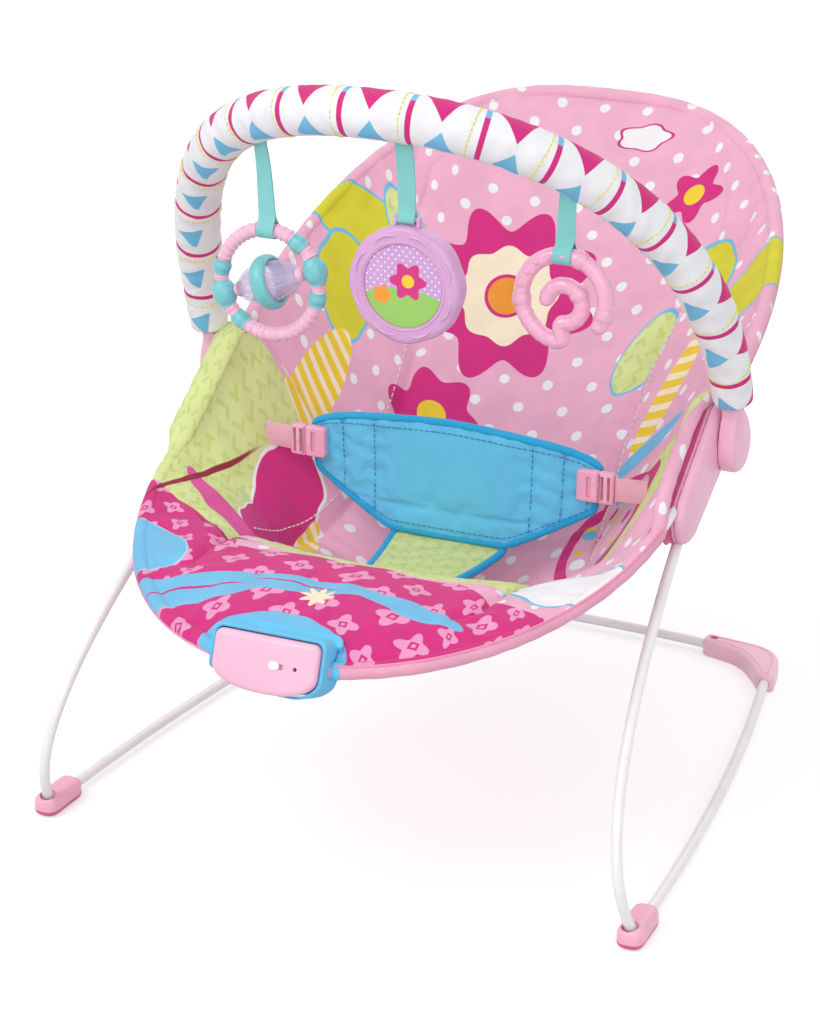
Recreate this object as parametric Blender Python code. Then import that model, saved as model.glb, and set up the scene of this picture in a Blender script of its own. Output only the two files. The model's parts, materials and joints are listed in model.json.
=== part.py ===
"""Baby bouncer: a bent-wire rocker frame with a padded seat, a toy bar and a vibration unit.

Model frame: +Z up, floor at Z = 0, -Y towards the child's feet, +Y towards the head.
All sizes are in metres and all angles in degrees.
"""
import math

import bmesh
import bpy
from mathutils import Matrix, Vector

for old in list(bpy.data.objects):
    bpy.data.objects.remove(old, do_unlink=True)

# Directions that sections are kept level with
LEVEL = Vector((0.0, 0.0, 1.0))
ACROSS = Vector((1.0, 0.0, 0.0))
LENGTHWISE = Vector((0.0, 1.0, 0.0))

# General clearances
GAP = 0.0003
TUBE_SIDES = 8

# Floor frame
TUBE_R = 0.00425
FOOT_HALF_WIDTH = 0.25
REAR_HALF_WIDTH = 0.19
RAIL_LENGTH = 0.5165
RAIL_BULGE = 0.0132
REAR_BOW = 0.016
SOLE = 0.0035
RAIL_Z = TUBE_R + SOLE
REAR_CORNER_R = 0.030

# Front feet
FOOT_WIDTH = 0.021
FOOT_FRONT = 0.011
FOOT_BACK = 0.043
FOOT_HEIGHT = 0.021
FOOT_CORNER_R = 0.008
BOUNCE_Z = 0.0125
BOUNCE_SWING = 5.0

# Rear corner brackets
BRACKET_SIDE = 0.052
BRACKET_INWARD = 0.066
BRACKET_HEIGHT = 0.0175
BRACKET_ARM = 0.017
BRACKET_WEB = 0.020
SCREW_INSET = 0.010

# Screws
SCREW_HEAD_R = 0.0032
SCREW_HEAD_H = 0.0018
SCREW_SHANK_R = 0.0013
SCREW_SHANK = 0.0045
SCREW_SIDES = 10

# Hubs at the sides of the seat
HUB_X = 0.209
HUB_Y = 0.215
HUB_Z = 0.2844
HUB_ANGLE = 32.0
HUB_INNER = 0.007
HUB_OUTER = 0.0125
HUB_WALL = 0.0020
HUB_EDGE_R = 0.003
HUB_CORNERS = ((-0.0344, 0.0194), (-0.0490, 0.0090), (-0.0520, -0.0060), (-0.0480, -0.0240),
               (-0.0390, -0.0330), (0.0600, -0.0300), (0.0720, -0.0180), (0.0745, 0.0040),
               (0.0680, 0.0185), (0.0560, 0.0266))
HUB_RADII = (0.004, 0.006, 0.008, 0.008, 0.010, 0.012, 0.012, 0.008, 0.006, 0.006)
TUBE_SOCKET = 0.025

# Legs from the front feet to the hubs
LEG_BOW_X = 0.2346
LEG_BOW_Y = -0.0655
LEG_BOW_Z = 0.1112
LEG_EXIT_Y = 0.1915
LEG_EXIT_Z = 0.2465

# Seat ring: back half and front half
BACK_BASE_Y = 0.2440
BACK_BASE_Z = 0.3200
BACK_LENGTH = 0.3697
BACK_ANGLE = 28.0
BACK_POWER = 2.8
BACK_BULGE = 0.041
BACK_SAG = 0.006
FRONT_BASE_Y = 0.1786
FRONT_BASE_Z = 0.2760
FRONT_REACH = 0.2676
FRONT_DROP = 0.0605
FRONT_POWER = 2.0
FRONT_SAG = 0.006

# Cloth
CLOTH = 0.0016
SLEEVE_LIFT = 0.0003
SLEEVE_HUB_MARGIN = 0.034
SLEEVE_R = TUBE_R + SLEEVE_LIFT + CLOTH
PAD_THICK = 0.012
PAD_EDGE_THICK = 0.006
PAD_BOTTOM_Y = 0.222
PAD_BOTTOM_Z = 0.150
PAD_CREST_Y = 0.080
PAD_CREST_Z = 0.2262
PAD_BROW_Y = -0.035
PAD_BROW_Z = 0.2435
PAD_BACK_BOW = 0.012
PAD_SEAM_U = 0.60
PAD_SEAM_DEPTH = 0.005
PAD_WING_POWER = 2.6
PAD_COLUMNS = (0.0, 0.20, 0.40, 0.55, 0.60, 0.65, 0.82, 1.0)
PAD_ROWS = 26

# Toy bar
PIVOT_Y = 0.2595
PIVOT_Z = 0.3040
PIVOT_R = 0.0215
PIVOT_THICK = 0.014
PIVOT_PIN_R = 0.0045
PIVOT_SOCKET = 0.0390
BAR_LEAN = 32.5
BAR_HEIGHT = 0.3284
BAR_POWER = 2.24
BAR_BULGE = 0.013
BAR_BOW = 0.0285
BAR_TUBE_R = 0.0045
BAR_SLEEVE_R = 0.0185
BAR_SLEEVE_END_R = 0.0155
BAR_SLEEVE_TAPER = 0.090
BAR_SLEEVE_WALL = 0.0135

# Toys
RIBBON_WIDTH = 0.014
RIBBON_THICK = 0.0008
RIBBON_TOP = 0.0003
RATTLE_X = -0.0950
RATTLE_DROP = 0.1290
RATTLE_RING_R = 0.0412
RATTLE_TUBE_R = 0.0055
RATTLE_TILT = 19.0
RATTLE_BEAD_R = 0.0072
RATTLE_KNOB_R = 0.0105
BARREL_R = 0.0165
BARREL_LENGTH = 0.066
BARREL_WALL = 0.0014
BARREL_STEM_R = 0.0026
BAND_R = 0.0215
BAND_WIDTH = 0.013
BALL_R = 0.0036
DISC_X = 0.0275
DISC_DROP = 0.1235
DISC_R = 0.0450
DISC_THICK = 0.018
DISC_SCALLOPS = 8
DISC_SCALLOP = 0.0011
LUG_R = 0.0024
LUG_LIFT = 0.0040
DISC_WINDOW_R = 0.0315
DISC_WINDOW_DEPTH = 0.0022
TEETHER_X = 0.1360
TEETHER_DROP = 0.0985
TEETHER_R = 0.0335
TEETHER_TUBE_R = 0.0062
TEETHER_CURL_R = 0.0155
TEETHER_CURL_DX = 0.0005
TEETHER_CURL_DZ = -0.0035

# Harness
HARNESS_Y = 0.2370
HARNESS_HALF_TOP = 0.128
HARNESS_TOP_Z = 0.3000
HARNESS_CORNER_DROP = 0.008
HARNESS_TIP_TOP_Z = 0.2850
HARNESS_TIP_Z = 0.2400
HARNESS_WAIST_Z = 0.1990
HARNESS_WAIST_HALF = 0.052
HARNESS_SWEEP = 0.004
HARNESS_THICK = 0.009
HARNESS_EDGE_THICK = 0.0045
HARNESS_ARC = 0.020
FLAP_HALF = 0.051
FLAP_FRONT_HALF = 0.035
FLAP_FRONT_Y = 0.132
FLAP_THICK = 0.006
WEB_WIDTH = 0.020
WEB_THICK = 0.0014
WEB_INSET = 0.0408
WEB_ANCHOR_X = HUB_X - WEB_INSET
WEB_ANCHOR_Y = 0.2300
BUCKLE_Z = 0.2640
BUCKLE_HEIGHT = 0.026
BUCKLE_THICK = 0.0075
SOCKET_LENGTH = 0.018
PLUG_LENGTH = 0.013
PLUG_TONGUE = 0.011
PLUG_TRAVEL = 0.013
BUCKLE_WALL = 0.0015

# Vibration unit on the front tube
UNIT_WIDTH = 0.084
UNIT_HEIGHT = 0.042
UNIT_TILT = 20.0
UNIT_FRONT = 0.013
UNIT_REAR = 0.0215
UNIT_WALL = 0.0020
UNIT_CORNER_R = 0.006
UNIT_ROUND_POWER = 2.3
UNIT_CHEEK = 0.003
UNIT_EDGE_R = 0.0025
UNIT_WIRE_RUN = 0.012
UNIT_SPLIT_LAND = 0.0003217
KNOB_X = 0.009
KNOB_Y = 0.001
KNOB_LENGTH = 0.0075
KNOB_HEIGHT = 0.0055
KNOB_RISE = 0.0022
KNOB_TRAVEL = 0.005
LAMP_X = 0.0255
LAMP_R = 0.0016
CELL_R = 0.0071
CELL_LENGTH = 0.0495
CELL_Y = -0.0070
CELL_Z = -0.0118
CELL_X = -0.004
DOOR_LENGTH = 0.056
DOOR_HEIGHT = 0.018
MOTOR_R = 0.0055
MOTOR_LENGTH = 0.019
MOTOR_X = -0.012
MOTOR_Y = 0.0115
MOTOR_Z = -0.0136
SHAFT_R = 0.0010
WEIGHT_R = 0.0052
WEIGHT_WIDTH = 0.006

# Colours as red, green, blue, with roughness and metallic
FINISHES = {
    "white_paint": ((0.90, 0.88, 0.90), 0.35, 0.0),
    "pink_moulding": ((0.86, 0.45, 0.60), 0.38, 0.0),
    "pale_moulding": ((0.90, 0.62, 0.76), 0.36, 0.0),
    "deep_moulding": ((0.76, 0.20, 0.38), 0.40, 0.0),
    "pink_cloth": ((0.83, 0.46, 0.60), 0.90, 0.0),
    "seat_print": ((0.84, 0.48, 0.66), 0.90, 0.0),
    "bar_cloth": ((0.88, 0.88, 0.92), 0.90, 0.0),
    "blue_cloth": ((0.15, 0.52, 0.80), 0.90, 0.0),
    "green_cloth": ((0.70, 0.78, 0.35), 0.90, 0.0),
    "teal_ribbon": ((0.26, 0.62, 0.63), 0.75, 0.0),
    "teal_plastic": ((0.24, 0.64, 0.66), 0.30, 0.0),
    "lilac_plastic": ((0.66, 0.40, 0.64), 0.35, 0.0),
    "clear_violet": ((0.55, 0.50, 0.75), 0.10, 0.0),
    "clear_pink": ((0.85, 0.40, 0.58), 0.15, 0.0),
    "orange_bead": ((0.95, 0.45, 0.12), 0.30, 0.0),
    "picture_card": ((0.80, 0.60, 0.80), 0.60, 0.0),
    "white_plastic": ((0.88, 0.86, 0.87), 0.35, 0.0),
    "steel": ((0.55, 0.55, 0.57), 0.30, 1.0),
    "cell_jacket": ((0.10, 0.10, 0.12), 0.40, 0.0),
    "board_green": ((0.05, 0.28, 0.12), 0.50, 0.0),
    "brass": ((0.70, 0.52, 0.22), 0.35, 1.0),
}


def make_finish(name):
    """Return the Principled material of that name, made on first use."""
    material = bpy.data.materials.get(name)
    if material:
        return material
    colour, roughness, metallic = FINISHES[name]
    material = bpy.data.materials.new(name)
    material.use_nodes = True
    shader = material.node_tree.nodes["Principled BSDF"]
    shader.inputs["Base Color"].default_value = (*colour, 1.0)
    shader.inputs["Roughness"].default_value = roughness
    shader.inputs["Metallic"].default_value = metallic
    material.diffuse_color = (*colour, 1.0)
    return material


def make_node(name, verts, faces, finish, smooth=40.0):
    """Make one named solid from its corners and faces, with faces pointing out."""
    mesh = bpy.data.meshes.new(name)
    mesh.from_pydata([tuple(v) for v in verts], [], faces)
    shape = bmesh.new()
    shape.from_mesh(mesh)
    bmesh.ops.recalc_face_normals(shape, faces=shape.faces)
    shape.to_mesh(mesh)
    shape.free()
    mesh.shade_smooth()
    mesh.set_sharp_from_angle(angle=math.radians(smooth))
    node = bpy.data.objects.new(name, mesh)
    bpy.context.collection.objects.link(node)
    if finish:
        mesh.materials.append(make_finish(finish))
    return node


def make_guide(node):
    """Mark a solid as a cutter, which is not a part of the object."""
    node.hide_render = True
    node.display_type = "WIRE"
    return node


def boolean(node, tool, operation="DIFFERENCE"):
    """Cut a tool from a node, or join it to the node."""
    step = node.modifiers.new(tool.name, "BOOLEAN")
    step.operation = operation
    step.solver = "EXACT"
    step.object = make_guide(tool)
    return node


def make_pivot(name, place, turn=(0.0, 0.0, 0.0), parent=None):
    """Make an empty on a joint's axis or at a sub-assembly's centre."""
    pivot = bpy.data.objects.new(name, None)
    pivot.location = place
    pivot.rotation_euler = [math.radians(a) for a in turn]
    bpy.context.collection.objects.link(pivot)
    if parent:
        pivot.parent = parent
    return pivot


def place(node, parent, where=(0.0, 0.0, 0.0), turn=(0.0, 0.0, 0.0)):
    """Parent a node, and give its place and turn in the parent's frame."""
    node.parent = parent
    node.location = where
    node.rotation_euler = [math.radians(a) for a in turn]
    return node


def keep_place(node, parent):
    """Parent a node that was modelled in the model frame, with its place kept."""
    bpy.context.view_layer.update()
    node.parent = parent
    node.matrix_parent_inverse = parent.matrix_world.inverted()
    return node


def ring_points(radius, sides, flat=1.0, start=0.0):
    """Return a circle or ellipse of section points."""
    angles = [start + 2 * math.pi * k / sides for k in range(sides)]
    return [(radius * math.cos(a), radius * flat * math.sin(a)) for a in angles]


def path_frames(points, up):
    """Return the side and rise of a section at each point of a path, level with one direction."""
    frames = []
    for k, point in enumerate(points):
        ahead = points[min(k + 1, len(points) - 1)] - points[max(k - 1, 0)]
        side = ahead.cross(up).normalized()
        frames.append((point, side, side.cross(ahead.normalized())))
    return frames


def sweep(name, points, section, finish, bore=None, up=LEVEL, scales=None):
    """Sweep a section along a path, with flat ends and, where bore is given, a hollow."""
    points = [Vector(p) for p in points]
    frames = path_frames(points, up)
    scales = scales or [1.0] * len(points)
    verts, faces = [], []
    for (centre, side, rise), scale in zip(frames, scales):
        verts += [centre + side * (a * scale) + rise * (b * scale) for a, b in section]
    for centre, side, rise in frames if bore else ():
        verts += [centre + side * a + rise * b for a, b in bore]
    count, steps = len(section), len(points)
    for k in range(steps - 1):
        for j in range(count):
            a, b = k * count + j, k * count + (j + 1) % count
            faces.append((a, b, b + count, a + count))
    if not bore:
        faces += [tuple(range(count)), tuple((steps - 1) * count + j for j in range(count))]
        return make_node(name, verts, faces, finish)
    inner = steps * count
    for k in range(steps - 1):
        for j in range(count):
            a, b = inner + k * count + j, inner + k * count + (j + 1) % count
            faces.append((b, a, a + count, b + count))
    for base in (0, (steps - 1) * count):
        for j in range(count):
            a, b = base + j, base + (j + 1) % count
            faces.append((a, b, b + inner, a + inner))
    return make_node(name, verts, faces, finish)


def closed_sweep(name, points, section, finish, plane_normal):
    """Sweep a section round a closed flat loop."""
    points = [Vector(p) for p in points]
    normal = Vector(plane_normal)
    count, steps = len(section), len(points)
    verts, faces = [], []
    for k, point in enumerate(points):
        ahead = (points[(k + 1) % steps] - points[k - 1]).normalized()
        side = ahead.cross(normal)
        verts += [point + side * a + normal * b for a, b in section]
    for k in range(steps):
        for j in range(count):
            a, b = k * count + j, k * count + (j + 1) % count
            c, d = ((k + 1) % steps) * count + (j + 1) % count, ((k + 1) % steps) * count + j
            faces.append((a, b, c, d))
    return make_node(name, verts, faces, finish)


def slab(name, outline, low, high, finish, edge=0.0, edge_low=0.0):
    """Extrude an outline in X and Y between two heights, with a rounded upper edge."""
    levels = []
    if edge_low:
        levels += [(low, edge_low), (low + edge_low * 0.3, edge_low * 0.3), (low + edge_low, 0.0)]
    else:
        levels += [(low, 0.0)]
    if edge:
        levels += [(high - edge, 0.0), (high - edge * 0.3, edge * 0.3), (high, edge)]
    else:
        levels += [(high, 0.0)]
    count = len(outline)
    verts, faces = [], []
    for height, inset in levels:
        verts += [(x, y, height) for x, y in inset_outline(outline, inset)]
    for k in range(len(levels) - 1):
        for j in range(count):
            a, b = k * count + j, k * count + (j + 1) % count
            faces.append((a, b, b + count, a + count))
    faces += [tuple(range(count)), tuple((len(levels) - 1) * count + j for j in range(count))]
    return make_node(name, verts, faces, finish)


def inset_outline(outline, inset):
    """Return a closed outline, drawn anticlockwise, moved inwards by one distance."""
    if not inset:
        return list(outline)
    count = len(outline)
    moved = []
    for k in range(count):
        here = Vector(outline[k])
        before = (here - Vector(outline[k - 1])).normalized()
        after = (Vector(outline[(k + 1) % count]) - here).normalized()
        left = Vector((-before.y - after.y, before.x + after.x))
        left.normalize()
        stretch = max(0.5, left.dot(Vector((-before.y, before.x))))
        moved.append(tuple(here + left * (inset / stretch)))
    return moved


def box_outline(width, height, corner=0.0, steps=3):
    """Return a rectangle's outline with round corners."""
    if not corner:
        w, h = width / 2, height / 2
        return [(-w, -h), (w, -h), (w, h), (-w, h)]
    points = []
    for quarter, (sx, sy) in enumerate(((1, -1), (1, 1), (-1, 1), (-1, -1))):
        centre = (sx * (width / 2 - corner), sy * (height / 2 - corner))
        for k in range(steps + 1):
            angle = math.radians(-90 + 90 * quarter + 90 * k / steps)
            points.append((centre[0] + corner * math.cos(angle), centre[1] + corner * math.sin(angle)))
    return points


def round_corners(points, radii, steps=3):
    """Return a polygon, drawn anticlockwise, with each corner rounded by a curve."""
    rounded = []
    count = len(points)
    for k, radius in enumerate(radii):
        here = Vector(points[k])
        before = Vector(points[k - 1]) - here
        after = Vector(points[(k + 1) % count]) - here
        reach = min(radius, before.length * 0.48, after.length * 0.48)
        start, end = here + before.normalized() * reach, here + after.normalized() * reach
        for j in range(steps + 1):
            t = j / steps
            rounded.append(tuple(start * (1 - t) ** 2 + here * (2 * t * (1 - t)) + end * t * t))
    return rounded


def turned(name, profile, sides, finish):
    """Turn a profile of radius and height round Z; a radius of zero closes an end."""
    verts, faces, rows = [], [], []
    for radius, height in profile:
        if radius <= 1e-9:
            rows.append([len(verts)])
            verts.append((0.0, 0.0, height))
            continue
        rows.append(list(range(len(verts), len(verts) + sides)))
        verts += [(x, y, height) for x, y in ring_points(radius, sides)]
    for lower, upper in zip(rows, rows[1:]):
        for j in range(sides):
            a, b = lower[j % len(lower)], lower[(j + 1) % len(lower)]
            c, d = upper[(j + 1) % len(upper)], upper[j % len(upper)]
            faces.append(tuple(dict.fromkeys((a, b, c, d))))
    for row in (rows[0], rows[-1]):
        if len(row) > 1:
            faces.append(tuple(row))
    return make_node(name, verts, faces, finish)


def rod(name, radius, length, sides, finish):
    """Make a plain cylinder along Z, centred on its origin."""
    return turned(name, [(radius, -length / 2), (radius, length / 2)], sides, finish)


def bezier(a, b, c, steps):
    """Return points on a curve from a to c that bends towards b."""
    a, b, c = Vector(a), Vector(b), Vector(c)
    return [a * (1 - t) ** 2 + b * (2 * t * (1 - t)) + c * t * t
            for t in (k / steps for k in range(steps + 1))]


def arch_pair(angle, power):
    """Return the width share and the length share of a rounded arch at one angle."""
    across, along = math.cos(angle), math.sin(angle)
    width = math.copysign(abs(across) ** (2 / power), across)
    return width, abs(along) ** (2 / power)


def back_point(angle):
    """Return a point on the back tube: 0 at the +X hub, 180 at the -X hub."""
    width, s = arch_pair(math.radians(angle), BACK_POWER)
    hump = 4 * s * (1 - s)
    tilt = math.radians(BACK_ANGLE)
    return Vector((HUB_X * width * (1 + BACK_BULGE * hump),
                   BACK_BASE_Y + BACK_LENGTH * s * math.cos(tilt) + BACK_SAG * hump * math.sin(tilt),
                   BACK_BASE_Z + BACK_LENGTH * s * math.sin(tilt) - BACK_SAG * hump * math.cos(tilt)))


def front_point(angle):
    """Return a point on the front tube: 0 at the +X hub, 180 at the -X hub."""
    width, s = arch_pair(math.radians(angle), FRONT_POWER)
    return Vector((HUB_X * width, FRONT_BASE_Y - FRONT_REACH * s,
                   FRONT_BASE_Z - FRONT_DROP * s - FRONT_SAG * 4 * s * (1 - s)))


def bar_point(angle):
    """Return a point on the toy bar: 0 at the +X pivot, 180 at the -X pivot."""
    width, s = arch_pair(math.radians(angle), BAR_POWER)
    hump = 4 * s * (1 - s)
    lean = math.radians(BAR_LEAN)
    return Vector((BAR_X * width * (1 + BAR_BULGE * hump),
                   PIVOT_Y - BAR_HEIGHT * s * math.sin(lean) + BAR_BOW * hump * math.cos(lean),
                   PIVOT_Z + BAR_HEIGHT * s * math.cos(lean) + BAR_BOW * hump * math.sin(lean)))


def even_path(function, start, end, steps, samples=240):
    """Return evenly spaced points of a curve between two of its angles."""
    dense = [function(start + (end - start) * k / samples) for k in range(samples + 1)]
    lengths = [0.0]
    for a, b in zip(dense, dense[1:]):
        lengths.append(lengths[-1] + (b - a).length)
    points, k = [], 0
    for j in range(steps + 1):
        target = lengths[-1] * j / steps
        while k < samples - 1 and lengths[k + 1] < target:
            k += 1
        share = (target - lengths[k]) / max(lengths[k + 1] - lengths[k], 1e-9)
        points.append(dense[k].lerp(dense[k + 1], min(max(share, 0.0), 1.0)))
    return points


def along_path(points, start, end):
    """Cut a path to the stretch between two distances along it."""
    kept, walked = [], 0.0
    for a, b in zip(points, points[1:]):
        step = (b - a).length
        for mark in (start, end):
            if walked < mark < walked + step:
                kept.append((mark, a.lerp(b, (mark - walked) / step)))
        walked += step
        if start < walked < end:
            kept.append((walked, b))
    return [p for _, p in sorted(kept, key=lambda item: item[0])]


def path_length(points):
    """Return the length of a path."""
    return sum((b - a).length for a, b in zip(points, points[1:]))


def hub_to_model(u, n):
    """Return the Y and Z of a point on a hub, u along it upwards and n towards the seat's top."""
    tilt = math.radians(HUB_ANGLE)
    return (HUB_Y + u * math.cos(tilt) - n * math.sin(tilt), HUB_Z + u * math.sin(tilt) + n * math.cos(tilt))


BAR_X = HUB_X + HUB_OUTER + GAP + PIVOT_THICK / 2
BOUNCE_PLACE = Vector((0.0, 0.0, BOUNCE_Z))
PIVOT_PLACE = Vector((0.0, PIVOT_Y, PIVOT_Z))
SIDES = (("left", -1), ("right", 1))

root = make_pivot("bouncer_origin", (0.0, 0.0, 0.0))
bounce_pivot = make_pivot("bounce_pivot", BOUNCE_PLACE, parent=root)
bar_pivot = make_pivot("toy_bar_pivot", PIVOT_PLACE - BOUNCE_PLACE, parent=bounce_pivot)


# Floor frame
def rail_x(y):
    """Return a rail's distance from the middle at one place along it."""
    t = y / RAIL_LENGTH
    return FOOT_HALF_WIDTH - (FOOT_HALF_WIDTH - REAR_HALF_WIDTH) * t + RAIL_BULGE * 4 * t * (1 - t)


def rear_y(x):
    """Return the rear cross tube's place at one distance from the middle."""
    return RAIL_LENGTH + REAR_BOW * (1 - (x / REAR_HALF_WIDTH) ** 2)


RAIL_START_Y = TUBE_R + 0.0012
REAR_JOINT_X = REAR_HALF_WIDTH - BRACKET_INWARD * 0.55


def rail_path(side):
    """Return the wire's route from a front foot, round the rear corner, to its joint."""
    points = []
    corner_y = RAIL_LENGTH - REAR_CORNER_R
    for k in range(11):
        y = RAIL_START_Y + (corner_y - RAIL_START_Y) * k / 10
        points.append(Vector((rail_x(y), y, RAIL_Z)))
    corner = Vector((rail_x(RAIL_LENGTH), RAIL_LENGTH, RAIL_Z))
    turn_x = REAR_HALF_WIDTH - REAR_CORNER_R
    points += bezier(points[-1], corner, (turn_x, rear_y(turn_x), RAIL_Z), 6)[1:]
    points.append(Vector((REAR_JOINT_X, rear_y(REAR_JOINT_X), RAIL_Z)))
    return [Vector((side * p.x, p.y, p.z)) for p in points]


def build_floor_frame():
    """Make the two rails and the cross tube that joins them at the rear."""
    section = ring_points(TUBE_R, TUBE_SIDES, start=math.pi / TUBE_SIDES)
    for label, side in SIDES:
        place(sweep(label + "_rail_tube", rail_path(side), section, "white_paint"), root)
    cross = []
    reach = REAR_JOINT_X - GAP
    for k in range(9):
        x = -reach + 2 * reach * k / 8
        cross.append(Vector((x, rear_y(x), RAIL_Z)))
    place(sweep("rear_cross_tube", cross, section, "white_paint"), root)


def build_front_feet():
    """Make the shoes that wrap the wire's bends and hold the part on the floor."""
    length = FOOT_FRONT + FOOT_BACK
    middle = (FOOT_BACK - FOOT_FRONT) / 2
    corners = [(-FOOT_WIDTH / 2, -length / 2), (FOOT_WIDTH / 2, -length / 2),
               (FOOT_WIDTH / 2, length / 2), (-FOOT_WIDTH / 2, length / 2)]
    outline = round_corners(corners, (FOOT_FRONT, FOOT_FRONT, FOOT_CORNER_R * 0.6, FOOT_CORNER_R * 0.6), 4)
    slope = math.degrees(math.atan2(rail_x(0.0) - rail_x(FOOT_BACK), FOOT_BACK))
    for label, side in SIDES:
        foot = slab(label + "_front_foot", outline, 0.0, FOOT_HEIGHT, "pink_moulding", 0.0045, 0.0012)
        place(foot, root, (side * (rail_x(middle)), middle, 0.0), (0.0, 0.0, side * slope))
        bore_path = [p for p in rail_path(side) if p.y < FOOT_BACK * 2.5]
        bore_path[0] = Vector((side * rail_x(0.0), -TUBE_R - 0.001, RAIL_Z))
        bore = ring_points(TUBE_R + GAP, TUBE_SIDES, start=math.pi / TUBE_SIDES)
        boolean(foot, place(sweep("cut_rail_" + label, bore_path, bore, None), root))
        swing = math.radians(BOUNCE_SWING) * FOOT_HEIGHT + 0.0008
        leg = leg_path(side)[0:3]
        ahead = (leg[1] - leg[0]).normalized()
        leg = [leg[0] - ahead * 0.0005, leg[0] + ahead * FOOT_HEIGHT * 1.6]
        slot = ring_points(TUBE_R + swing, TUBE_SIDES, start=math.pi / TUBE_SIDES)
        boolean(foot, place(sweep("cut_leg_" + label, leg, slot, None, up=ACROSS), root))


def build_rear_corners():
    """Make the webbed brackets that hold the rails to the cross tube."""
    arm = BRACKET_ARM / 2
    tail = REAR_HALF_WIDTH - BRACKET_INWARD
    back = RAIL_LENGTH + arm
    front = RAIL_LENGTH - BRACKET_SIDE
    lean = rail_x(front) - rail_x(RAIL_LENGTH)
    outer = REAR_HALF_WIDTH + arm
    for label, side in SIDES:
        corners = [(tail, rear_y(tail) - arm), (outer - BRACKET_ARM - BRACKET_WEB, RAIL_LENGTH - arm - 0.001),
                   (outer - BRACKET_ARM - 0.002, RAIL_LENGTH - arm - BRACKET_WEB),
                   (outer - BRACKET_ARM + lean + 0.002, front), (outer + lean, front),
                   (outer, back), (tail, rear_y(tail) + arm)]
        radii = (0.007, 0.014, 0.014, 0.005, 0.007, REAR_CORNER_R * 1.1, 0.007)
        outline = round_corners(corners, radii, 3)
        if side < 0:
            outline = [(-x, y) for x, y in reversed(outline)]
        bracket = slab(label + "_rear_corner", outline, 0.0, BRACKET_HEIGHT, "pink_moulding", 0.003)
        place(bracket, root)
        channel = ring_points(TUBE_R + GAP, TUBE_SIDES, start=math.pi / TUBE_SIDES)
        path = rail_path(side)
        path[-1] = Vector((side * (tail - 0.01), rear_y(tail - 0.01), RAIL_Z))
        boolean(bracket, place(sweep("cut_wire_" + label, path[8:], channel, None), root))
        seat_x = tail + SCREW_INSET
        seat = rod("cut_screw_" + label, SCREW_HEAD_R + GAP, 0.004, SCREW_SIDES, None)
        boolean(bracket, place(seat, root, (side * seat_x, rear_y(seat_x), BRACKET_HEIGHT)))
        head = turned(label + "_corner_screw", [
            (SCREW_HEAD_R, 0.0), (SCREW_HEAD_R, SCREW_HEAD_H * 0.6), (SCREW_HEAD_R * 0.7, SCREW_HEAD_H),
            (SCREW_HEAD_R * 0.35, SCREW_HEAD_H), (0.0, SCREW_HEAD_H * 0.4)], SCREW_SIDES, "steel")
        place(head, root, (side * seat_x, rear_y(seat_x), BRACKET_HEIGHT - 0.002 + GAP))


# Legs and seat frame
def leg_path(side):
    """Return a leg's route from its foot up into its hub."""
    start = (FOOT_HALF_WIDTH, 0.0, BOUNCE_Z)
    exit_point = Vector((HUB_X, LEG_EXIT_Y, LEG_EXIT_Z))
    points = bezier(start, (LEG_BOW_X, LEG_BOW_Y, LEG_BOW_Z), exit_point, 15)
    ahead = points[-1] - points[-2]
    ahead.x = 0.0
    points.append(exit_point + ahead.normalized() * TUBE_SOCKET)
    return [Vector((side * p.x, p.y, p.z)) for p in points]


def back_path():
    """Return the back tube's route, hub to hub."""
    return even_path(back_point, 0.0, 180.0, 30)


def front_path():
    """Return the front tube's route, hub to hub, with its ends inside the hubs."""
    points = even_path(front_point, 0.0, 180.0, 26)
    rise = Vector((0.0, FRONT_REACH, FRONT_DROP + 4 * FRONT_SAG)).normalized()
    first = points[0] + rise * TUBE_SOCKET
    last = points[-1] + rise * TUBE_SOCKET
    return [first] + points + [last]


def build_seat_frame():
    """Make the legs and the two bent tubes that carry the cloth."""
    section = ring_points(TUBE_R, TUBE_SIDES, start=math.pi / TUBE_SIDES)
    for label, side in SIDES:
        leg = sweep(label + "_leg_tube", leg_path(side), section, "white_paint", up=ACROSS)
        keep_place(leg, bounce_pivot)
    keep_place(sweep("back_tube", back_path(), section, "white_paint"), bounce_pivot)
    keep_place(sweep("front_tube", front_path(), section, "white_paint"), bounce_pivot)


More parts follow.
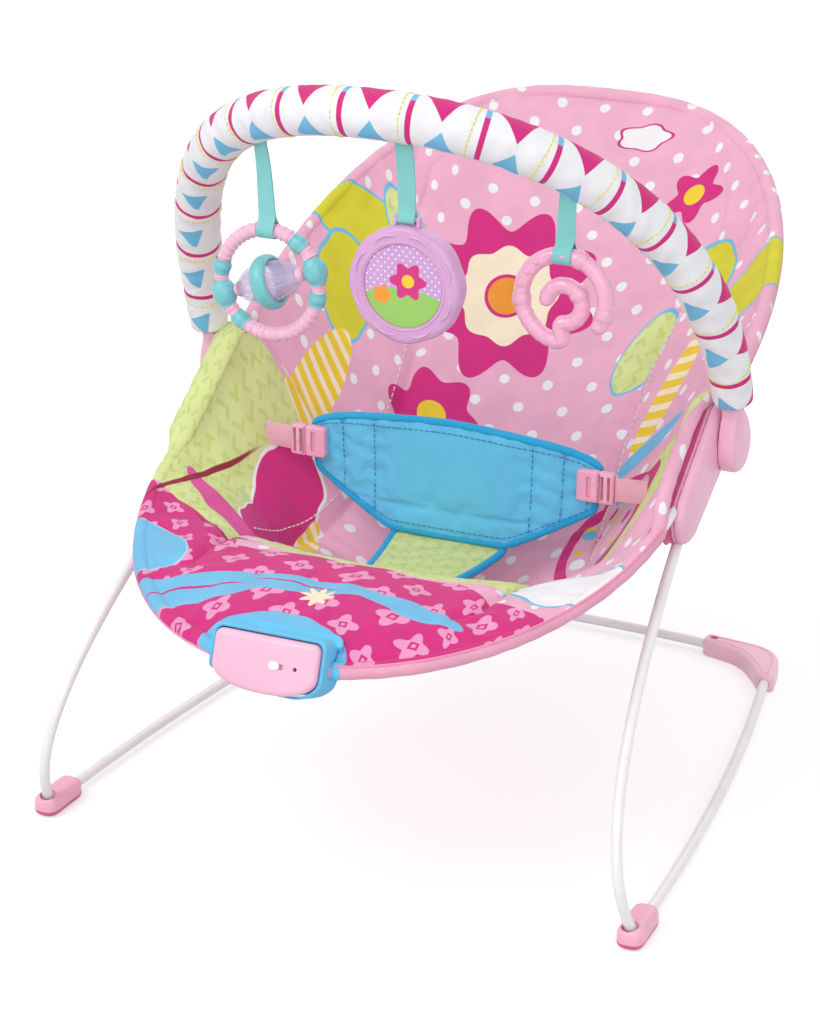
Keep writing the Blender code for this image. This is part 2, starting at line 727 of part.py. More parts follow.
def build_hubs():
    """Make each hub's inner and outer shells, with the channels that clamp the tubes."""
    outline = round_corners(HUB_CORNERS, HUB_RADII, 2)
    for label, side in SIDES:
        frame = make_pivot(label + "_hub_frame", Vector((side * HUB_X, HUB_Y, HUB_Z)) - BOUNCE_PLACE,
                           parent=bounce_pivot)
        frame.rotation_euler = Matrix(((0, 0, side), (math.cos(math.radians(HUB_ANGLE)),
                                       -math.sin(math.radians(HUB_ANGLE)), 0),
                                       (math.sin(math.radians(HUB_ANGLE)),
                                        math.cos(math.radians(HUB_ANGLE)), 0))).to_euler()
        local = [(u, n) for u, n in outline]
        if side < 0:
            frame.rotation_euler = Matrix(((0, 0, -1), (-math.cos(math.radians(HUB_ANGLE)),
                                           -math.sin(math.radians(HUB_ANGLE)), 0),
                                           (-math.sin(math.radians(HUB_ANGLE)),
                                            math.cos(math.radians(HUB_ANGLE)), 0))).to_euler()
            local = [(-u, n) for u, n in reversed(outline)]
        local = list(reversed(local))
        outer = slab(label + "_hub_outer", local, GAP / 2, HUB_OUTER, "pink_moulding", HUB_EDGE_R)
        place(outer, frame)
        flipped = [(x, y) for x, y in local]
        inner = slab(label + "_hub_inner", inset_outline(flipped, 0.0008), -HUB_INNER, -GAP / 2,
                     "deep_moulding", 0.0, 0.0015)
        place(inner, frame)
        channel = ring_points(TUBE_R + GAP, TUBE_SIDES, start=math.pi / TUBE_SIDES)
        routes = (("leg", leg_path(side)[12:]), ("back", back_path()[:7] if side > 0 else back_path()[-7:]),
                  ("front", front_path()[:4] if side > 0 else front_path()[-4:]))
        for what, route in routes:
            tip = route[-1] if what == "leg" else (route[0] if side > 0 else route[-1])
            near = route[-2] if what == "leg" else (route[1] if side > 0 else route[-2])
            extra = tip + (tip - near).normalized() * GAP * 1.5
            route = route + [extra] if what == "leg" or side < 0 else [extra] + route
            level = ACROSS if what == "leg" else LEVEL
            tool = sweep("cut_" + what + "_tube_" + label, route, channel, None, up=level)
            keep_place(tool, bounce_pivot)
            boolean(outer, tool)
            boolean(inner, tool)
        reach = HUB_OUTER * 0.5 + PIVOT_THICK * 0.75
        pin_x = HUB_X + HUB_OUTER + GAP + PIVOT_THICK * 0.75 - reach / 2
        pin = rod("join_pin_" + label, PIVOT_PIN_R, reach, 12, None)
        place(pin, bounce_pivot, Vector((side * pin_x, PIVOT_Y, PIVOT_Z)) - BOUNCE_PLACE, (0.0, 90.0, 0.0))
        boolean(outer, pin, "UNION")


# Cloth of the seat
def outline_row(row):
    """Return half width, Y and edge Z of one row of the pad, from the foot end to the head end."""
    inset = SLEEVE_R + GAP + 0.0006
    middle_rows = 4
    front_rows = round(PAD_ROWS * 0.45)
    back_rows = PAD_ROWS - front_rows - middle_rows
    if row <= front_rows:
        angle = 86.0 * (1 - row / front_rows)
        point, low, high = front_point(angle), front_point(angle - 0.5), front_point(angle + 0.5)
    elif row < front_rows + middle_rows:
        share = (row - front_rows) / middle_rows
        a, b = front_point(0.0), back_point(0.0)
        point = a.lerp(b, share)
        low, high = b, a
    else:
        angle = 86.0 * (row - front_rows - middle_rows) / back_rows
        point, low, high = back_point(angle), back_point(angle + 0.5), back_point(angle - 0.5)
    along = Vector((high.x - low.x, high.y - low.y)) * -1
    along.normalize()
    normal = Vector((-along.y, along.x))
    x = point.x + normal.x * inset
    y = point.y + normal.y * inset
    limit = HUB_X - HUB_INNER - GAP - 0.0004
    return min(x, limit), y, point.z


def smooth_curve(knots, y):
    """Return the height at y on a smooth curve through knots of Y and height."""
    for k in range(len(knots) - 1):
        if y <= knots[k + 1][0] or k == len(knots) - 2:
            (x0, z0), (x1, z1) = knots[k], knots[k + 1]
            before = knots[max(k - 1, 0)]
            after = knots[min(k + 2, len(knots) - 1)]
            m0 = (z1 - before[1]) / (x1 - before[0])
            m1 = (after[1] - z0) / (after[0] - x0)
            t = (y - x0) / (x1 - x0)
            h = x1 - x0
            return ((2 * t ** 3 - 3 * t ** 2 + 1) * z0 + (t ** 3 - 2 * t ** 2 + t) * h * m0
                    + (-2 * t ** 3 + 3 * t ** 2) * z1 + (t ** 3 - t ** 2) * h * m1)


def pad_centre(y):
    """Return the height of the pad's face on the middle line."""
    first = front_point(90.0)
    last = back_point(90.0)
    knots = ((first.y, first.z + 0.012), (PAD_BROW_Y, PAD_BROW_Z), (0.030, 0.2425),
             (PAD_CREST_Y, PAD_CREST_Z), (0.130, 0.194), (0.175, 0.163),
             (PAD_BOTTOM_Y, PAD_BOTTOM_Z), (0.268, 0.166), (0.335, 0.226),
             (0.430, 0.328 - PAD_BACK_BOW * 0.3), (0.515, 0.424), (last.y, last.z + 0.004))
    return smooth_curve(knots, y)


def pad_height(u, y, edge_z):
    """Return the height of the pad's face at a share u of its half width."""
    wing = abs(u) ** PAD_WING_POWER
    height = pad_centre(y) * (1 - wing) + (edge_z + 0.004) * wing
    seam = max(0.0, 1 - abs(abs(u) - PAD_SEAM_U) / 0.05)
    return height - PAD_SEAM_DEPTH * seam


def build_pad():
    """Make the quilted pad: a bowed face and a back, closed round the rim."""
    columns = [-u for u in reversed(PAD_COLUMNS[1:])] + list(PAD_COLUMNS)
    wide = len(columns)
    verts, faces = [], []
    for layer in (0, 1):
        for row in range(PAD_ROWS + 1):
            half, y, edge_z = outline_row(row)
            end = min(row, PAD_ROWS - row, 3) / 3
            for u in columns:
                body = (1 - u ** 6) * (0.4 + 0.6 * end)
                thick = PAD_EDGE_THICK + (PAD_THICK - PAD_EDGE_THICK) * body
                top = pad_height(u, y, edge_z)
                crown = 0.5 * (PAD_THICK - PAD_EDGE_THICK) * (1 - body)
                verts.append((half * u, y, top - crown - (thick if layer else 0.0)))
    size = wide * (PAD_ROWS + 1)
    for row in range(PAD_ROWS):
        for col in range(wide - 1):
            a = row * wide + col
            faces.append((a, a + 1, a + 1 + wide, a + wide))
            faces.append((size + a + 1, size + a, size + a + wide, size + a + wide + 1))
        for col in (0, wide - 1):
            a = row * wide + col
            faces.append((a, a + wide, a + wide + size, a + size))
    for row in (0, PAD_ROWS):
        for col in range(wide - 1):
            a = row * wide + col
            faces.append((a, a + 1, a + 1 + size, a + size))
    pad = keep_place(make_node("seat_pad", verts, faces, "seat_print"), bounce_pivot)
    clear = slab("cut_unit_room", unit_outline(0.0012), -UNIT_REAR - 0.0012, UNIT_FRONT * 2.2, None)
    place(clear, unit_frame)
    boolean(pad, clear)


def build_sleeves():
    """Make the hems that the back tube and the front tube run through."""
    section = ring_points(SLEEVE_R, TUBE_SIDES, start=math.pi / TUBE_SIDES)
    bore = ring_points(TUBE_R + SLEEVE_LIFT, TUBE_SIDES, start=math.pi / TUBE_SIDES)
    path = back_path()
    route = along_path(path, SLEEVE_HUB_MARGIN, path_length(path) - SLEEVE_HUB_MARGIN)
    keep_place(sweep("back_cloth_sleeve", route, section, "pink_cloth", bore), bounce_pivot)
    front = front_path()[1:-1]
    half = path_length(front) / 2
    reach = UNIT_WIDTH / 2 + 0.0025
    stretches = {"right": (0.016, half - reach), "left": (half + reach, 2 * half - 0.016)}
    for label, (start, end) in stretches.items():
        piece = along_path(front, start, end)
        keep_place(sweep(label + "_front_sleeve", piece, section, "pink_cloth", bore), bounce_pivot)


# Harness
def harness_y(x, z):
    """Return the harness's place: bowed round the waist and swept forward at its foot."""
    bow = HARNESS_ARC * (1 - (x / HARNESS_HALF_TOP) ** 2)
    low = max(0.0, (HARNESS_TIP_Z - z) / (HARNESS_TIP_Z - HARNESS_WAIST_Z))
    return HARNESS_Y - bow * 0.5 - HARNESS_SWEEP * low


def harness_thickness(u, v):
    """Return the harness's thickness at shares of its half width and of its height."""
    body = (1 - u ** 6) * (1 - (2 * v - 1) ** 4)
    return HARNESS_EDGE_THICK + (HARNESS_THICK - HARNESS_EDGE_THICK) * body


def build_harness():
    """Make the waist pad, with its piped rim thinner than its middle, and the crotch flap."""
    rows, columns = 7, 13
    verts, faces = [], []
    for layer in (0, 1):
        for r in range(rows):
            v = r / (rows - 1)
            for c in range(columns):
                u = -1 + 2 * c / (columns - 1)
                waist = HARNESS_WAIST_HALF / HARNESS_HALF_TOP
                rise = max(0.0, (abs(u) - waist) / (1 - waist))
                low_z = HARNESS_WAIST_Z + (HARNESS_TIP_Z - HARNESS_WAIST_Z) * rise ** 1.1
                fall = (HARNESS_TIP_TOP_Z - HARNESS_TOP_Z) * abs(u) ** 1.6
                top_z = HARNESS_TOP_Z + fall - HARNESS_CORNER_DROP * abs(u) ** 8
                z = low_z + (top_z - low_z) * v
                half = HARNESS_HALF_TOP * (1 - 0.03 * (1 - v))
                x = half * u
                thick = harness_thickness(u, v)
                y = harness_y(x, z) + (thick / 2 if layer else -thick / 2)
                verts.append((x, y, z))
    size = rows * columns
    for r in range(rows - 1):
        for c in range(columns - 1):
            a = r * columns + c
            faces.append((a, a + 1, a + 1 + columns, a + columns))
            faces.append((size + a + 1, size + a, size + a + columns, size + a + columns + 1))
        for c in (0, columns - 1):
            a = r * columns + c
            faces.append((a, a + columns, a + columns + size, a + size))
    for r in (0, rows - 1):
        for c in range(columns - 1):
            a = r * columns + c
            faces.append((a, a + 1, a + 1 + size, a + size))
    keep_place(make_node("harness_pad", verts, faces, "blue_cloth"), bounce_pivot)

    start = Vector((0.0, harness_y(0.0, HARNESS_WAIST_Z) + 0.002, HARNESS_WAIST_Z - FLAP_THICK / 2 - 2 * GAP))
    end_z = pad_centre(FLAP_FRONT_Y) + FLAP_THICK / 2 + 0.0010
    end = Vector((0.0, FLAP_FRONT_Y, end_z))
    points = bezier(start, (0.0, (start.y + end.y) / 2, (start.z + end.z) / 2 - 0.006), end, 6)
    section = [(-FLAP_HALF, -FLAP_THICK * 0.25), (0.0, -FLAP_THICK / 2), (FLAP_HALF, -FLAP_THICK * 0.25),
               (FLAP_HALF, FLAP_THICK * 0.25), (0.0, FLAP_THICK / 2), (-FLAP_HALF, FLAP_THICK * 0.25)]
    narrow = FLAP_FRONT_HALF / FLAP_HALF
    scales = [1 - (1 - narrow) * k / (len(points) - 1) for k in range(len(points))]
    flap = sweep("crotch_flap", points, section, "green_cloth", scales=scales)
    keep_place(flap, bounce_pivot)


def build_buckles():
    """Make each side's release buckle and the webbing that carries it."""
    base_x = HARNESS_HALF_TOP - SOCKET_LENGTH * 0.95
    for label, side in SIDES:
        backing = harness_thickness(base_x / HARNESS_HALF_TOP, 0.5) / 2
        buckle_y = harness_y(base_x, BUCKLE_Z) - backing - BUCKLE_THICK / 2 - 1.5 * GAP
        frame = make_pivot(label + "_buckle_frame",
                           Vector((side * base_x, buckle_y, BUCKLE_Z)) - BOUNCE_PLACE, parent=bounce_pivot)
        plug_frame = make_pivot(label + "_plug_slide", (side * (SOCKET_LENGTH + GAP), 0.0, 0.0), parent=frame)
        outline = round_corners([(side * a, b) for a, b in
                                 ((0.0, -BUCKLE_HEIGHT / 2), (SOCKET_LENGTH, -BUCKLE_HEIGHT / 2),
                                  (SOCKET_LENGTH, BUCKLE_HEIGHT / 2), (0.0, BUCKLE_HEIGHT / 2))][::side],
                                (0.002, 0.002, 0.002, 0.002), 2)
        socket = slab(label + "_buckle_socket", outline, -BUCKLE_THICK / 2, BUCKLE_THICK / 2,
                      "pale_moulding", 0.0012, 0.0008)
        place(socket, frame, turn=(90.0, 0.0, 0.0))
        room_size = box_outline(PLUG_TONGUE * 2 + 2 * GAP, BUCKLE_HEIGHT - 2 * BUCKLE_WALL)
        room = slab("cut_socket_" + label, room_size, -BUCKLE_THICK / 2 + BUCKLE_WALL,
                    BUCKLE_THICK / 2 - BUCKLE_WALL, None)
        place(room, frame, (side * SOCKET_LENGTH, 0.0, 0.0), (90.0, 0.0, 0.0))
        boolean(socket, room)

        plate = round_corners([(side * a, b) for a, b in
                               ((0.0, -BUCKLE_HEIGHT / 2), (PLUG_LENGTH, -BUCKLE_HEIGHT / 2),
                                (PLUG_LENGTH, BUCKLE_HEIGHT / 2), (0.0, BUCKLE_HEIGHT / 2))][::side],
                              (0.001, 0.003, 0.003, 0.001), 2)
        plug = slab(label + "_buckle_plug", plate, -BUCKLE_THICK / 2, BUCKLE_THICK / 2, "pale_moulding",
                    0.0012, 0.0008)
        place(plug, plug_frame, turn=(90.0, 0.0, 0.0))
        tongue_size = box_outline(PLUG_TONGUE + 0.002, BUCKLE_HEIGHT - 2 * BUCKLE_WALL - 4 * GAP)
        tongue = slab("join_tongue_" + label, tongue_size, -BUCKLE_THICK / 2 + BUCKLE_WALL + GAP,
                      BUCKLE_THICK / 2 - BUCKLE_WALL - GAP, None)
        place(tongue, plug_frame, (-side * (PLUG_TONGUE / 2 - 0.001), 0.0, 0.0), (90.0, 0.0, 0.0))
        boolean(plug, tongue, "UNION")
        for slot_at in (0.0035, 0.0090):
            slot = slab("cut_webbing_slot_" + label, box_outline(0.0026, WEB_WIDTH + 2 * GAP), -BUCKLE_THICK,
                        BUCKLE_THICK, None)
            place(slot, plug_frame, (side * slot_at, 0.0, 0.0), (90.0, 0.0, 0.0))
            boolean(plug, slot)

        bar = side * (PLUG_LENGTH + 2 * GAP)
        frame_place = Vector((side * (base_x + SOCKET_LENGTH + GAP), buckle_y, BUCKLE_Z))
        points = [frame_place + Vector((bar, 0.0, 0.0)),
                  frame_place + Vector((bar + side * 0.004, 0.0, 0.0)),
                  Vector((side * WEB_ANCHOR_X, WEB_ANCHOR_Y, BUCKLE_Z))]
        section = [(-WEB_THICK / 2, -WEB_WIDTH / 2), (WEB_THICK / 2, -WEB_WIDTH / 2),
                   (WEB_THICK / 2, WEB_WIDTH / 2), (-WEB_THICK / 2, WEB_WIDTH / 2)]
        keep_place(sweep(label + "_waist_strap", bezier(*points, 4), section, "pink_cloth"), bounce_pivot)


# Vibration unit
def unit_outline(grow=0.0):
    """Return the unit's face: straight along the top and round below."""
    w, h = UNIT_WIDTH / 2 + grow, UNIT_HEIGHT / 2 + grow
    points = []
    steps = 9
    for k in range(steps * 2 + 1):
        angle = math.pi + math.pi * k / (2 * steps)
        width, depth = arch_pair(angle - math.pi, UNIT_ROUND_POWER)
        points.append((-w * width, -UNIT_CHEEK - (h - UNIT_CHEEK) * depth))
    corner = UNIT_CORNER_R
    for quarter, cx in ((0, w - corner), (1, -w + corner)):
        for k in range(4):
            angle = math.radians(90 * quarter + 30 * k)
            points.append((cx + corner * math.cos(angle), h - corner + corner * math.sin(angle)))
    return points


def unit_centre():
    """Return the unit's place: its split plane clears the front tube at both side walls."""
    low, high = 1.0, 90.0
    for _ in range(50):
        middle = (low + high) / 2
        if front_point(middle).x > UNIT_WIDTH / 2:
            low = middle
        else:
            high = middle
    tilt = math.radians(UNIT_TILT)
    outward = Vector((0.0, -math.cos(tilt), math.sin(tilt)))
    nose = front_point(90.0)
    fall = (front_point((low + high) / 2) - nose).dot(outward)
    return nose + outward * (fall + TUBE_R + GAP + UNIT_SPLIT_LAND)


unit_place = unit_centre()
unit_frame = make_pivot("unit_frame", unit_place - BOUNCE_PLACE, (90.0 - UNIT_TILT, 0.0, 0.0), bounce_pivot)
knob_slide = make_pivot("switch_slide", (KNOB_X, KNOB_Y, UNIT_FRONT), parent=unit_frame)
weight_spin = make_pivot("weight_spin", (MOTOR_X + MOTOR_LENGTH / 2 + 0.004, MOTOR_Y, MOTOR_Z),
                         parent=unit_frame)


def build_unit():
    """Make the two shells, the battery door, the switch and the works inside."""
    outline = unit_outline()
    hollow = inset_outline(outline, UNIT_WALL)
    front = slab("unit_front_shell", outline, GAP / 2, UNIT_FRONT, "pale_moulding", UNIT_EDGE_R)
    rear = slab("unit_rear_shell", outline, -UNIT_REAR, -GAP / 2, "pale_moulding", 0.0, UNIT_EDGE_R * 0.8)
    front_room = slab("cut_front_room", hollow, -0.001, UNIT_FRONT - UNIT_WALL, None)
    rear_room = slab("cut_rear_room", hollow, -UNIT_REAR + UNIT_WALL, 0.001, None)
    for node, room in ((front, front_room), (rear, rear_room)):
        place(node, unit_frame)
        boolean(node, place(room, unit_frame))
    bore = ring_points(TUBE_R + GAP, TUBE_SIDES, start=math.pi / TUBE_SIDES)
    middle = path_length(front_path()) / 2
    reach = UNIT_WIDTH / 2 + UNIT_WIRE_RUN
    run = along_path(front_path(), middle - reach, middle + reach)
    wire = keep_place(sweep("cut_unit_wire", run, bore, None), bounce_pivot)
    boolean(front, wire)
    boolean(rear, wire)

    slot_size = box_outline(KNOB_LENGTH * 0.55 + KNOB_TRAVEL + 2 * GAP, KNOB_HEIGHT * 0.6 + 2 * GAP)
    slot = slab("cut_switch_slot", slot_size, UNIT_FRONT - 2 * UNIT_WALL, UNIT_FRONT + 0.002, None)
    boolean(front, place(slot, unit_frame, (KNOB_X + KNOB_TRAVEL / 2, KNOB_Y, 0.0)))
    lamp = rod("cut_lamp_hole", LAMP_R, UNIT_WALL * 4, 10, None)
    boolean(front, place(lamp, unit_frame, (LAMP_X, KNOB_Y, UNIT_FRONT)))

    knob = slab("unit_switch_knob", box_outline(KNOB_LENGTH, KNOB_HEIGHT, 0.002, 2), GAP, KNOB_RISE,
                "white_plastic", 0.0008)
    place(knob, knob_slide)
    stem = slab("join_knob_stem", box_outline(KNOB_LENGTH * 0.5, KNOB_HEIGHT * 0.6 - GAP),
                -UNIT_WALL - 0.0008, GAP * 2, None)
    boolean(knob, place(stem, knob_slide), "UNION")

    door_outline = box_outline(DOOR_LENGTH, DOOR_HEIGHT, 0.002, 2)
    door_y = CELL_Y
    door = slab("unit_battery_door", door_outline, -UNIT_REAR, -UNIT_REAR + UNIT_WALL - GAP, "pale_moulding")
    place(door, unit_frame, (CELL_X, door_y, 0.0))
    door_hole = slab("cut_door_hole", box_outline(DOOR_LENGTH + 2 * GAP, DOOR_HEIGHT + 2 * GAP, 0.002, 2),
                     -UNIT_REAR - 0.002, -UNIT_REAR + UNIT_WALL * 1.5, None)
    boolean(rear, place(door_hole, unit_frame, (CELL_X, door_y, 0.0)))

    cell = turned("unit_battery", [(CELL_R * 0.6, -CELL_LENGTH / 2), (CELL_R, -CELL_LENGTH / 2 + 0.0008),
                                   (CELL_R, CELL_LENGTH / 2 - 0.0015),
                                   (CELL_R * 0.4, CELL_LENGTH / 2 - 0.001),
                                   (CELL_R * 0.36, CELL_LENGTH / 2)], 12, "cell_jacket")
    place(cell, unit_frame, (CELL_X, CELL_Y, CELL_Z), (0.0, 90.0, 0.0))
    motor = turned("unit_motor", [(MOTOR_R * 0.8, -MOTOR_LENGTH / 2), (MOTOR_R, -MOTOR_LENGTH / 2 + 0.001),
                                  (MOTOR_R, MOTOR_LENGTH / 2), (SHAFT_R * 1.6, MOTOR_LENGTH / 2),
                                  (SHAFT_R * 1.6, MOTOR_LENGTH / 2 + 0.0006),
                                  (SHAFT_R, MOTOR_LENGTH / 2 + 0.0006), (SHAFT_R, MOTOR_LENGTH / 2 + 0.0075)],
                   12, "steel")
    place(motor, unit_frame, (MOTOR_X, MOTOR_Y, MOTOR_Z), (0.0, 90.0, 0.0))
    half_turn = [(WEIGHT_R * math.cos(math.radians(a)), WEIGHT_R * math.sin(math.radians(a)))
                 for a in range(180, 361, 20)]
    half_turn += [(WEIGHT_R, 0.0015), (0.0030, 0.0028), (-0.0030, 0.0028), (-WEIGHT_R, 0.0015)]
    weight = slab("unit_eccentric_weight", half_turn, -WEIGHT_WIDTH / 2, WEIGHT_WIDTH / 2, "steel")
    place(weight, weight_spin, turn=(0.0, 90.0, 0.0))
    shaft_hole = rod("cut_shaft_hole", SHAFT_R + 0.0001, WEIGHT_WIDTH * 2, 12, None)
    boolean(weight, place(shaft_hole, weight_spin, turn=(0.0, 90.0, 0.0)))


# Toy bar
def build_bar():
    """Make the bar's tube, its padded sleeve and the knuckles that turn on the hubs."""
    tube = even_path(bar_point, 0.0, 180.0, 32)
    total = path_length(tube)
    core = along_path(tube, PIVOT_R - 0.004, total - PIVOT_R + 0.004)
    level = Vector((0.0, math.cos(math.radians(BAR_LEAN)), math.sin(math.radians(BAR_LEAN))))
    section = ring_points(BAR_TUBE_R, TUBE_SIDES, start=math.pi / TUBE_SIDES)
    keep_place(sweep("toy_bar_tube", core, section, "white_plastic", up=level), bar_pivot)
    cover = along_path(tube, PIVOT_SOCKET, total - PIVOT_SOCKET)
    outer = ring_points(BAR_SLEEVE_R, 12)
    bore = ring_points(BAR_SLEEVE_R - BAR_SLEEVE_WALL, 12)
    length = path_length(cover)
    scales = []
    for k in range(len(cover)):
        walked = path_length(cover[:k + 1])
        share = min(1.0, min(walked, length - walked) / BAR_SLEEVE_TAPER)
        scales.append((BAR_SLEEVE_END_R + (BAR_SLEEVE_R - BAR_SLEEVE_END_R) * share) / BAR_SLEEVE_R)
    sleeve = sweep("toy_bar_sleeve", cover, outer, "bar_cloth", bore, up=level, scales=scales)
    keep_place(sleeve, bar_pivot)
    for label, side in SIDES:
        ends = tube if side > 0 else tube[::-1]
        lean = (ends[1] - ends[0]).normalized()
        angle = math.degrees(math.atan2(-lean.y, lean.z))
        profile = []
        for k in range(13):
            turn = math.radians(180 + 180 * k / 12)
            profile.append((PIVOT_R * math.cos(turn), PIVOT_R * math.sin(turn)))
        neck = BAR_TUBE_R + 0.0045
        profile += [(PIVOT_R * 0.98, 0.007), (neck, PIVOT_R * 0.95), (neck, PIVOT_SOCKET - 0.0015),
                    (-neck, PIVOT_SOCKET - 0.0015), (-neck, PIVOT_R * 0.95), (-PIVOT_R * 0.98, 0.007)]
        knuckle = slab(label + "_bar_knuckle", profile, -PIVOT_THICK / 2, PIVOT_THICK / 2, "pink_moulding",
                       0.0035 if side > 0 else 0.0, 0.0 if side > 0 else 0.0035)
        knuckle.rotation_mode = "QUATERNION"
        place(knuckle, bar_pivot, (side * BAR_X, 0.0, 0.0))
        knuckle.rotation_mode = "QUATERNION"
        tilt = math.radians(angle)
        knuckle.rotation_quaternion = Matrix(((0.0, 0.0, 1.0), (math.cos(tilt), -math.sin(tilt), 0.0),
                                              (math.sin(tilt), math.cos(tilt), 0.0))).to_quaternion()
        route = (core if side > 0 else core[::-1])[:4]
        route[0] = route[0] - lean * GAP
        hollow = ring_points(BAR_TUBE_R + GAP, TUBE_SIDES, start=math.pi / TUBE_SIDES)
        tool = sweep("cut_bar_socket_" + label, route if side > 0 else route[::-1], hollow, None, up=level)
        boolean(knuckle, keep_place(tool, bar_pivot))
        pin_hole = rod("cut_knuckle_pin_" + label, PIVOT_PIN_R + GAP, PIVOT_THICK * 1.5 + 2 * GAP, 12, None)
        place(pin_hole, bar_pivot, (side * BAR_X - side * PIVOT_THICK / 2, 0.0, 0.0), (0.0, 90.0, 0.0))
        boolean(knuckle, pin_hole)


def bar_at(x):
    """Return the toy bar's centre at one distance from the middle."""
    low, high = (1.0, 90.0) if x > 0 else (90.0, 179.0)
    for _ in range(40):
        middle = (low + high) / 2
        if bar_point(middle).x > x:
            low = middle
        else:
            high = middle
    return bar_point((low + high) / 2)


def ribbon(name, length, hoop, bend, tangent, parent):
    """Hang a doubled ribbon: its top follows the bar's slope and its lower loop carries a toy."""
    t = RIBBON_THICK
    outer = hoop + t
    join = outer * 1.15
    profile = [(-t, -RIBBON_TOP), (t, -RIBBON_TOP), (t, -length * 0.35), (t, -length * 0.7)]
    profile.append((t, join - length))
    profile += [(outer * math.sin(a), -length - outer * math.cos(a)) for a in
                [math.radians(130 - 260 * k / 8) for k in range(9)]]
    profile += [(-t, join - length), (-t, -length * 0.7), (-t, -length * 0.35)]
    verts = []
    for end in (-1, 1):
        for a, b in profile:
            share = min(1.0, max(0.0, -b / (length * 0.8)))
            along = tangent.lerp(Vector((1.0, 0.0, 0.0)), share)
            across = Vector((-along.y, along.x, 0.0)).normalized()
            half = RIBBON_WIDTH / 2 / max(along.length, 0.1)
            verts.append(Vector((0.0, 0.0, b)) + across * a + along * (end * half))
    count = len(profile)
    faces = [(j, (j + 1) % count, (j + 1) % count + count, j + count) for j in range(count)]
    faces += [tuple(range(count)), tuple(range(count, 2 * count))]
    strap = place(make_node(name, verts, faces, "teal_ribbon"), parent)
    reach = RIBBON_WIDTH
    path = []
    for k in range(9):
        x = -reach + 2 * reach * k / 8
        path.append((x, 0.0, -length - (bend - math.sqrt(bend ** 2 - x ** 2))))
    boolean(strap, place(sweep("cut_" + name, path, ring_points(hoop, 10), None, up=LENGTHWISE), parent))


def toy_frame(name, x):
    """Return the pivot that a toy swings from, at the bar's lower seam, and its drop."""
    centre = bar_at(x)
    tangent = (bar_at(x + 0.004) - bar_at(x - 0.004)).normalized()
    drop = BAR_SLEEVE_R / math.sqrt(1 - tangent.z ** 2) + GAP
    here = Vector((x, centre.y, centre.z - drop))
    return make_pivot(name, here - PIVOT_PLACE, parent=bar_pivot), drop, tangent


def bead_on_ring(name, frame, turn, radius, sides):
    """Thread one bead on the rattle's ring at one angle round it."""
    bore = RATTLE_TUBE_R + GAP
    profile = [(bore * 1.10, -radius * 0.85), (radius * 0.88, -radius * 0.55), (radius, 0.0),
               (radius * 0.88, radius * 0.55), (bore * 1.10, radius * 0.85)]
    bead = turned(name, profile, sides, "teal_plastic")
    angle = math.radians(turn)
    where = (RATTLE_RING_R * math.cos(angle), 0.0, RATTLE_RING_R * math.sin(angle))
    place(bead, frame, where, (0.0, -turn, 0.0))
    reach = math.degrees(radius * 1.3 / RATTLE_RING_R)
    arc = []
    for k in range(7):
        step = math.radians(turn - reach + 2 * reach * k / 6)
        arc.append(Vector((RATTLE_RING_R * math.cos(step), 0.0, RATTLE_RING_R * math.sin(step))))
    tool = sweep("cut_" + name, arc, ring_points(bore, 8), None, up=LENGTHWISE)
    boolean(bead, place(tool, frame))
    return bead


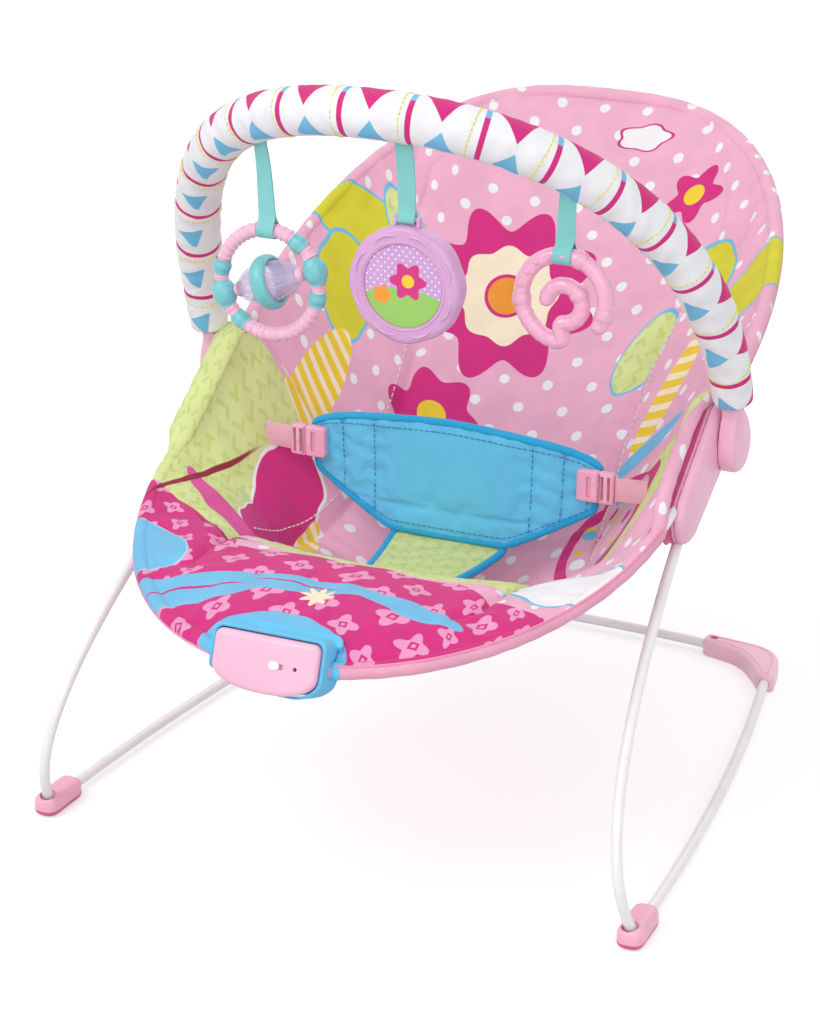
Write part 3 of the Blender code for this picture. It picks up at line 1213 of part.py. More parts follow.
def build_rattle():
    """Make the rattle: a ring with beads, and a clear barrel that spins across it."""
    swing, drop, tangent = toy_frame("rattle_swing", RATTLE_X)
    reach = RATTLE_DROP - drop
    ribbon("rattle_ribbon", reach - RATTLE_RING_R, RATTLE_TUBE_R + 2 * GAP, RATTLE_RING_R, tangent, swing)
    frame = make_pivot("rattle_frame", (0.0, 0.0, -reach), (0.0, -RATTLE_TILT, 0.0), swing)
    barrel_spin = make_pivot("barrel_spin", (0.0, 0.0, 0.0), (0.0, 90.0, 0.0), frame)
    steps = 36
    loop = [(x, 0.0, z) for x, z in ring_points(RATTLE_RING_R, steps)]
    ring = closed_sweep("rattle_ring", loop, ring_points(RATTLE_TUBE_R, 8), "pale_moulding", (0.0, 1.0, 0.0))
    place(ring, frame)
    half = RATTLE_RING_R - RATTLE_TUBE_R - 2 * GAP
    stub = BARREL_STEM_R
    for label, turn in (("left", 180.0), ("right", 0.0)):
        knob = bead_on_ring(label + "_rattle_knob", frame, turn, RATTLE_KNOB_R, 14)
        hole = rod("cut_stem_" + label, stub + GAP, 2 * half + 2 * GAP, 10, None)
        boolean(knob, place(hole, frame, turn=(0.0, 90.0, 0.0)))
    for k, turn in enumerate((34.0, -30.0, 150.0, 214.0)):
        bead_on_ring("rattle_bead_%d" % (k + 1), frame, turn, RATTLE_BEAD_R, 10)

    for label, side in (("left", -1), ("right", 1)):
        profile = [(0.0, half * 0.80), (BARREL_R * 0.66 - BARREL_WALL, half * 0.70),
                   (BARREL_R * 0.97 - BARREL_WALL, half * 0.33), (BARREL_R - BARREL_WALL, GAP),
                   (BARREL_R, GAP), (BARREL_R * 0.97, half * 0.35), (BARREL_R * 0.70, half * 0.72),
                   (stub + 0.0018, half * 0.83),
                   (stub, half * 0.85), (stub, half), (0.0, half)]
        facing = [(r, side * h) for r, h in profile]
        place(turned(label + "_barrel_half", facing, 12, "clear_violet"), barrel_spin)
    verts, faces = [], []
    hoop = [(BAND_R, -BAND_WIDTH / 2 + 0.002), (BAND_R, BAND_WIDTH / 2 - 0.002),
            (BAND_R - 0.002, BAND_WIDTH / 2), (BARREL_R + GAP, BAND_WIDTH / 2),
            (BARREL_R + GAP, -BAND_WIDTH / 2), (BAND_R - 0.002, -BAND_WIDTH / 2)]
    sides = 12
    for radius, height in hoop:
        verts += [(x, y, height) for x, y in ring_points(radius, sides)]
    for k in range(len(hoop)):
        for j in range(sides):
            n = (k + 1) % len(hoop) * sides
            faces.append((k * sides + j, k * sides + (j + 1) % sides, n + (j + 1) % sides, n + j))
    place(make_node("barrel_band", verts, faces, "teal_plastic"), barrel_spin)
    for k, (along, turn, reach_out) in enumerate(((-0.013, -12, 0.0092), (0.011, 8, 0.0098))):
        profile = [(0.0, -BALL_R), (BALL_R * 0.8, -BALL_R * 0.6), (BALL_R, 0.0), (BALL_R * 0.8, BALL_R * 0.6),
                   (0.0, BALL_R)]
        ball = turned("rattle_ball_%d" % (k + 1), profile, 10, "orange_bead")
        angle = math.radians(turn)
        place(ball, barrel_spin, (reach_out * math.cos(angle), reach_out * math.sin(angle), along))


def build_disc():
    """Make the disc toy: two scalloped shells with a round picture under the front one's rim."""
    swing, drop, tangent = toy_frame("disc_swing", DISC_X)
    reach = DISC_DROP - drop
    ribbon("disc_ribbon", reach - DISC_R - LUG_LIFT, LUG_R + 2 * GAP, 1.0, tangent, swing)
    frame = make_pivot("disc_frame", (0.0, 0.0, -reach), (90.0, 0.0, 0.0), swing)
    outline = []
    steps = 48
    for k in range(steps):
        angle = 2 * math.pi * k / steps
        radius = DISC_R - DISC_SCALLOP * (1 - abs(math.cos(DISC_SCALLOPS * angle / 2)))
        outline.append((radius * math.cos(angle), radius * math.sin(angle)))
    front = slab("disc_front", outline, GAP / 2, DISC_THICK / 2, "lilac_plastic", 0.0040)
    back = slab("disc_back", outline, -DISC_THICK / 2, -GAP / 2, "lilac_plastic", 0.0, 0.0030)
    window = rod("cut_disc_window", DISC_WINDOW_R, 2 * DISC_WINDOW_DEPTH, 24, None)
    boolean(place(front, frame), place(window, frame, (0.0, 0.0, DISC_THICK / 2)))
    place(back, frame)
    picture = rod("disc_picture", DISC_WINDOW_R - GAP, 0.0008, 24, "picture_card")
    place(picture, frame, (0.0, 0.0, DISC_THICK / 2 - DISC_WINDOW_DEPTH + GAP + 0.0004))
    lug_at = DISC_R + LUG_LIFT
    for end in (-1, 1):
        arm_place = (end * (RIBBON_WIDTH / 2 + 0.0022), lug_at - 0.0022, 0.0)
        arm = slab("join_lug_arm", box_outline(0.003, 0.0095), -LUG_R, LUG_R, None)
        boolean(back, place(arm, frame, arm_place), "UNION")
        clear = slab("cut_lug_room", box_outline(0.003 + 2 * GAP, 0.0095 + 2 * GAP), -0.0001,
                     LUG_R + GAP, None)
        boolean(front, place(clear, frame, arm_place))
    bar = rod("join_lug_bar", LUG_R, RIBBON_WIDTH + 0.0072, 10, None)
    boolean(back, place(bar, frame, (0.0, lug_at, 0.0), (0.0, 90.0, 0.0)), "UNION")


def build_teether():
    """Make the curled teether: a ring whose lower end turns in to a small spiral."""
    swing, drop, tangent = toy_frame("teether_swing", TEETHER_X)
    reach = TEETHER_DROP - drop
    ribbon("teether_ribbon", reach - TEETHER_R, TEETHER_TUBE_R + 2 * GAP, TEETHER_R, tangent, swing)
    frame = make_pivot("teether_frame", (0.0, 0.0, -reach), parent=swing)
    path = []
    for k in range(27):
        angle = math.radians(-42 + 318 * k / 26)
        path.append(Vector((TEETHER_R * math.cos(angle), 0.0, TEETHER_R * math.sin(angle))))
    curl_centre = Vector((TEETHER_CURL_DX, 0.0, TEETHER_CURL_DZ))
    start = math.radians(-135)
    for k in range(1, 15):
        angle = start + math.radians(330) * k / 14
        radius = TEETHER_CURL_R * (1 - 0.12 * k / 14)
        path.append(curl_centre + Vector((radius * math.cos(angle), 0.0, radius * math.sin(angle))))
    smooth = []
    for k, point in enumerate(path):
        if 0 < k < len(path) - 1:
            point = path[k - 1] * 0.2 + point * 0.6 + path[k + 1] * 0.2
        smooth.append(point)
    node = sweep("teether", smooth, ring_points(TEETHER_TUBE_R, 8), "clear_pink", up=LENGTHWISE)
    place(node, frame)


def main():
    """Build every sub-assembly and stand the model over its origin."""
    build_floor_frame()
    build_front_feet()
    build_rear_corners()
    build_seat_frame()
    build_hubs()
    build_pad()
    build_sleeves()
    build_harness()
    build_buckles()
    build_unit()
    build_bar()
    build_rattle()
    build_disc()
    build_teether()
    tilt = math.radians(UNIT_TILT)
    low_edge = UNIT_HEIGHT / 2 - UNIT_EDGE_R
    front_end = unit_place.y - math.cos(tilt) * UNIT_FRONT - math.sin(tilt) * low_edge
    rear_end = back_point(90.0).y + SLEEVE_R * math.cos(math.pi / TUBE_SIDES)
    root.location.y = -(front_end + rear_end) / 2


main()
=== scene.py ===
"""Looks of a baby bouncer with a wire frame, a padded seat, a waist harness and a toy bar.

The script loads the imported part, stands finer pieces in the places of its plain solids, gives
every piece a node-built finish, and sets the studio and the camera. All lengths are in metres.
"""

import json
import logging
import math
from collections.abc import Callable, Sequence
from dataclasses import dataclass
from enum import Enum
from typing import Any

import bmesh
import bpy
import numpy as np
from mathutils import Matrix, Vector


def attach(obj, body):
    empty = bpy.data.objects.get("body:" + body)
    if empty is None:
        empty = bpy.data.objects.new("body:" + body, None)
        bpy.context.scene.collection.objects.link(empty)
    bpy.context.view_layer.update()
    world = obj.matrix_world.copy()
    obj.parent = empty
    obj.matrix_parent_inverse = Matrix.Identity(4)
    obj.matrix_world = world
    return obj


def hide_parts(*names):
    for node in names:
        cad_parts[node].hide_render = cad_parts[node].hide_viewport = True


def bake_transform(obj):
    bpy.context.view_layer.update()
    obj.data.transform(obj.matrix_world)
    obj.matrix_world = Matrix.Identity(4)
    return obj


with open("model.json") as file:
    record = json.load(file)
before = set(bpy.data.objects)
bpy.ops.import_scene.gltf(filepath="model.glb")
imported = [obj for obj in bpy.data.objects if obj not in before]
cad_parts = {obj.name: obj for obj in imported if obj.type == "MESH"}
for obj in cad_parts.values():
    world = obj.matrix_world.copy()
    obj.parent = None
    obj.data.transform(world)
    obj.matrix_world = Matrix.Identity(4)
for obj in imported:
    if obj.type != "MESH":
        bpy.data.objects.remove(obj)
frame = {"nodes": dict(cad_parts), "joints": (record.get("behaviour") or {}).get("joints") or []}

LOG = logging.getLogger("bouncer")
Array = np.ndarray
Colour = tuple[float, float, float]
Pitch = tuple[float, float, float]
JOINTS = {joint["name"]: joint for joint in frame["joints"]}
SHIFT = np.array(JOINTS["bounce"]["pos_m"]) * (0.0, 1.0, 0.0)
UP = (0.0, 0.0, 1.0)
ACROSS = (1.0, 0.0, 0.0)
LENGTHWISE = (0.0, 1.0, 0.0)
GAP = 0.0003
TUBE_R = 0.00425
WELD = 2e-6
TINY = 1e-9
CLOTH_BUMP = 0.0006
MOULDED_BUMP = 0.0003
SIDES = (("left", -1), ("right", 1))


# Paths and sections
def unit(vectors: Array) -> Array:
    """Return vectors scaled to a length of 1."""
    return vectors / np.maximum(np.linalg.norm(vectors, axis=-1, keepdims=True), TINY)


def eased(share: Any) -> Any:
    """Return a share from 0 to 1 with a soft start and end."""
    return share * share * (3 - 2 * share)


def full_turn(count: int) -> Array:
    """Return evenly spaced angles round one full turn, in radians."""
    return np.arange(count) * 2 * np.pi / count


def post(radius: float, low: float, high: float) -> list[tuple[float, float]]:
    """Return the profile of a plain round post, for turned."""
    return [(0.0, low), (radius, low), (radius, high), (0.0, high)]


def arch(angles: Array, power: float) -> tuple[Array, Array]:
    """Return the width shares and the length shares of a rounded arch.

    Args:
        angles: Angles in degrees, 0 at the +X foot and 180 at the other.
        power: How square the arch is; 2 is an ellipse.

    Returns:
        The shares across and along.
    """
    across = np.cos(np.radians(angles))
    along = np.abs(np.sin(np.radians(angles)))
    return np.sign(across) * np.abs(across) ** (2 / power), along ** (2 / power)


def walked(path: Array) -> Array:
    """Return the distance walked along a path at each of its points."""
    return np.r_[0.0, np.cumsum(np.linalg.norm(np.diff(path, axis=0), axis=1))]


def stretch(path: Array, start: float, end: float, count: int) -> Array:
    """Return evenly spaced points of the stretch of a path between two distances.

    Args:
        path: Points of the path.
        start: Distance at which the stretch starts.
        end: Distance at which it ends.
        count: Number of points.

    Returns:
        The points of the stretch.
    """
    marks = np.linspace(start, end, count)
    lengths = walked(path)
    return np.stack([np.interp(marks, lengths, path[:, axis]) for axis in range(3)], 1)


def spaced(path: Array, count: int) -> Array:
    """Return a path as evenly spaced points."""
    return stretch(path, 0.0, walked(path)[-1], count)


def bezier(a: Sequence[float], b: Sequence[float], c: Sequence[float], count: int) -> Array:
    """Return points on a curve from a to c that bends towards b.

    Args:
        a: Start.
        b: The corner that pulls the curve.
        c: End.
        count: Number of points.

    Returns:
        The points of the curve.
    """
    t = np.linspace(0, 1, count)[:, None]
    return np.array(a) * (1 - t) ** 2 + np.array(b) * (2 * t * (1 - t)) + np.array(c) * t * t


def relaxed(path: Array, rounds: int, closed: bool = False) -> Array:
    """Return a path with its corners eased.

    Args:
        path: Points of the path.
        rounds: How often each point moves towards its neighbours.
        closed: Whether the path is a loop.

    Returns:
        The eased path.
    """
    path = np.array(path, float)
    for _ in range(rounds):
        middle = (np.roll(path, 1, 0) + np.roll(path, -1, 0)) / 2
        moved = path * 0.5 + middle * 0.5
        path = moved if closed else np.r_[path[:1], moved[1:-1], path[-1:]]
    return path


def ring(radius: float, sides: int, flat: float = 1.0) -> Array:
    """Return a round or oval section.

    Args:
        radius: Half the width.
        sides: Number of points.
        flat: Height as a share of the width.

    Returns:
        The points of the section.
    """
    angles = full_turn(sides)
    return np.stack([radius * np.cos(angles), radius * flat * np.sin(angles)], 1)


def strip(width: float, height: float, corner: float, steps: int = 3) -> Array:
    """Return a flat section with round corners, drawn anticlockwise.

    Args:
        width: Size along the first axis.
        height: Size along the second axis.
        corner: Radius of the corners.
        steps: Segments in each corner.

    Returns:
        The points of the section.
    """
    points = []
    for quarter, (sx, sy) in enumerate(((1, -1), (1, 1), (-1, 1), (-1, -1))):
        for step in range(steps + 1):
            angle = math.radians(-90 + 90 * quarter + 90 * step / steps)
            points.append((sx * (width / 2 - corner) + corner * math.cos(angle),
                           sy * (height / 2 - corner) + corner * math.sin(angle)))
    return np.array(points)


def rounded(corners: Sequence[Sequence[float]], radii: Sequence[float], steps: int = 7) -> Array:
    """Return a polygon with each corner rounded by a curve.

    Args:
        corners: Corners, drawn anticlockwise.
        radii: How far each corner's curve reaches along its sides.
        steps: Segments in each corner.

    Returns:
        The rounded outline.
    """
    points = []
    corners = np.array(corners, float)
    for k, radius in enumerate(radii):
        here = corners[k]
        before, after = corners[k - 1] - here, corners[(k + 1) % len(corners)] - here
        far_before, far_after = np.linalg.norm(before), np.linalg.norm(after)
        reach = min(radius, far_before * 0.48, far_after * 0.48)
        start, end = here + before / far_before * reach, here + after / far_after * reach
        for t in np.linspace(0, 1, steps + 1):
            points.append(start * (1 - t) ** 2 + here * (2 * t * (1 - t)) + end * t * t)
    return np.array(points)


def drawn_in(outline: Array, inset: float) -> Array:
    """Return a closed anticlockwise outline moved inwards by one distance."""
    before = unit(outline - np.roll(outline, 1, 0))
    after = unit(np.roll(outline, -1, 0) - outline)
    left = unit(np.stack([-before[:, 1] - after[:, 1], before[:, 0] + after[:, 0]], 1))
    share = np.maximum(0.5, left[:, 0] * -before[:, 1] + left[:, 1] * before[:, 0])
    return outline + left * (inset / share)[:, None]


def edge_levels(low: float, high: float, low_edge: float, high_edge: float) -> list[tuple[float, float]]:
    """Return heights and insets of a slab whose edges are rounded.

    Args:
        low: Height of its underside.
        high: Height of its face.
        low_edge: Radius of the lower edge.
        high_edge: Radius of the upper edge.

    Returns:
        Pairs of height and inset, from low to high.
    """
    turns = [math.radians(a) for a in (0, 22, 45, 68, 90)]
    lower = [(low + low_edge * (1 - math.sin(a)), low_edge * (1 - math.cos(a))) for a in reversed(turns)]
    upper = [(high - high_edge * (1 - math.sin(a)), high_edge * (1 - math.cos(a))) for a in turns]
    return lower + upper


# Meshes
def skin(name: str, points: Array, finish: "Finish", uvs: Array | None = None, loop: bool = False,
         closed: bool = False, caps: bool = True, sharp: float = 50.0) -> bpy.types.Object:
    """Make a mesh from rows of points.

    Args:
        name: Name of the piece.
        points: Rows by columns by 3, in the model frame.
        finish: The finish of the piece.
        uvs: Rows by columns by 2 in metres, one more row or column where that way is closed.
        loop: Whether the last row joins the first.
        closed: Whether the last column joins the first.
        caps: Whether open ends of closed rows get a face.
        sharp: Angle above which an edge stays sharp, in degrees.

    Returns:
        The object.
    """
    rows, cols = points.shape[:2]
    r, c = np.meshgrid(np.arange(rows - (not loop)), np.arange(cols - (not closed)), indexing="ij")
    r2, c2 = (r + 1) % rows, (c + 1) % cols
    quads = np.stack([r * cols + c, r * cols + c2, r2 * cols + c2, r2 * cols + c], -1).reshape(-1, 4)
    faces = quads.tolist()
    if closed and caps and not loop:
        faces += [list(range(cols))[::-1], [(rows - 1) * cols + k for k in range(cols)]]
    mesh = bpy.data.meshes.new(name)
    mesh.from_pydata((points.reshape(-1, 3) + SHIFT).tolist(), [], faces)
    if uvs is not None:
        flat = np.zeros((len(mesh.loops), 2))
        corner = np.stack([uvs[r, c], uvs[r, c + 1], uvs[r + 1, c + 1], uvs[r + 1, c]], -2).reshape(-1, 2)
        flat[:len(corner)] = corner
        mesh.uv_layers.new(name="metres").data.foreach_set("uv", flat.ravel())
    return finished(name, mesh, finish, sharp)


def shell_faces(rows: int, cols: int) -> list[list[int]]:
    """Return the faces of a closed shell whose points are an upper grid, then a lower grid.

    Args:
        rows: Rows of one grid.
        cols: Columns of one grid.

    Returns:
        The upper faces, as many lower faces, then the rim.
    """
    count = rows * cols
    index = np.arange(count).reshape(rows, cols)
    a, b, c, d = index[:-1, :-1], index[:-1, 1:], index[1:, 1:], index[1:, :-1]
    border = np.r_[index[0, :-1], index[:-1, -1], index[-1, :0:-1], index[:0:-1, 0]]
    after = np.roll(border, -1)
    parts = [np.stack([a, b, c, d], -1), np.stack([b, a, d, c], -1) + count,
             np.stack([border + count, after + count, after, border], -1)]
    return np.concatenate([part.reshape(-1, 4) for part in parts]).tolist()


def lay_metres(mesh: bpy.types.Mesh, where: Array) -> None:
    """Write where each point of a mesh lies on its cloth, in metres, as the print's coordinates."""
    corner = np.empty(len(mesh.loops), int)
    mesh.loops.foreach_get("vertex_index", corner)
    layer = mesh.uv_layers[0] if mesh.uv_layers else mesh.uv_layers.new(name="metres")
    layer.data.foreach_set("uv", where[corner].ravel())


def linked(name: str, data: bpy.types.ID) -> bpy.types.Object:
    """Return a new object with this data, linked to the scene."""
    item = bpy.data.objects.new(name, data)
    bpy.context.scene.collection.objects.link(item)
    return item


def finished(name: str, mesh: bpy.types.Mesh, finish: "Finish", sharp: float) -> bpy.types.Object:
    """Weld a mesh, turn its faces outwards, smooth it and link it as an object.

    Args:
        name: Name of the piece.
        mesh: Its mesh, in the row frame.
        finish: Its finish.
        sharp: Angle above which an edge stays sharp, in degrees.

    Returns:
        The object.
    """
    shape = bmesh.new()
    shape.from_mesh(mesh)
    bmesh.ops.remove_doubles(shape, verts=shape.verts, dist=WELD)
    bmesh.ops.recalc_face_normals(shape, faces=shape.faces)
    shape.to_mesh(mesh)
    shape.free()
    mesh.shade_smooth()
    mesh.set_sharp_from_angle(angle=math.radians(sharp))
    mesh.materials.append(finish.material())
    return linked(name, mesh)


def sweep(name: str, path: Array, section: Array, finish: "Finish", up: Sequence[float] = UP,
          scales: Array | None = None, loop: bool = False, sharp: float = 50.0) -> bpy.types.Object:
    """Sweep a section along a path.

    Args:
        name: Name of the piece.
        path: Points of the path.
        section: Points of the section, side by rise.
        finish: The finish of the piece.
        up: Direction that the section's rise keeps to.
        scales: Scale of the section at each path point, or at each of its points there.
        loop: Whether the path is closed.
        sharp: Angle above which an edge stays sharp, in degrees.

    Returns:
        The object.
    """
    path = np.asarray(path, float)
    ahead = unit(np.roll(path, -1, 0) - np.roll(path, 1, 0) if loop else np.gradient(path, axis=0))
    side = unit(np.cross(ahead, up))
    rise = np.cross(side, ahead)
    scales = np.ones(len(path)) if scales is None else np.asarray(scales)
    scales = scales[:, None] if scales.ndim == 1 else scales
    spread = side[:, None] * section[None, :, :1] + rise[:, None] * section[None, :, 1:]
    points = path[:, None] + spread * scales[..., None]
    around = walked(np.r_[section, section[:1]])
    along = walked(np.r_[path, path[:1]] if loop else path)
    uvs = np.stack(np.broadcast_arrays(around[None, :], along[:, None]), -1)
    return skin(name, points, finish, uvs, loop, True, True, sharp)


def moved(points: Array, place: Matrix) -> Array:
    """Return points moved from a local frame into the model frame."""
    turn = np.array(place)
    return points @ turn[:3, :3].T + turn[:3, 3]


def slab(name: str, outline: Array, levels: Sequence[tuple[float, float]], place: Matrix,
         finish: "Finish", bulge: float = 0.0) -> bpy.types.Object:
    """Raise an outline through levels of height and inset.

    Args:
        name: Name of the piece.
        outline: Its outline, anticlockwise.
        levels: Pairs of height and inset.
        place: Its local frame.
        finish: Its finish.
        bulge: How far the upper face crowns.

    Returns:
        The object.
    """
    rows = [np.c_[drawn_in(outline, inset), np.full(len(outline), height)] for height, inset in levels]
    if bulge:
        top = rows[-1]
        middle = top.mean(0)
        for share in (0.85, 0.6, 0.3, 0.0):
            row = middle + (top - middle) * share
            row[:, 2] = top[:, 2] + bulge * (1 - share ** 2)
            rows.append(row)
    return skin(name, moved(np.array(rows), place), finish, None, False, True, sharp=40.0)


def turned(name: str, profile: Sequence[tuple[float, float]], sides: int, place: Matrix,
           finish: "Finish", sharp: float = 50.0) -> bpy.types.Object:
    """Turn a profile of radius and height round a local Z axis.

    Args:
        name: Name of the piece.
        profile: Pairs of radius and height; a closed shape starts and ends on the axis.
        sides: Number of sides.
        place: The local frame.
        finish: The finish.
        sharp: Angle above which an edge stays sharp, in degrees.

    Returns:
        The object.
    """
    angles = full_turn(sides)
    rows = [np.c_[r * np.cos(angles), r * np.sin(angles), np.full(sides, h)] for r, h in profile]
    return skin(name, moved(np.array(rows), place), finish, None, False, True, False, sharp)


def joined(name: str, pieces: Sequence[bpy.types.Object]) -> bpy.types.Object:
    """Join pieces of one body into one object.

    Args:
        name: Name of the joined piece.
        pieces: The pieces, which are removed.

    Returns:
        The joined object.
    """
    shape = bmesh.new()
    materials: list[bpy.types.Material] = []
    for piece in pieces:
        slots = []
        for material in piece.data.materials:
            if material not in materials:
                materials.append(material)
            slots.append(materials.index(material))
        start = len(shape.faces)
        shape.from_mesh(piece.data)
        shape.faces.ensure_lookup_table()
        for face in shape.faces[start:]:
            face.material_index = slots[min(face.material_index, len(slots) - 1)]
    mesh = bpy.data.meshes.new(name)
    shape.to_mesh(mesh)
    shape.free()
    for material in materials:
        mesh.materials.append(material)
    for piece in pieces:
        bpy.data.objects.remove(piece)
    return linked(name, mesh)


def baked(piece: bpy.types.Object) -> bpy.types.Object:
    """Turn a piece's modifiers into plain mesh and drop them."""
    seen = piece.evaluated_get(bpy.context.evaluated_depsgraph_get())
    mesh = bpy.data.meshes.new_from_object(seen)
    piece.modifiers.clear()
    piece.data = mesh
    return piece


def carved(piece: bpy.types.Object, *tools: bpy.types.Object) -> bpy.types.Object:
    """Cut tools out of a piece and remove them."""
    for tool in tools:
        cut = piece.modifiers.new("cut", "BOOLEAN")
        cut.operation = "DIFFERENCE"
        cut.object = tool
        cut.solver = "EXACT"
        baked(piece)
        bpy.data.objects.remove(tool)
    piece.data.set_sharp_from_angle(angle=math.radians(40))
    return piece


def settle(piece: bpy.types.Object, body: str, slot: str, *nodes: str) -> bpy.types.Object:
    """Args:
        piece: The piece, in place.
        body: The body that it rides on.
        slot: The record's material slot; not used.
        nodes: The CAD nodes that it stands for.

    Returns:
        The piece.
    """
    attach(piece, body)
    if nodes:
        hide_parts(*nodes)
    LOG.info("%s rides on %s, %d faces", piece.name, body, len(piece.data.polygons))
    return piece


# Node writing
class Nodes:
    """A writer for one node tree."""

    def __init__(self, tree: bpy.types.NodeTree) -> None:
        """Keep the tree that nodes go into."""
        self.tree = tree

    def put(self, socket: bpy.types.NodeSocket, value: Any) -> None:
        """Link another socket to a socket, or set its own value."""
        if isinstance(value, bpy.types.NodeSocket):
            self.tree.links.new(value, socket)
        elif value is not None:
            wide = socket.type == "RGBA" and len(value) == 3
            socket.default_value = (*value, 1.0) if wide else value

    def add(self, kind: str, values: dict[Any, Any] | None = None, **settings: Any) -> bpy.types.Node:
        """Add a node.

        Args:
            kind: Its type name.
            values: Input values or sockets, by input name or index.
            settings: Its own settings.

        Returns:
            The node.
        """
        node = self.tree.nodes.new(kind)
        for key, setting in settings.items():
            setattr(node, key, setting)
        for key, value in (values or {}).items():
            self.put(node.inputs[key], value)
        return node

    def math(self, operation: str, a: Any, b: Any = None, c: Any = None) -> bpy.types.NodeSocket:
        """Add a Math node and return its value."""
        node = self.add("ShaderNodeMath", {0: a, 1: b, 2: c}, operation=operation)
        return node.outputs[0]

    def vector(self, operation: str, a: Any, b: Any = None) -> bpy.types.NodeSocket:
        """Add a Vector Math node and return its result."""
        second = "Scale" if operation == "SCALE" else 1
        node = self.add("ShaderNodeVectorMath", {0: a, second: b}, operation=operation)
        return node.outputs["Value" if operation in ("LENGTH", "DOT_PRODUCT") else "Vector"]

    def mix(self, share: Any, a: Any, b: Any) -> bpy.types.NodeSocket:
        """Add a colour Mix node and return its colour."""
        return self.add("ShaderNodeMix", {0: share, 6: a, 7: b}, data_type="RGBA").outputs[2]

    def ramp(self, value: Any, low: float, high: float, first: float = 0.0,
             last: float = 1.0) -> bpy.types.NodeSocket:
        """Add a smooth Map Range node.

        Args:
            value: The value to map.
            low: Value that gives first.
            high: Value that gives last.
            first: Result at low.
            last: Result at high.

        Returns:
            The mapped value.
        """
        values = {"Value": value, "From Min": low, "From Max": high, "To Min": first, "To Max": last}
        return self.add("ShaderNodeMapRange", values, interpolation_type="SMOOTHSTEP").outputs[0]

    def noise(self, place: Any, scale: float, detail: float = 2.0) -> bpy.types.NodeSocket:
        """Add a Noise Texture node and return its value."""
        values = {"Vector": place, "Scale": scale, "Detail": detail}
        return self.add("ShaderNodeTexNoise", values).outputs[0]

    def parts(self, vector: Any) -> list[bpy.types.NodeSocket]:
        """Return the X, Y and Z of a vector."""
        return list(self.add("ShaderNodeSeparateXYZ", {0: vector}).outputs)

    def place(self, effect: "Effect", values: dict[str, Any]) -> bpy.types.Node:
        """Place a shared effect's group node, with values or sockets by input name."""
        node = self.add("ShaderNodeGroup", {}, node_tree=effect.tree())
        for key, value in values.items():
            self.put(node.inputs[key], value)
        return node

    def turned(self, vector: Any, angle: Any) -> bpy.types.NodeSocket:
        """Return a vector turned about Z by an angle in radians."""
        values = {"Vector": vector, "Angle": angle}
        return self.add("ShaderNodeVectorRotate", values, rotation_type="Z_AXIS").outputs[0]

    def close(self, shapes: Any, finish: Any) -> None:
        """End a geometry tree: real, smooth shapes in one finish."""
        real = self.add("GeometryNodeRealizeInstances", {0: shapes}).outputs[0]
        smooth = self.add("GeometryNodeSetShadeSmooth", {0: real}).outputs[0]
        made = self.add("GeometryNodeSetMaterial", {"Geometry": smooth, "Material": finish})
        self.add("NodeGroupOutput", {0: made.outputs[0]})


def fresh_tree(name: str, kind: str, inputs: Sequence[tuple[str, str, Any]],
               outputs: Sequence[tuple[str, str]]) -> bpy.types.NodeTree:
    """Make a node group that has its sockets and nothing else yet.

    Args:
        name: Name of the group.
        kind: Its type of tree.
        inputs: Name, kind and default value of each input.
        outputs: Name and kind of each output.

    Returns:
        The group.
    """
    tree = bpy.data.node_groups.new(name, kind)
    for label, socket, value in inputs:
        made = tree.interface.new_socket(label, in_out="INPUT", socket_type="NodeSocket" + socket)
        if value is not None:
            made.default_value = value
    for label, socket in outputs:
        tree.interface.new_socket(label, in_out="OUTPUT", socket_type="NodeSocket" + socket)
    return tree


@dataclass(frozen=True)
class Effect:
    """A shader node group that several materials share."""

    name: str
    inputs: tuple[tuple[str, Any], ...]
    outputs: tuple[tuple[str, str], ...]
    write: Callable[[Nodes, dict[str, Any]], dict[str, Any]]

    def tree(self) -> bpy.types.NodeTree:
        """Return the group, built on first use."""
        found = bpy.data.node_groups.get(self.name)
        if found:
            return found
        kinds = {1: "Float", 3: "Vector", 4: "Color"}
        inputs = [(name, kinds[len(value) if isinstance(value, tuple) else 1], value)
                  for name, value in self.inputs]
        tree = fresh_tree(self.name, "ShaderNodeTree", inputs, self.outputs)
        nodes = Nodes(tree)
        given = {socket.name: socket for socket in nodes.add("NodeGroupInput").outputs if socket.name}
        nodes.add("NodeGroupOutput", self.write(nodes, given))
        return tree


def write_weave_and_shade(nodes: Nodes, given: dict[str, Any]) -> dict[str, Any]:
    """Write crossing yarn, slubs and soft creases; the colour is painted shade, darker in the yarn's hollows,
    with random tone.

    Args:
        nodes: Writer of the group.
        given: Its inputs.

    Returns:
        Colour and height.
    """
    rate = nodes.math("DIVIDE", 2 * math.pi, given["Thread"])
    x, y, z = nodes.parts(nodes.vector("SCALE", given["Vector"], rate))
    x, y, z = (nodes.math("SINE", part) for part in (x, y, z))
    cross = nodes.math("MULTIPLY_ADD", x, y, nodes.math("MULTIPLY", z, nodes.math("ADD", x, y)))
    thread_relief_and_shade = nodes.ramp(cross, -1.0, 1.0)
    slub = nodes.noise(nodes.vector("MULTIPLY", given["Vector"], (160.0, 900.0, 500.0)), 1.0)
    tone = nodes.noise(given["Vector"], 34.0)
    crease = nodes.noise(given["Vector"], 55.0, 3.0)
    # The colour runs from dark in the hollows between yarns to pale on their crowns: painted shade, plus
    # random tone from the noise.
    dark = nodes.vector("SCALE", given["Colour"], 0.90)
    pale = nodes.vector("SCALE", given["Colour"], 1.04)
    share = nodes.math("MULTIPLY_ADD", thread_relief_and_shade, 0.35, nodes.ramp(tone, 0.3, 0.7, 0.1, 0.65))
    height = nodes.math("MULTIPLY_ADD", slub, 0.35, thread_relief_and_shade)
    folds = nodes.math("MULTIPLY", crease, given["Crease"])
    return {"Colour": nodes.mix(share, dark, pale), "Height": nodes.math("ADD", height, folds)}


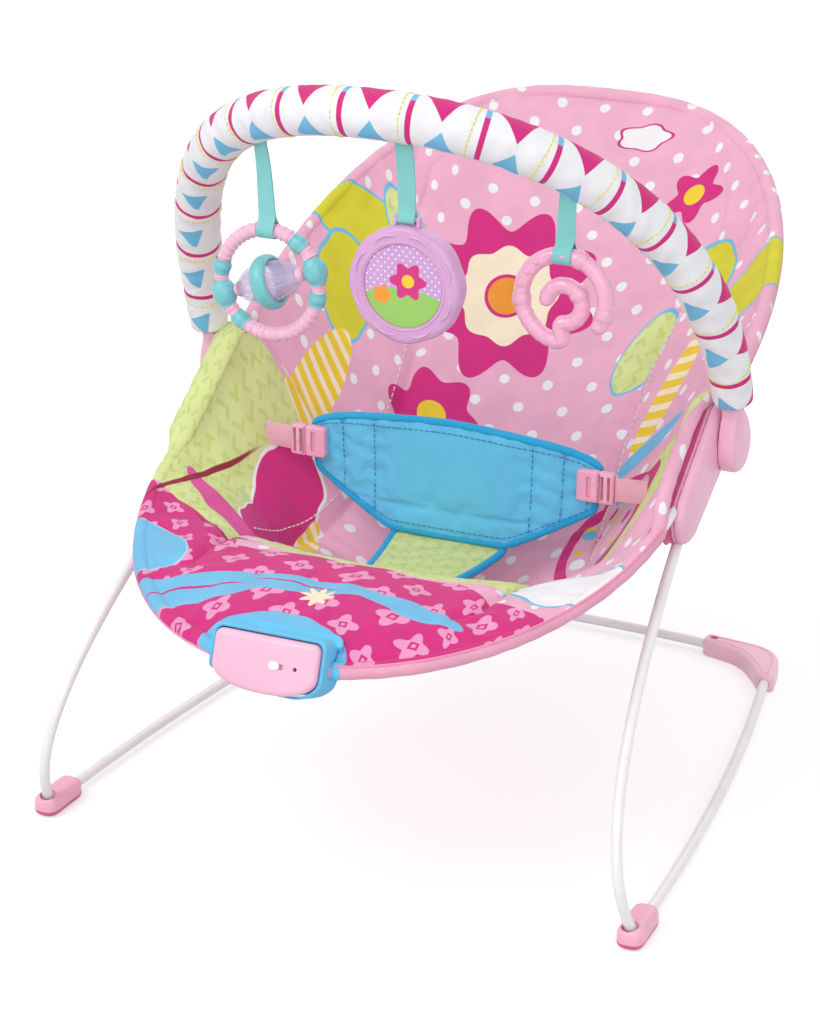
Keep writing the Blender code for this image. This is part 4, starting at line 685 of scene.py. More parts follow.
def write_moulded(nodes: Nodes, given: dict[str, Any]) -> dict[str, Any]:
    """Write a moulded surface: fine grain, faint flow marks and paler worn edges.

    Args:
        nodes: Writer of the group.
        given: Its inputs.

    Returns:
        Colour, roughness and height.
    """
    grain = nodes.noise(given["Vector"], 1400.0, 2.0)
    flow = nodes.noise(given["Vector"], 28.0, 3.0)
    rub = nodes.noise(given["Vector"], 160.0, 3.0)
    point = nodes.add("ShaderNodeNewGeometry").outputs["Pointiness"]
    edge = nodes.math("MULTIPLY", nodes.ramp(point, 0.52, 0.62), nodes.ramp(rub, 0.35, 0.65))
    worn = nodes.math("MULTIPLY", edge, given["Wear"])
    dark = nodes.vector("SCALE", given["Colour"], 0.94)
    toned = nodes.mix(nodes.ramp(flow, 0.3, 0.7), dark, given["Colour"])
    rough = nodes.math("MULTIPLY_ADD", nodes.ramp(rub, 0.3, 0.7), 0.10, given["Roughness"])
    height = nodes.math("MULTIPLY_ADD", flow, 3.0, grain)
    return {"Colour": nodes.mix(worn, toned, (0.93, 0.90, 0.90)),
            "Roughness": nodes.math("MULTIPLY_ADD", worn, 0.2, rough), "Height": height}


def write_lattice(nodes: Nodes, given: dict[str, Any]) -> dict[str, Any]:
    """Write staggered cells: each point gets its offset from the nearest cell's centre.

    Args:
        nodes: Writer of the group.
        given: Its inputs.

    Returns:
        The offset in metres.
    """
    cells = nodes.vector("DIVIDE", given["Vector"], given["Pitch"])
    offsets = []
    for lead in ((0.5, 0.5, 0.0), (0.0, 0.0, 0.0)):
        share = nodes.vector("FRACTION", nodes.vector("ADD", cells, lead))
        centred = nodes.vector("SUBTRACT", share, (0.5, 0.5, 0.0))
        offsets.append(nodes.vector("MULTIPLY", centred, given["Pitch"]))
    near = nodes.math("LESS_THAN", nodes.vector("LENGTH", offsets[0]), nodes.vector("LENGTH", offsets[1]))
    return {"Offset": nodes.add("ShaderNodeMix", {0: near, 4: offsets[1], 5: offsets[0]},
                                data_type="VECTOR").outputs[1]}


def write_patch(nodes: Nodes, given: dict[str, Any]) -> dict[str, Any]:
    """Write one printed shape with an outline: an oval, or a flower where it has petals.

    Args:
        nodes: Writer of the group.
        given: Its inputs.

    Returns:
        The colour with the shape laid on it.
    """
    wander = nodes.math("MULTIPLY", nodes.noise(given["Vector"], 26.0, 1.0), given["Wobble"])
    place = nodes.vector("ADD", nodes.vector("SUBTRACT", given["Vector"], given["Centre"]), wander)
    x, y, _ = nodes.parts(nodes.vector("DIVIDE", nodes.turned(place, given["Turn"]), given["Radii"]))
    radial = nodes.math("SQRT", nodes.math("MULTIPLY_ADD", x, x, nodes.math("MULTIPLY", y, y)))
    wave = nodes.math("COSINE", nodes.math("MULTIPLY", nodes.math("ARCTAN2", y, x), given["Petals"]))
    dip = nodes.math("MULTIPLY", nodes.math("SUBTRACT", 1.0, wave), given["Dip"])
    reach = nodes.math("DIVIDE", radial, nodes.math("SUBTRACT", 1.0, dip))
    size = nodes.math("MINIMUM", *nodes.parts(given["Radii"])[:2])
    outside = nodes.math("MULTIPLY", nodes.math("SUBTRACT", reach, 1.0), size)
    filled = nodes.ramp(outside, 0.0003, -0.0003)
    lined = nodes.math("SUBTRACT", nodes.math("ABSOLUTE", outside), given["Line Width"])
    under = nodes.mix(filled, given["Under"], given["Fill"])
    return {"Colour": nodes.mix(nodes.ramp(lined, 0.0003, -0.0003), under, given["Line"])}


VECTOR_IN = ("Vector", (0.0, 0.0, 0.0))
COLOUR_IN = ("Colour", (1.0, 1.0, 1.0, 1.0))
WEAVE_AND_SHADE = Effect("cloth_weave_and_shade", (COLOUR_IN, VECTOR_IN, ("Thread", 0.0007), ("Crease", 1.0)),
               (("Colour", "Color"), ("Height", "Float")), write_weave_and_shade)
MOULDED = Effect("moulded_surface", (COLOUR_IN, VECTOR_IN, ("Roughness", 0.4), ("Wear", 0.2)),
                 (("Colour", "Color"), ("Roughness", "Float"), ("Height", "Float")), write_moulded)
LATTICE = Effect("staggered_lattice", (VECTOR_IN, ("Pitch", (0.03, 0.03, 1.0))),
                 (("Offset", "Vector"),), write_lattice)
PATCH = Effect("printed_patch", (VECTOR_IN, ("Centre", (0.0, 0.0, 0.0)), ("Radii", (0.1, 0.1, 1.0)),
                                 ("Turn", 0.0), ("Petals", 0.0), ("Dip", 0.0), ("Wobble", 0.0),
                                 ("Line Width", 0.0), ("Under", (1.0, 1.0, 1.0, 1.0)),
                                 ("Fill", (1.0, 1.0, 1.0, 1.0)), ("Line", (1.0, 1.0, 1.0, 1.0))),
               (("Colour", "Color"),), write_patch)


# Finishes
def tint(red: int, green: int, blue: int) -> Colour:
    """Return a screen colour, 0 to 255 in each part, as scene-linear values."""
    return tuple(c / 3294.6 if c <= 10 else ((c / 255 + 0.055) / 1.055) ** 2.4 for c in (red, green, blue))


PINK = tint(240, 178, 204)
MAGENTA = tint(214, 38, 128)
SKY = tint(116, 192, 232)
HARNESS_BLUE = tint(104, 202, 246)
PIPING_BLUE = tint(28, 170, 226)
LIME = tint(218, 212, 48)
PALE_GREEN = tint(220, 230, 156)
HATCH_GREEN = tint(206, 220, 132)
YELLOW = tint(246, 208, 48)
CREAM = tint(252, 236, 208)
WHITE = tint(244, 242, 244)
ORANGE = tint(240, 152, 48)
PETAL_PINK = tint(240, 156, 200)
PLUM = tint(150, 28, 60)


class Kind(Enum):
    """What a surface is made of."""

    MOULDED = "moulded"
    CLEAR = "clear"
    ENAMEL = "enamel"
    METAL = "metal"
    CLOTH = "cloth"


SURFACES = {
    Kind.MOULDED: {"Coat Weight": 0.12, "Coat Roughness": 0.12},
    Kind.CLEAR: {"Coat Weight": 1.0, "Coat Roughness": 0.05, "Subsurface Weight": 0.25,
                 "Subsurface Radius": (0.02, 0.01, 0.012)},
    Kind.ENAMEL: {"Coat Weight": 0.5, "Coat Roughness": 0.12},
    Kind.METAL: {"Metallic": 1.0},
    Kind.CLOTH: {"Sheen Weight": 0.12, "Sheen Roughness": 0.4},
}


@dataclass(frozen=True)
class Finish:
    """One finish: a colour on a kind of surface."""

    name: str
    colour: Colour
    kind: Kind = Kind.MOULDED
    roughness: float = 0.36
    bump: float = 0.12
    wear: float = 0.25
    thread: float = 0.0008
    crease: float = 2.0
    on_uv: bool = False
    alpha: float = 1.0

    def material(self) -> bpy.types.Material:
        """Return the material, built on first use."""
        found = bpy.data.materials.get("look_" + self.name)
        if found:
            return found
        material = bpy.data.materials.new("look_" + self.name)
        material.use_nodes = True
        material.diffuse_color = (*self.colour, 1.0)
        nodes = Nodes(material.node_tree)
        sockets = material.node_tree.nodes["Principled BSDF"].inputs
        source = "ShaderNodeUVMap" if self.on_uv else "ShaderNodeTexCoord"
        place = nodes.add(source).outputs["UV" if self.on_uv else "Object"]
        values = {"Colour": self.paint(nodes, place), "Vector": place}
        if self.kind is Kind.CLOTH:
            made = nodes.place(WEAVE_AND_SHADE, {**values, "Thread": self.thread, "Crease": self.crease})
            nodes.put(sockets["Roughness"], self.roughness)
        else:
            made = nodes.place(MOULDED, {**values, "Wear": self.wear, "Roughness": self.roughness})
            nodes.put(sockets["Roughness"], made.outputs["Roughness"])
        nodes.put(sockets["Base Color"], made.outputs["Colour"])
        height = {"Height": made.outputs["Height"], "Strength": self.bump,
                  "Distance": CLOTH_BUMP if self.kind is Kind.CLOTH else MOULDED_BUMP}
        nodes.put(sockets["Normal"], nodes.add("ShaderNodeBump", height).outputs[0])
        for key, value in SURFACES[self.kind].items():
            sockets[key].default_value = value
        if self.kind is Kind.CLEAR:
            sockets["Alpha"].default_value = self.alpha
        return material

    def paint(self, nodes: Nodes, place: bpy.types.NodeSocket) -> Any:
        """Return the colour before weave or grain; a print overrides it and uses both arguments."""
        return self.colour


class Motif(Enum):
    """What fills a printed shape."""

    PLAIN = "plain"
    DOTS = "dots"
    SPECKS = "specks"
    HATCH = "hatch"
    FLOWERS = "flowers"
    STRIPES = "stripes"
    BUBBLES = "bubbles"


@dataclass(frozen=True)
class Patch:
    """One printed shape on the cloth: an oval, or a flower where it has petals."""

    centre: tuple[float, float]
    radii: tuple[float, float]
    fill: Colour = MAGENTA
    motif: Motif = Motif.PLAIN
    turn: float = 0.0
    line: Colour = SKY
    width: float = 0.0
    petals: int = 0
    dip: float = 0.0
    wobble: float = 0.0


@dataclass(frozen=True)
class Print(Finish):
    """A printed cloth: shapes laid over a ground."""

    patches: tuple[Patch, ...] = ()
    ground: Motif = Motif.DOTS
    dots: tuple[Pitch, float] = ((0.040, 0.048, 1.0), 0.0050)
    specks: tuple[Pitch, float] = ((0.0058, 0.0066, 1.0), 0.0008)
    strokes: Pitch = (0.030, 0.016, 1.0)
    blossoms: Pitch = (0.050, 0.046, 1.0)
    bubbles: float = 62.0
    even_half: float = 0.11
    spread: float = 0.55

    def motif(self, nodes: Nodes, place: Any, kind: Motif, fill: Colour) -> Any:
        """Return the colour of a motif.

        Args:
            nodes: Writer of the material.
            place: The cloth's own coordinates in metres.
            kind: Which motif.
            fill: Its ground colour.

        Returns:
            A colour or a colour socket.
        """
        if kind is Motif.PLAIN:
            return fill
        if kind in (Motif.DOTS, Motif.SPECKS):
            pitch, reach = self.dots if kind is Motif.DOTS else self.specks
            offset = nodes.place(LATTICE, {"Vector": place, "Pitch": pitch}).outputs[0]
            dot = nodes.ramp(nodes.vector("LENGTH", offset), reach, reach * 0.86)
            return nodes.mix(dot, fill, WHITE)
        if kind is Motif.STRIPES:
            slope = nodes.vector("DOT_PRODUCT", place, (22.0, 64.0, 0.0))
            band = nodes.ramp(nodes.math("PINGPONG", slope, 0.5), 0.27, 0.30)
            return nodes.mix(band, fill, CREAM)
        if kind is Motif.HATCH:
            return self.hatch(nodes, place, fill)
        if kind is Motif.FLOWERS:
            return self.flowers(nodes, place, fill)
        values = {"Vector": place, "Scale": self.bubbles, "Randomness": 0.7}
        cells = nodes.add("ShaderNodeTexVoronoi", values).outputs
        pick = nodes.parts(cells["Color"])[0]
        shade = YELLOW
        for share, colour in ((0.30, SKY), (0.55, WHITE), (0.78, MAGENTA)):
            shade = nodes.mix(nodes.math("GREATER_THAN", pick, share), shade, colour)
        far = nodes.math("DIVIDE", cells["Distance"], self.bubbles)
        return nodes.mix(nodes.ramp(far, 0.0062, 0.0056), fill, shade)

    def hatch(self, nodes: Nodes, place: Any, fill: Colour) -> bpy.types.NodeSocket:
        """Return short strokes that lie two ways on a pale ground."""
        colour = fill
        for turn, lead in ((1.05, (0.0, 0.0, 0.0)), (-0.75, (0.008, 0.005, 0.0))):
            laid = nodes.turned(nodes.vector("ADD", place, lead), turn)
            x, y, _ = nodes.parts(nodes.place(LATTICE, {"Vector": laid, "Pitch": self.strokes}).outputs[0])
            stroke = nodes.ramp(nodes.math("ABSOLUTE", x), 0.0052, 0.0042)
            thin = nodes.ramp(nodes.math("ABSOLUTE", y), 0.0020, 0.0014)
            colour = nodes.mix(nodes.math("MULTIPLY", stroke, thin), colour, HATCH_GREEN)
        return colour

    def flowers(self, nodes: Nodes, place: Any, fill: Colour) -> bpy.types.NodeSocket:
        """Return scattered flowers of four petals with square centres."""
        wander = nodes.noise(place, 18.0, 0.0)
        swayed = nodes.vector("ADD", place, nodes.vector("SCALE", (0.02, 0.016, 0.0), wander))
        cell = nodes.place(LATTICE, {"Vector": swayed, "Pitch": self.blossoms}).outputs[0]
        x, y, _ = nodes.parts(cell)
        wave = nodes.math("COSINE", nodes.math("MULTIPLY", nodes.math("ARCTAN2", y, x), 4.0))
        reach = nodes.math("MULTIPLY_ADD", wave, 0.0026, 0.0098)
        far = nodes.math("SUBTRACT", nodes.vector("LENGTH", cell), reach)
        petals = nodes.mix(nodes.ramp(far, 0.0004, -0.0004), fill, PETAL_PINK)
        square = nodes.math("MAXIMUM", nodes.math("ABSOLUTE", x), nodes.math("ABSOLUTE", y))
        eye = nodes.mix(nodes.ramp(square, 0.0036, 0.0030), petals, fill)
        return nodes.mix(nodes.ramp(square, 0.0017, 0.0012), eye, PETAL_PINK)

    def paint(self, nodes: Nodes, place: bpy.types.NodeSocket) -> Any:
        """Lay every shape over the ground, in order."""
        far, along, _ = nodes.parts(place)
        past = nodes.math("MAXIMUM", nodes.math("SUBTRACT", nodes.math("ABSOLUTE", far), self.even_half), 0.0)
        past = nodes.math("MULTIPLY", nodes.math("MULTIPLY", past, nodes.math("SIGN", far)), self.spread)
        evened = nodes.add("ShaderNodeCombineXYZ", {0: nodes.math("ADD", far, past), 1: along}).outputs[0]
        colour = self.motif(nodes, evened, self.ground, self.colour)
        ready: dict[tuple[Motif, Colour], Any] = {}
        for patch in self.patches:
            key = (patch.motif, patch.fill)
            if key not in ready:
                ready[key] = self.motif(nodes, evened, *key)
            values = {"Vector": place, "Centre": (*patch.centre, 0.0), "Radii": (*patch.radii, 1.0),
                      "Turn": math.radians(patch.turn), "Petals": float(patch.petals), "Dip": patch.dip,
                      "Wobble": patch.wobble, "Line Width": patch.width if patch.width else -1.0,
                      "Under": colour, "Fill": ready[key], "Line": patch.line}
            colour = nodes.place(PATCH, values).outputs[0]
        return colour


BAR_PITCH = 0.051
BAR_PHASE = 0.456


@dataclass(frozen=True)
class BarPrint(Finish):
    """The toy bar's print: triangles above, leaning squares below and thin bands between.

    Places along the bar are shares of the pitch, and places round it are shares of the girth.
    """

    girth: float = 0.116
    tip_middle: float = 0.676
    tip_lean: float = -0.21
    tip_top: float = 0.598
    tip_spread: float = 1.30
    tip_foot: tuple[float, float] = (0.364, 0.370)
    square_middle: float = 0.554
    square_half: tuple[float, float] = (0.218, 0.206)
    crest_at: float = 0.528
    crest: float = 0.660
    crest_slopes: tuple[float, float] = (0.51, -0.89)
    foot: float = 0.834
    foot_slope: float = -0.10
    band_half: tuple[float, float] = (0.044, 0.036)
    tab: tuple[float, float] = (0.490, 0.480)

    def paint(self, nodes: Nodes, place: bpy.types.NodeSocket) -> Any:
        """Lay the bar's shapes on white, by distance along it and round it."""
        around, along, _ = nodes.parts(place)
        cell = nodes.math("FRACT", nodes.math("ADD", nodes.math("DIVIDE", along, BAR_PITCH), BAR_PHASE))
        turn = nodes.math("FRACT", nodes.math("DIVIDE", around, self.girth))
        middle = nodes.math("MULTIPLY_ADD", turn, self.tip_lean, self.tip_middle)
        half = nodes.math("MULTIPLY", nodes.math("SUBTRACT", self.tip_top, turn), self.tip_spread)
        side = nodes.math("ABSOLUTE", nodes.math("SUBTRACT", cell, middle))
        tip = nodes.ramp(nodes.math("SUBTRACT", side, half), 0.008, -0.008)
        tip = nodes.math("MULTIPLY", tip, nodes.ramp(turn, *self.tip_foot))
        colour = nodes.mix(tip, self.colour, MAGENTA)
        side = nodes.math("ABSOLUTE", nodes.math("SUBTRACT", cell, self.square_middle))
        wide = nodes.ramp(side, *self.square_half)
        past = nodes.math("SUBTRACT", cell, self.crest_at)
        crest = nodes.math("MAXIMUM", *[nodes.math("MULTIPLY", past, slope) for slope in self.crest_slopes])
        crest = nodes.math("ADD", crest, self.crest)
        foot = nodes.math("MULTIPLY_ADD", past, self.foot_slope, self.foot)
        high = nodes.math("MULTIPLY", nodes.ramp(nodes.math("SUBTRACT", turn, crest), -0.004, 0.004),
                          nodes.ramp(nodes.math("SUBTRACT", turn, foot), 0.004, -0.004))
        colour = nodes.mix(nodes.math("MULTIPLY", wide, high), colour, SKY)
        band = nodes.ramp(nodes.math("PINGPONG", cell, 0.5), *self.band_half)
        tab = nodes.mix(nodes.ramp(turn, *self.tab), MAGENTA, SKY)
        return nodes.mix(band, colour, tab)


PAINT_WHITE = Finish("white_paint", tint(240, 238, 241), Kind.ENAMEL, 0.28, 0.05, 0.0)
PINK_PLASTIC = Finish("pink_moulding", tint(238, 158, 188), roughness=0.34)
SHOE_PLASTIC = Finish("shoe_moulding", tint(244, 176, 199), roughness=0.28)
BRACKET_PLASTIC = Finish("bracket_moulding", tint(248, 200, 218), roughness=0.30)
HUB_PLASTIC = Finish("hub_moulding", tint(240, 180, 206), roughness=0.34)
PALE_PLASTIC = Finish("pale_moulding", tint(242, 186, 212), roughness=0.32)
BUCKLE_PLASTIC = Finish("buckle_moulding", tint(240, 168, 200), roughness=0.34)
# Deep pink of the hubs' inner shells; also the painted shade band round the foot shoes' lower edge.
DEEP_PINK_AND_SHADE_PLASTIC = Finish("deep_moulding", tint(214, 84, 138), roughness=0.38)
# Deep pink of the corner screws; also the painted shade line round the hub covers.
SCREW_AND_GROOVE_SHADE_PLASTIC = Finish("screw_and_groove_shade_moulding", tint(196, 74, 128), roughness=0.45)
WHITE_PLASTIC = Finish("white_plastic", tint(246, 243, 244), roughness=0.30)
TEAL_PLASTIC = Finish("teal_plastic", tint(116, 196, 202), roughness=0.26)
LILAC_PLASTIC = Finish("lilac_plastic", tint(214, 162, 208), roughness=0.34)
CLEAR_VIOLET = Finish("clear_violet", tint(222, 210, 244), Kind.CLEAR, 0.12, 0.05, 0.0, alpha=0.30)
CLEAR_PINK = Finish("clear_pink", tint(250, 184, 214), Kind.CLEAR, 0.20, 0.06, 0.0, alpha=0.84)
ORANGE_BEAD = Finish("orange_bead", tint(244, 148, 44), roughness=0.25)
STEEL = Finish("steel", (0.60, 0.60, 0.62), Kind.METAL, 0.28, 0.05, 0.0)
CELL_JACKET = Finish("cell_jacket", (0.03, 0.03, 0.035), roughness=0.35)
PINK_CLOTH = Finish("pink_cloth", tint(238, 168, 196), Kind.CLOTH, 0.85, 0.35)
PIPING_PINK = Finish("pink_piping", tint(240, 150, 182), Kind.CLOTH, 0.82, 0.3)
LINING = Finish("lining_cloth", tint(232, 160, 188), Kind.CLOTH, 0.88, 0.35)
WEBBING = Finish("pink_webbing", tint(244, 182, 208), Kind.CLOTH, 0.85, 0.6, thread=0.0016, crease=0.5)
BLUE_CLOTH = Finish("blue_cloth", HARNESS_BLUE, Kind.CLOTH, 0.82, 0.45, crease=3.0)
BLUE_BINDING = Finish("blue_binding", PIPING_BLUE, Kind.CLOTH, 0.80, 0.4)
TEAL_RIBBON = Finish("teal_ribbon", tint(132, 206, 204), Kind.CLOTH, 0.75, 0.5, thread=0.0011, crease=0.6)
THREAD_WHITE = Finish("white_thread", tint(246, 244, 240), Kind.CLOTH, 0.8, 0.2, thread=0.0004)
THREAD_BLUE = Finish("blue_thread", tint(24, 140, 200), Kind.CLOTH, 0.8, 0.2, thread=0.0004)
THREAD_LIME = Finish("lime_thread", tint(236, 226, 60), Kind.CLOTH, 0.8, 0.2, thread=0.0004)
THREAD_TEAL = Finish("teal_thread", tint(80, 168, 160), Kind.CLOTH, 0.8, 0.2, thread=0.0004)

PAD_PATCHES = (
    Patch((-0.178, 0.612), (0.022, 0.044), LIME, turn=34, line=SKY, width=0.0010, wobble=0.01),
    Patch((-0.132, 0.640), (0.020, 0.042), PALE_GREEN, Motif.HATCH, -38, SKY, 0.0008, wobble=0.01),
    Patch((-0.166, 0.548), (0.024, 0.046), LIME, turn=-8, line=SKY, width=0.0010, wobble=0.01),
    Patch((0.150, 0.640), (0.019, 0.038), LIME, turn=-20, line=SKY, width=0.0010, wobble=0.01),
    Patch((0.200, 0.585), (0.030, 0.042), LIME, turn=24, line=SKY, width=0.0010, wobble=0.01),
    Patch((0.104, 0.585), (0.018, 0.040), PALE_GREEN, Motif.HATCH, 22, SKY, 0.0008, wobble=0.01),
    Patch((-0.163, 0.440), (0.015, 0.070), YELLOW, Motif.STRIPES, 4),
    Patch((0.139, 0.515), (0.012, 0.058), YELLOW, Motif.STRIPES, 16),
    Patch((-0.040, 0.628), (0.084, 0.084), MAGENTA, petals=8, dip=0.14, turn=10),
    Patch((-0.040, 0.628), (0.047, 0.047), CREAM, petals=8, dip=0.06, turn=32),
    Patch((-0.040, 0.628), (0.019, 0.019), ORANGE, line=MAGENTA, width=0.0016),
    Patch((-0.072, 0.500), (0.044, 0.044), MAGENTA, petals=6, dip=0.13),
    Patch((-0.072, 0.500), (0.013, 0.013), YELLOW),
    Patch((0.044, 0.790), (0.026, 0.013), WHITE, petals=5, dip=0.10, line=MAGENTA, width=0.0008),
    Patch((0.104, 0.728), (0.027, 0.027), MAGENTA, petals=5, dip=0.20, turn=14),
    Patch((0.104, 0.728), (0.009, 0.009), YELLOW),
    Patch((0.072, 0.690), (0.012, 0.012), SKY, petals=4, dip=0.16),
    Patch((-0.172, 0.275), (0.066, 0.125), PALE_GREEN, Motif.HATCH, -6, wobble=0.012),
    Patch((-0.128, 0.300), (0.024, 0.090), MAGENTA, turn=-10, line=WHITE, width=0.0009, wobble=0.014),
    Patch((-0.104, 0.286), (0.008, 0.062), YELLOW, Motif.STRIPES, -10, wobble=0.012),
    Patch((0.172, 0.372), (0.040, 0.072), PALE_GREEN, Motif.HATCH, 8, wobble=0.01),
    Patch((0.128, 0.372), (0.038, 0.056), PINK, Motif.BUBBLES, -10, line=MAGENTA, width=0.0044),
    Patch((0.136, 0.458), (0.030, 0.011), SKY, turn=-20),
    Patch((0.030, 0.190), (0.130, 0.050), PALE_GREEN, Motif.HATCH, wobble=0.012),
    Patch((0.000, 0.006), (0.300, 0.142), MAGENTA, Motif.FLOWERS, 2, wobble=0.020),
    Patch((-0.190, 0.138), (0.090, 0.056), MAGENTA, Motif.FLOWERS, 8),
    Patch((-0.152, 0.226), (0.044, 0.014), tint(230, 80, 160), turn=24),
    Patch((-0.186, 0.240), (0.0018, 0.086), PLUM, turn=10),
    Patch((-0.128, 0.170), (0.036, 0.0020), PLUM, turn=24),
    Patch((0.168, 0.158), (0.050, 0.036), WHITE, petals=7, dip=0.06, line=SKY, width=0.0016),
    Patch((-0.178, 0.105), (0.050, 0.034), SKY, turn=6, line=tint(170, 214, 240), width=0.0006),
    Patch((-0.112, 0.056), (0.084, 0.020), SKY, turn=-16, wobble=0.01),
    Patch((-0.030, 0.080), (0.078, 0.013), SKY, turn=-6, wobble=0.01),
    Patch((0.074, 0.082), (0.050, 0.009), SKY, turn=8, wobble=0.01),
    Patch((-0.092, 0.064), (0.040, 0.0014), MAGENTA, turn=-18, wobble=0.01),
    Patch((-0.016, 0.083), (0.036, 0.0012), MAGENTA, turn=-2, wobble=0.01),
    Patch((0.002, 0.006), (0.060, 0.036), SKY, wobble=0.01),
    Patch((0.004, 0.066), (0.014, 0.014), CREAM, petals=8, dip=0.24),
)
SEAT_PRINT = Print("seat_print", PINK, Kind.CLOTH, 0.84, 0.40, crease=3.0, on_uv=True, patches=PAD_PATCHES)
FLAP_PRINT = Print("green_cloth", PALE_GREEN, Kind.CLOTH, 0.85, 0.40, on_uv=True, ground=Motif.HATCH)
BAR_CLOTH = BarPrint("bar_cloth", tint(243, 243, 247), Kind.CLOTH, 0.86, 0.4, crease=3.0, on_uv=True)
CARD_PATCHES = (
    Patch((0.0, -0.024), (0.046, 0.022), tint(150, 200, 96)),
    Patch((0.004, 0.004), (0.015, 0.015), MAGENTA, petals=6, dip=0.16),
    Patch((0.004, 0.004), (0.005, 0.005), YELLOW),
    Patch((-0.017, -0.008), (0.008, 0.008), ORANGE, petals=5, dip=0.16),
)
PICTURE_CARD = Print("picture_card", tint(206, 160, 214), roughness=0.4, wear=0.0, on_uv=True,
                     patches=CARD_PATCHES, ground=Motif.SPECKS)


# Repeats made by geometry nodes
class Laid(Enum):
    """What a run lays along its path."""

    STITCH = "stitch"
    HOOP = "hoop"
    STUD = "stud"


@dataclass(frozen=True)
class Run:
    """A geometry node tree that lays small shapes along a path at an even pitch."""

    laid: Laid

    def tree(self) -> bpy.types.NodeTree:
        """Return the tree, built on first use."""
        found = bpy.data.node_groups.get("run_of_" + self.laid.value)
        if found:
            return found
        sizes = (("Pitch", 0.004), ("Length", 0.0026), ("Radius", 0.0004), ("Size", 0.005))
        inputs = [("Path", "Geometry", None), *[(name, "Float", value) for name, value in sizes],
                  ("Finish", "Material", None)]
        tree = fresh_tree("run_of_" + self.laid.value, "GeometryNodeTree", inputs, [("Shapes", "Geometry")])
        nodes = Nodes(tree)
        given = nodes.add("NodeGroupInput").outputs
        curve = nodes.add("GeometryNodeMeshToCurve", {0: given["Path"]}).outputs[0]
        step = {"Curve": curve, "Length": given["Pitch"]}
        walk = nodes.add("GeometryNodeResampleCurve", step, mode="LENGTH")
        tangent = nodes.add("GeometryNodeInputTangent").outputs[0]
        turn = nodes.add("FunctionNodeAlignRotationToVector", {"Vector": tangent}, axis="Z").outputs[0]
        copies = {"Points": walk.outputs[0], "Instance": self.shape(nodes, given), "Rotation": turn}
        nodes.close(nodes.add("GeometryNodeInstanceOnPoints", copies).outputs[0], given["Finish"])
        return tree

    def shape(self, nodes: Nodes, given: Any) -> bpy.types.NodeSocket:
        """Return the shape that is laid: a thread, a hoop or a round stud."""
        if self.laid is Laid.STITCH:
            values = {"Vertices": 6, "Side Segments": 1, "Radius": given["Radius"], "Depth": given["Length"]}
            return nodes.add("GeometryNodeMeshCylinder", values).outputs[0]
        if self.laid is Laid.STUD:
            values = {"Radius": given["Radius"], "Subdivisions": 2}
            return nodes.add("GeometryNodeMeshIcoSphere", values).outputs[0]
        circles = [nodes.add("GeometryNodeCurvePrimitiveCircle", {"Resolution": sides, "Radius": given[size]})
                   for sides, size in ((18, "Size"), (5, "Radius"))]
        return nodes.add("GeometryNodeCurveToMesh", {k: circles[k].outputs[0] for k in (0, 1)}).outputs[0]

    def along(self, name: str, path: Array, finish: Finish, loop: bool = False,
              **sizes: float) -> bpy.types.Object:
        """Lay the shapes along a path.

        Args:
            name: Name of the piece.
            path: Points of the path in the model frame.
            finish: Its finish.
            loop: Whether the path is closed.
            sizes: Pitch, length, radius and size, by name.

        Returns:
            The plain mesh object.
        """
        values = {key.capitalize(): value for key, value in sizes.items()}
        values["Finish"] = finish.material()
        return grown(name, polyline(name, path, loop), self.tree(), values)


def polyline(name: str, path: Array, loop: bool = False) -> bpy.types.Mesh:
    """Return a mesh of edges along a path of the model frame."""
    count = len(path)
    edges = [(k, (k + 1) % count) for k in range(count - (not loop))]
    mesh = bpy.data.meshes.new(name)
    mesh.from_pydata((np.asarray(path) + SHIFT).tolist(), edges, [])
    return mesh


def grown(name: str, mesh: bpy.types.Mesh, tree: bpy.types.NodeTree,
          values: dict[str, Any]) -> bpy.types.Object:
    """Run a geometry node tree on a mesh and keep the result as a plain mesh.

    Args:
        name: Name of the piece.
        mesh: The mesh that the tree starts from.
        tree: The tree.
        values: Its inputs by name.

    Returns:
        The object.
    """
    piece = linked(name, mesh)
    grow = piece.modifiers.new("grow", "NODES")
    grow.node_group = tree
    for item in tree.interface.items_tree:
        if item.item_type == "SOCKET" and item.in_out == "INPUT" and item.name in values:
            grow[item.identifier] = values[item.name]
    return baked(piece)


def wire_tree() -> bpy.types.NodeTree:
    """Return the tree that makes bent round wire along a path, built on first use."""
    found = bpy.data.node_groups.get("bent_wire")
    if found:
        return found
    inputs = [("Path", "Geometry", None), ("Radius", "Float", TUBE_R), ("Sides", "Int", 24),
              ("Finish", "Material", None)]
    tree = fresh_tree("bent_wire", "GeometryNodeTree", inputs, [("Wire", "Geometry")])
    nodes = Nodes(tree)
    given = nodes.add("NodeGroupInput").outputs
    curve = nodes.add("GeometryNodeMeshToCurve", {0: given["Path"]}).outputs[0]
    values = {"Resolution": given["Sides"], "Radius": given["Radius"]}
    round_curve = nodes.add("GeometryNodeCurvePrimitiveCircle", values).outputs[0]
    tube = nodes.add("GeometryNodeCurveToMesh", {0: curve, 1: round_curve, "Fill Caps": True}).outputs[0]
    nodes.close(tube, given["Finish"])
    return tree


def wire(name: str, path: Array, finish: Finish, radius: float = TUBE_R, sides: int = 24) -> bpy.types.Object:
    """Make bent round wire along a path.

    Args:
        name: Name of the piece.
        path: Points of the path.
        finish: Its finish.
        radius: Radius of the wire.
        sides: Number of sides.

    Returns:
        The object, with sharp cut ends.
    """
    values = {"Radius": radius, "Sides": sides, "Finish": finish.material()}
    piece = grown(name, polyline(name, path), wire_tree(), values)
    piece.data.set_sharp_from_angle(angle=math.radians(50))
    return piece


STITCHES = Run(Laid.STITCH)
HOOPS = Run(Laid.HOOP)
STUDS = Run(Laid.STUD)


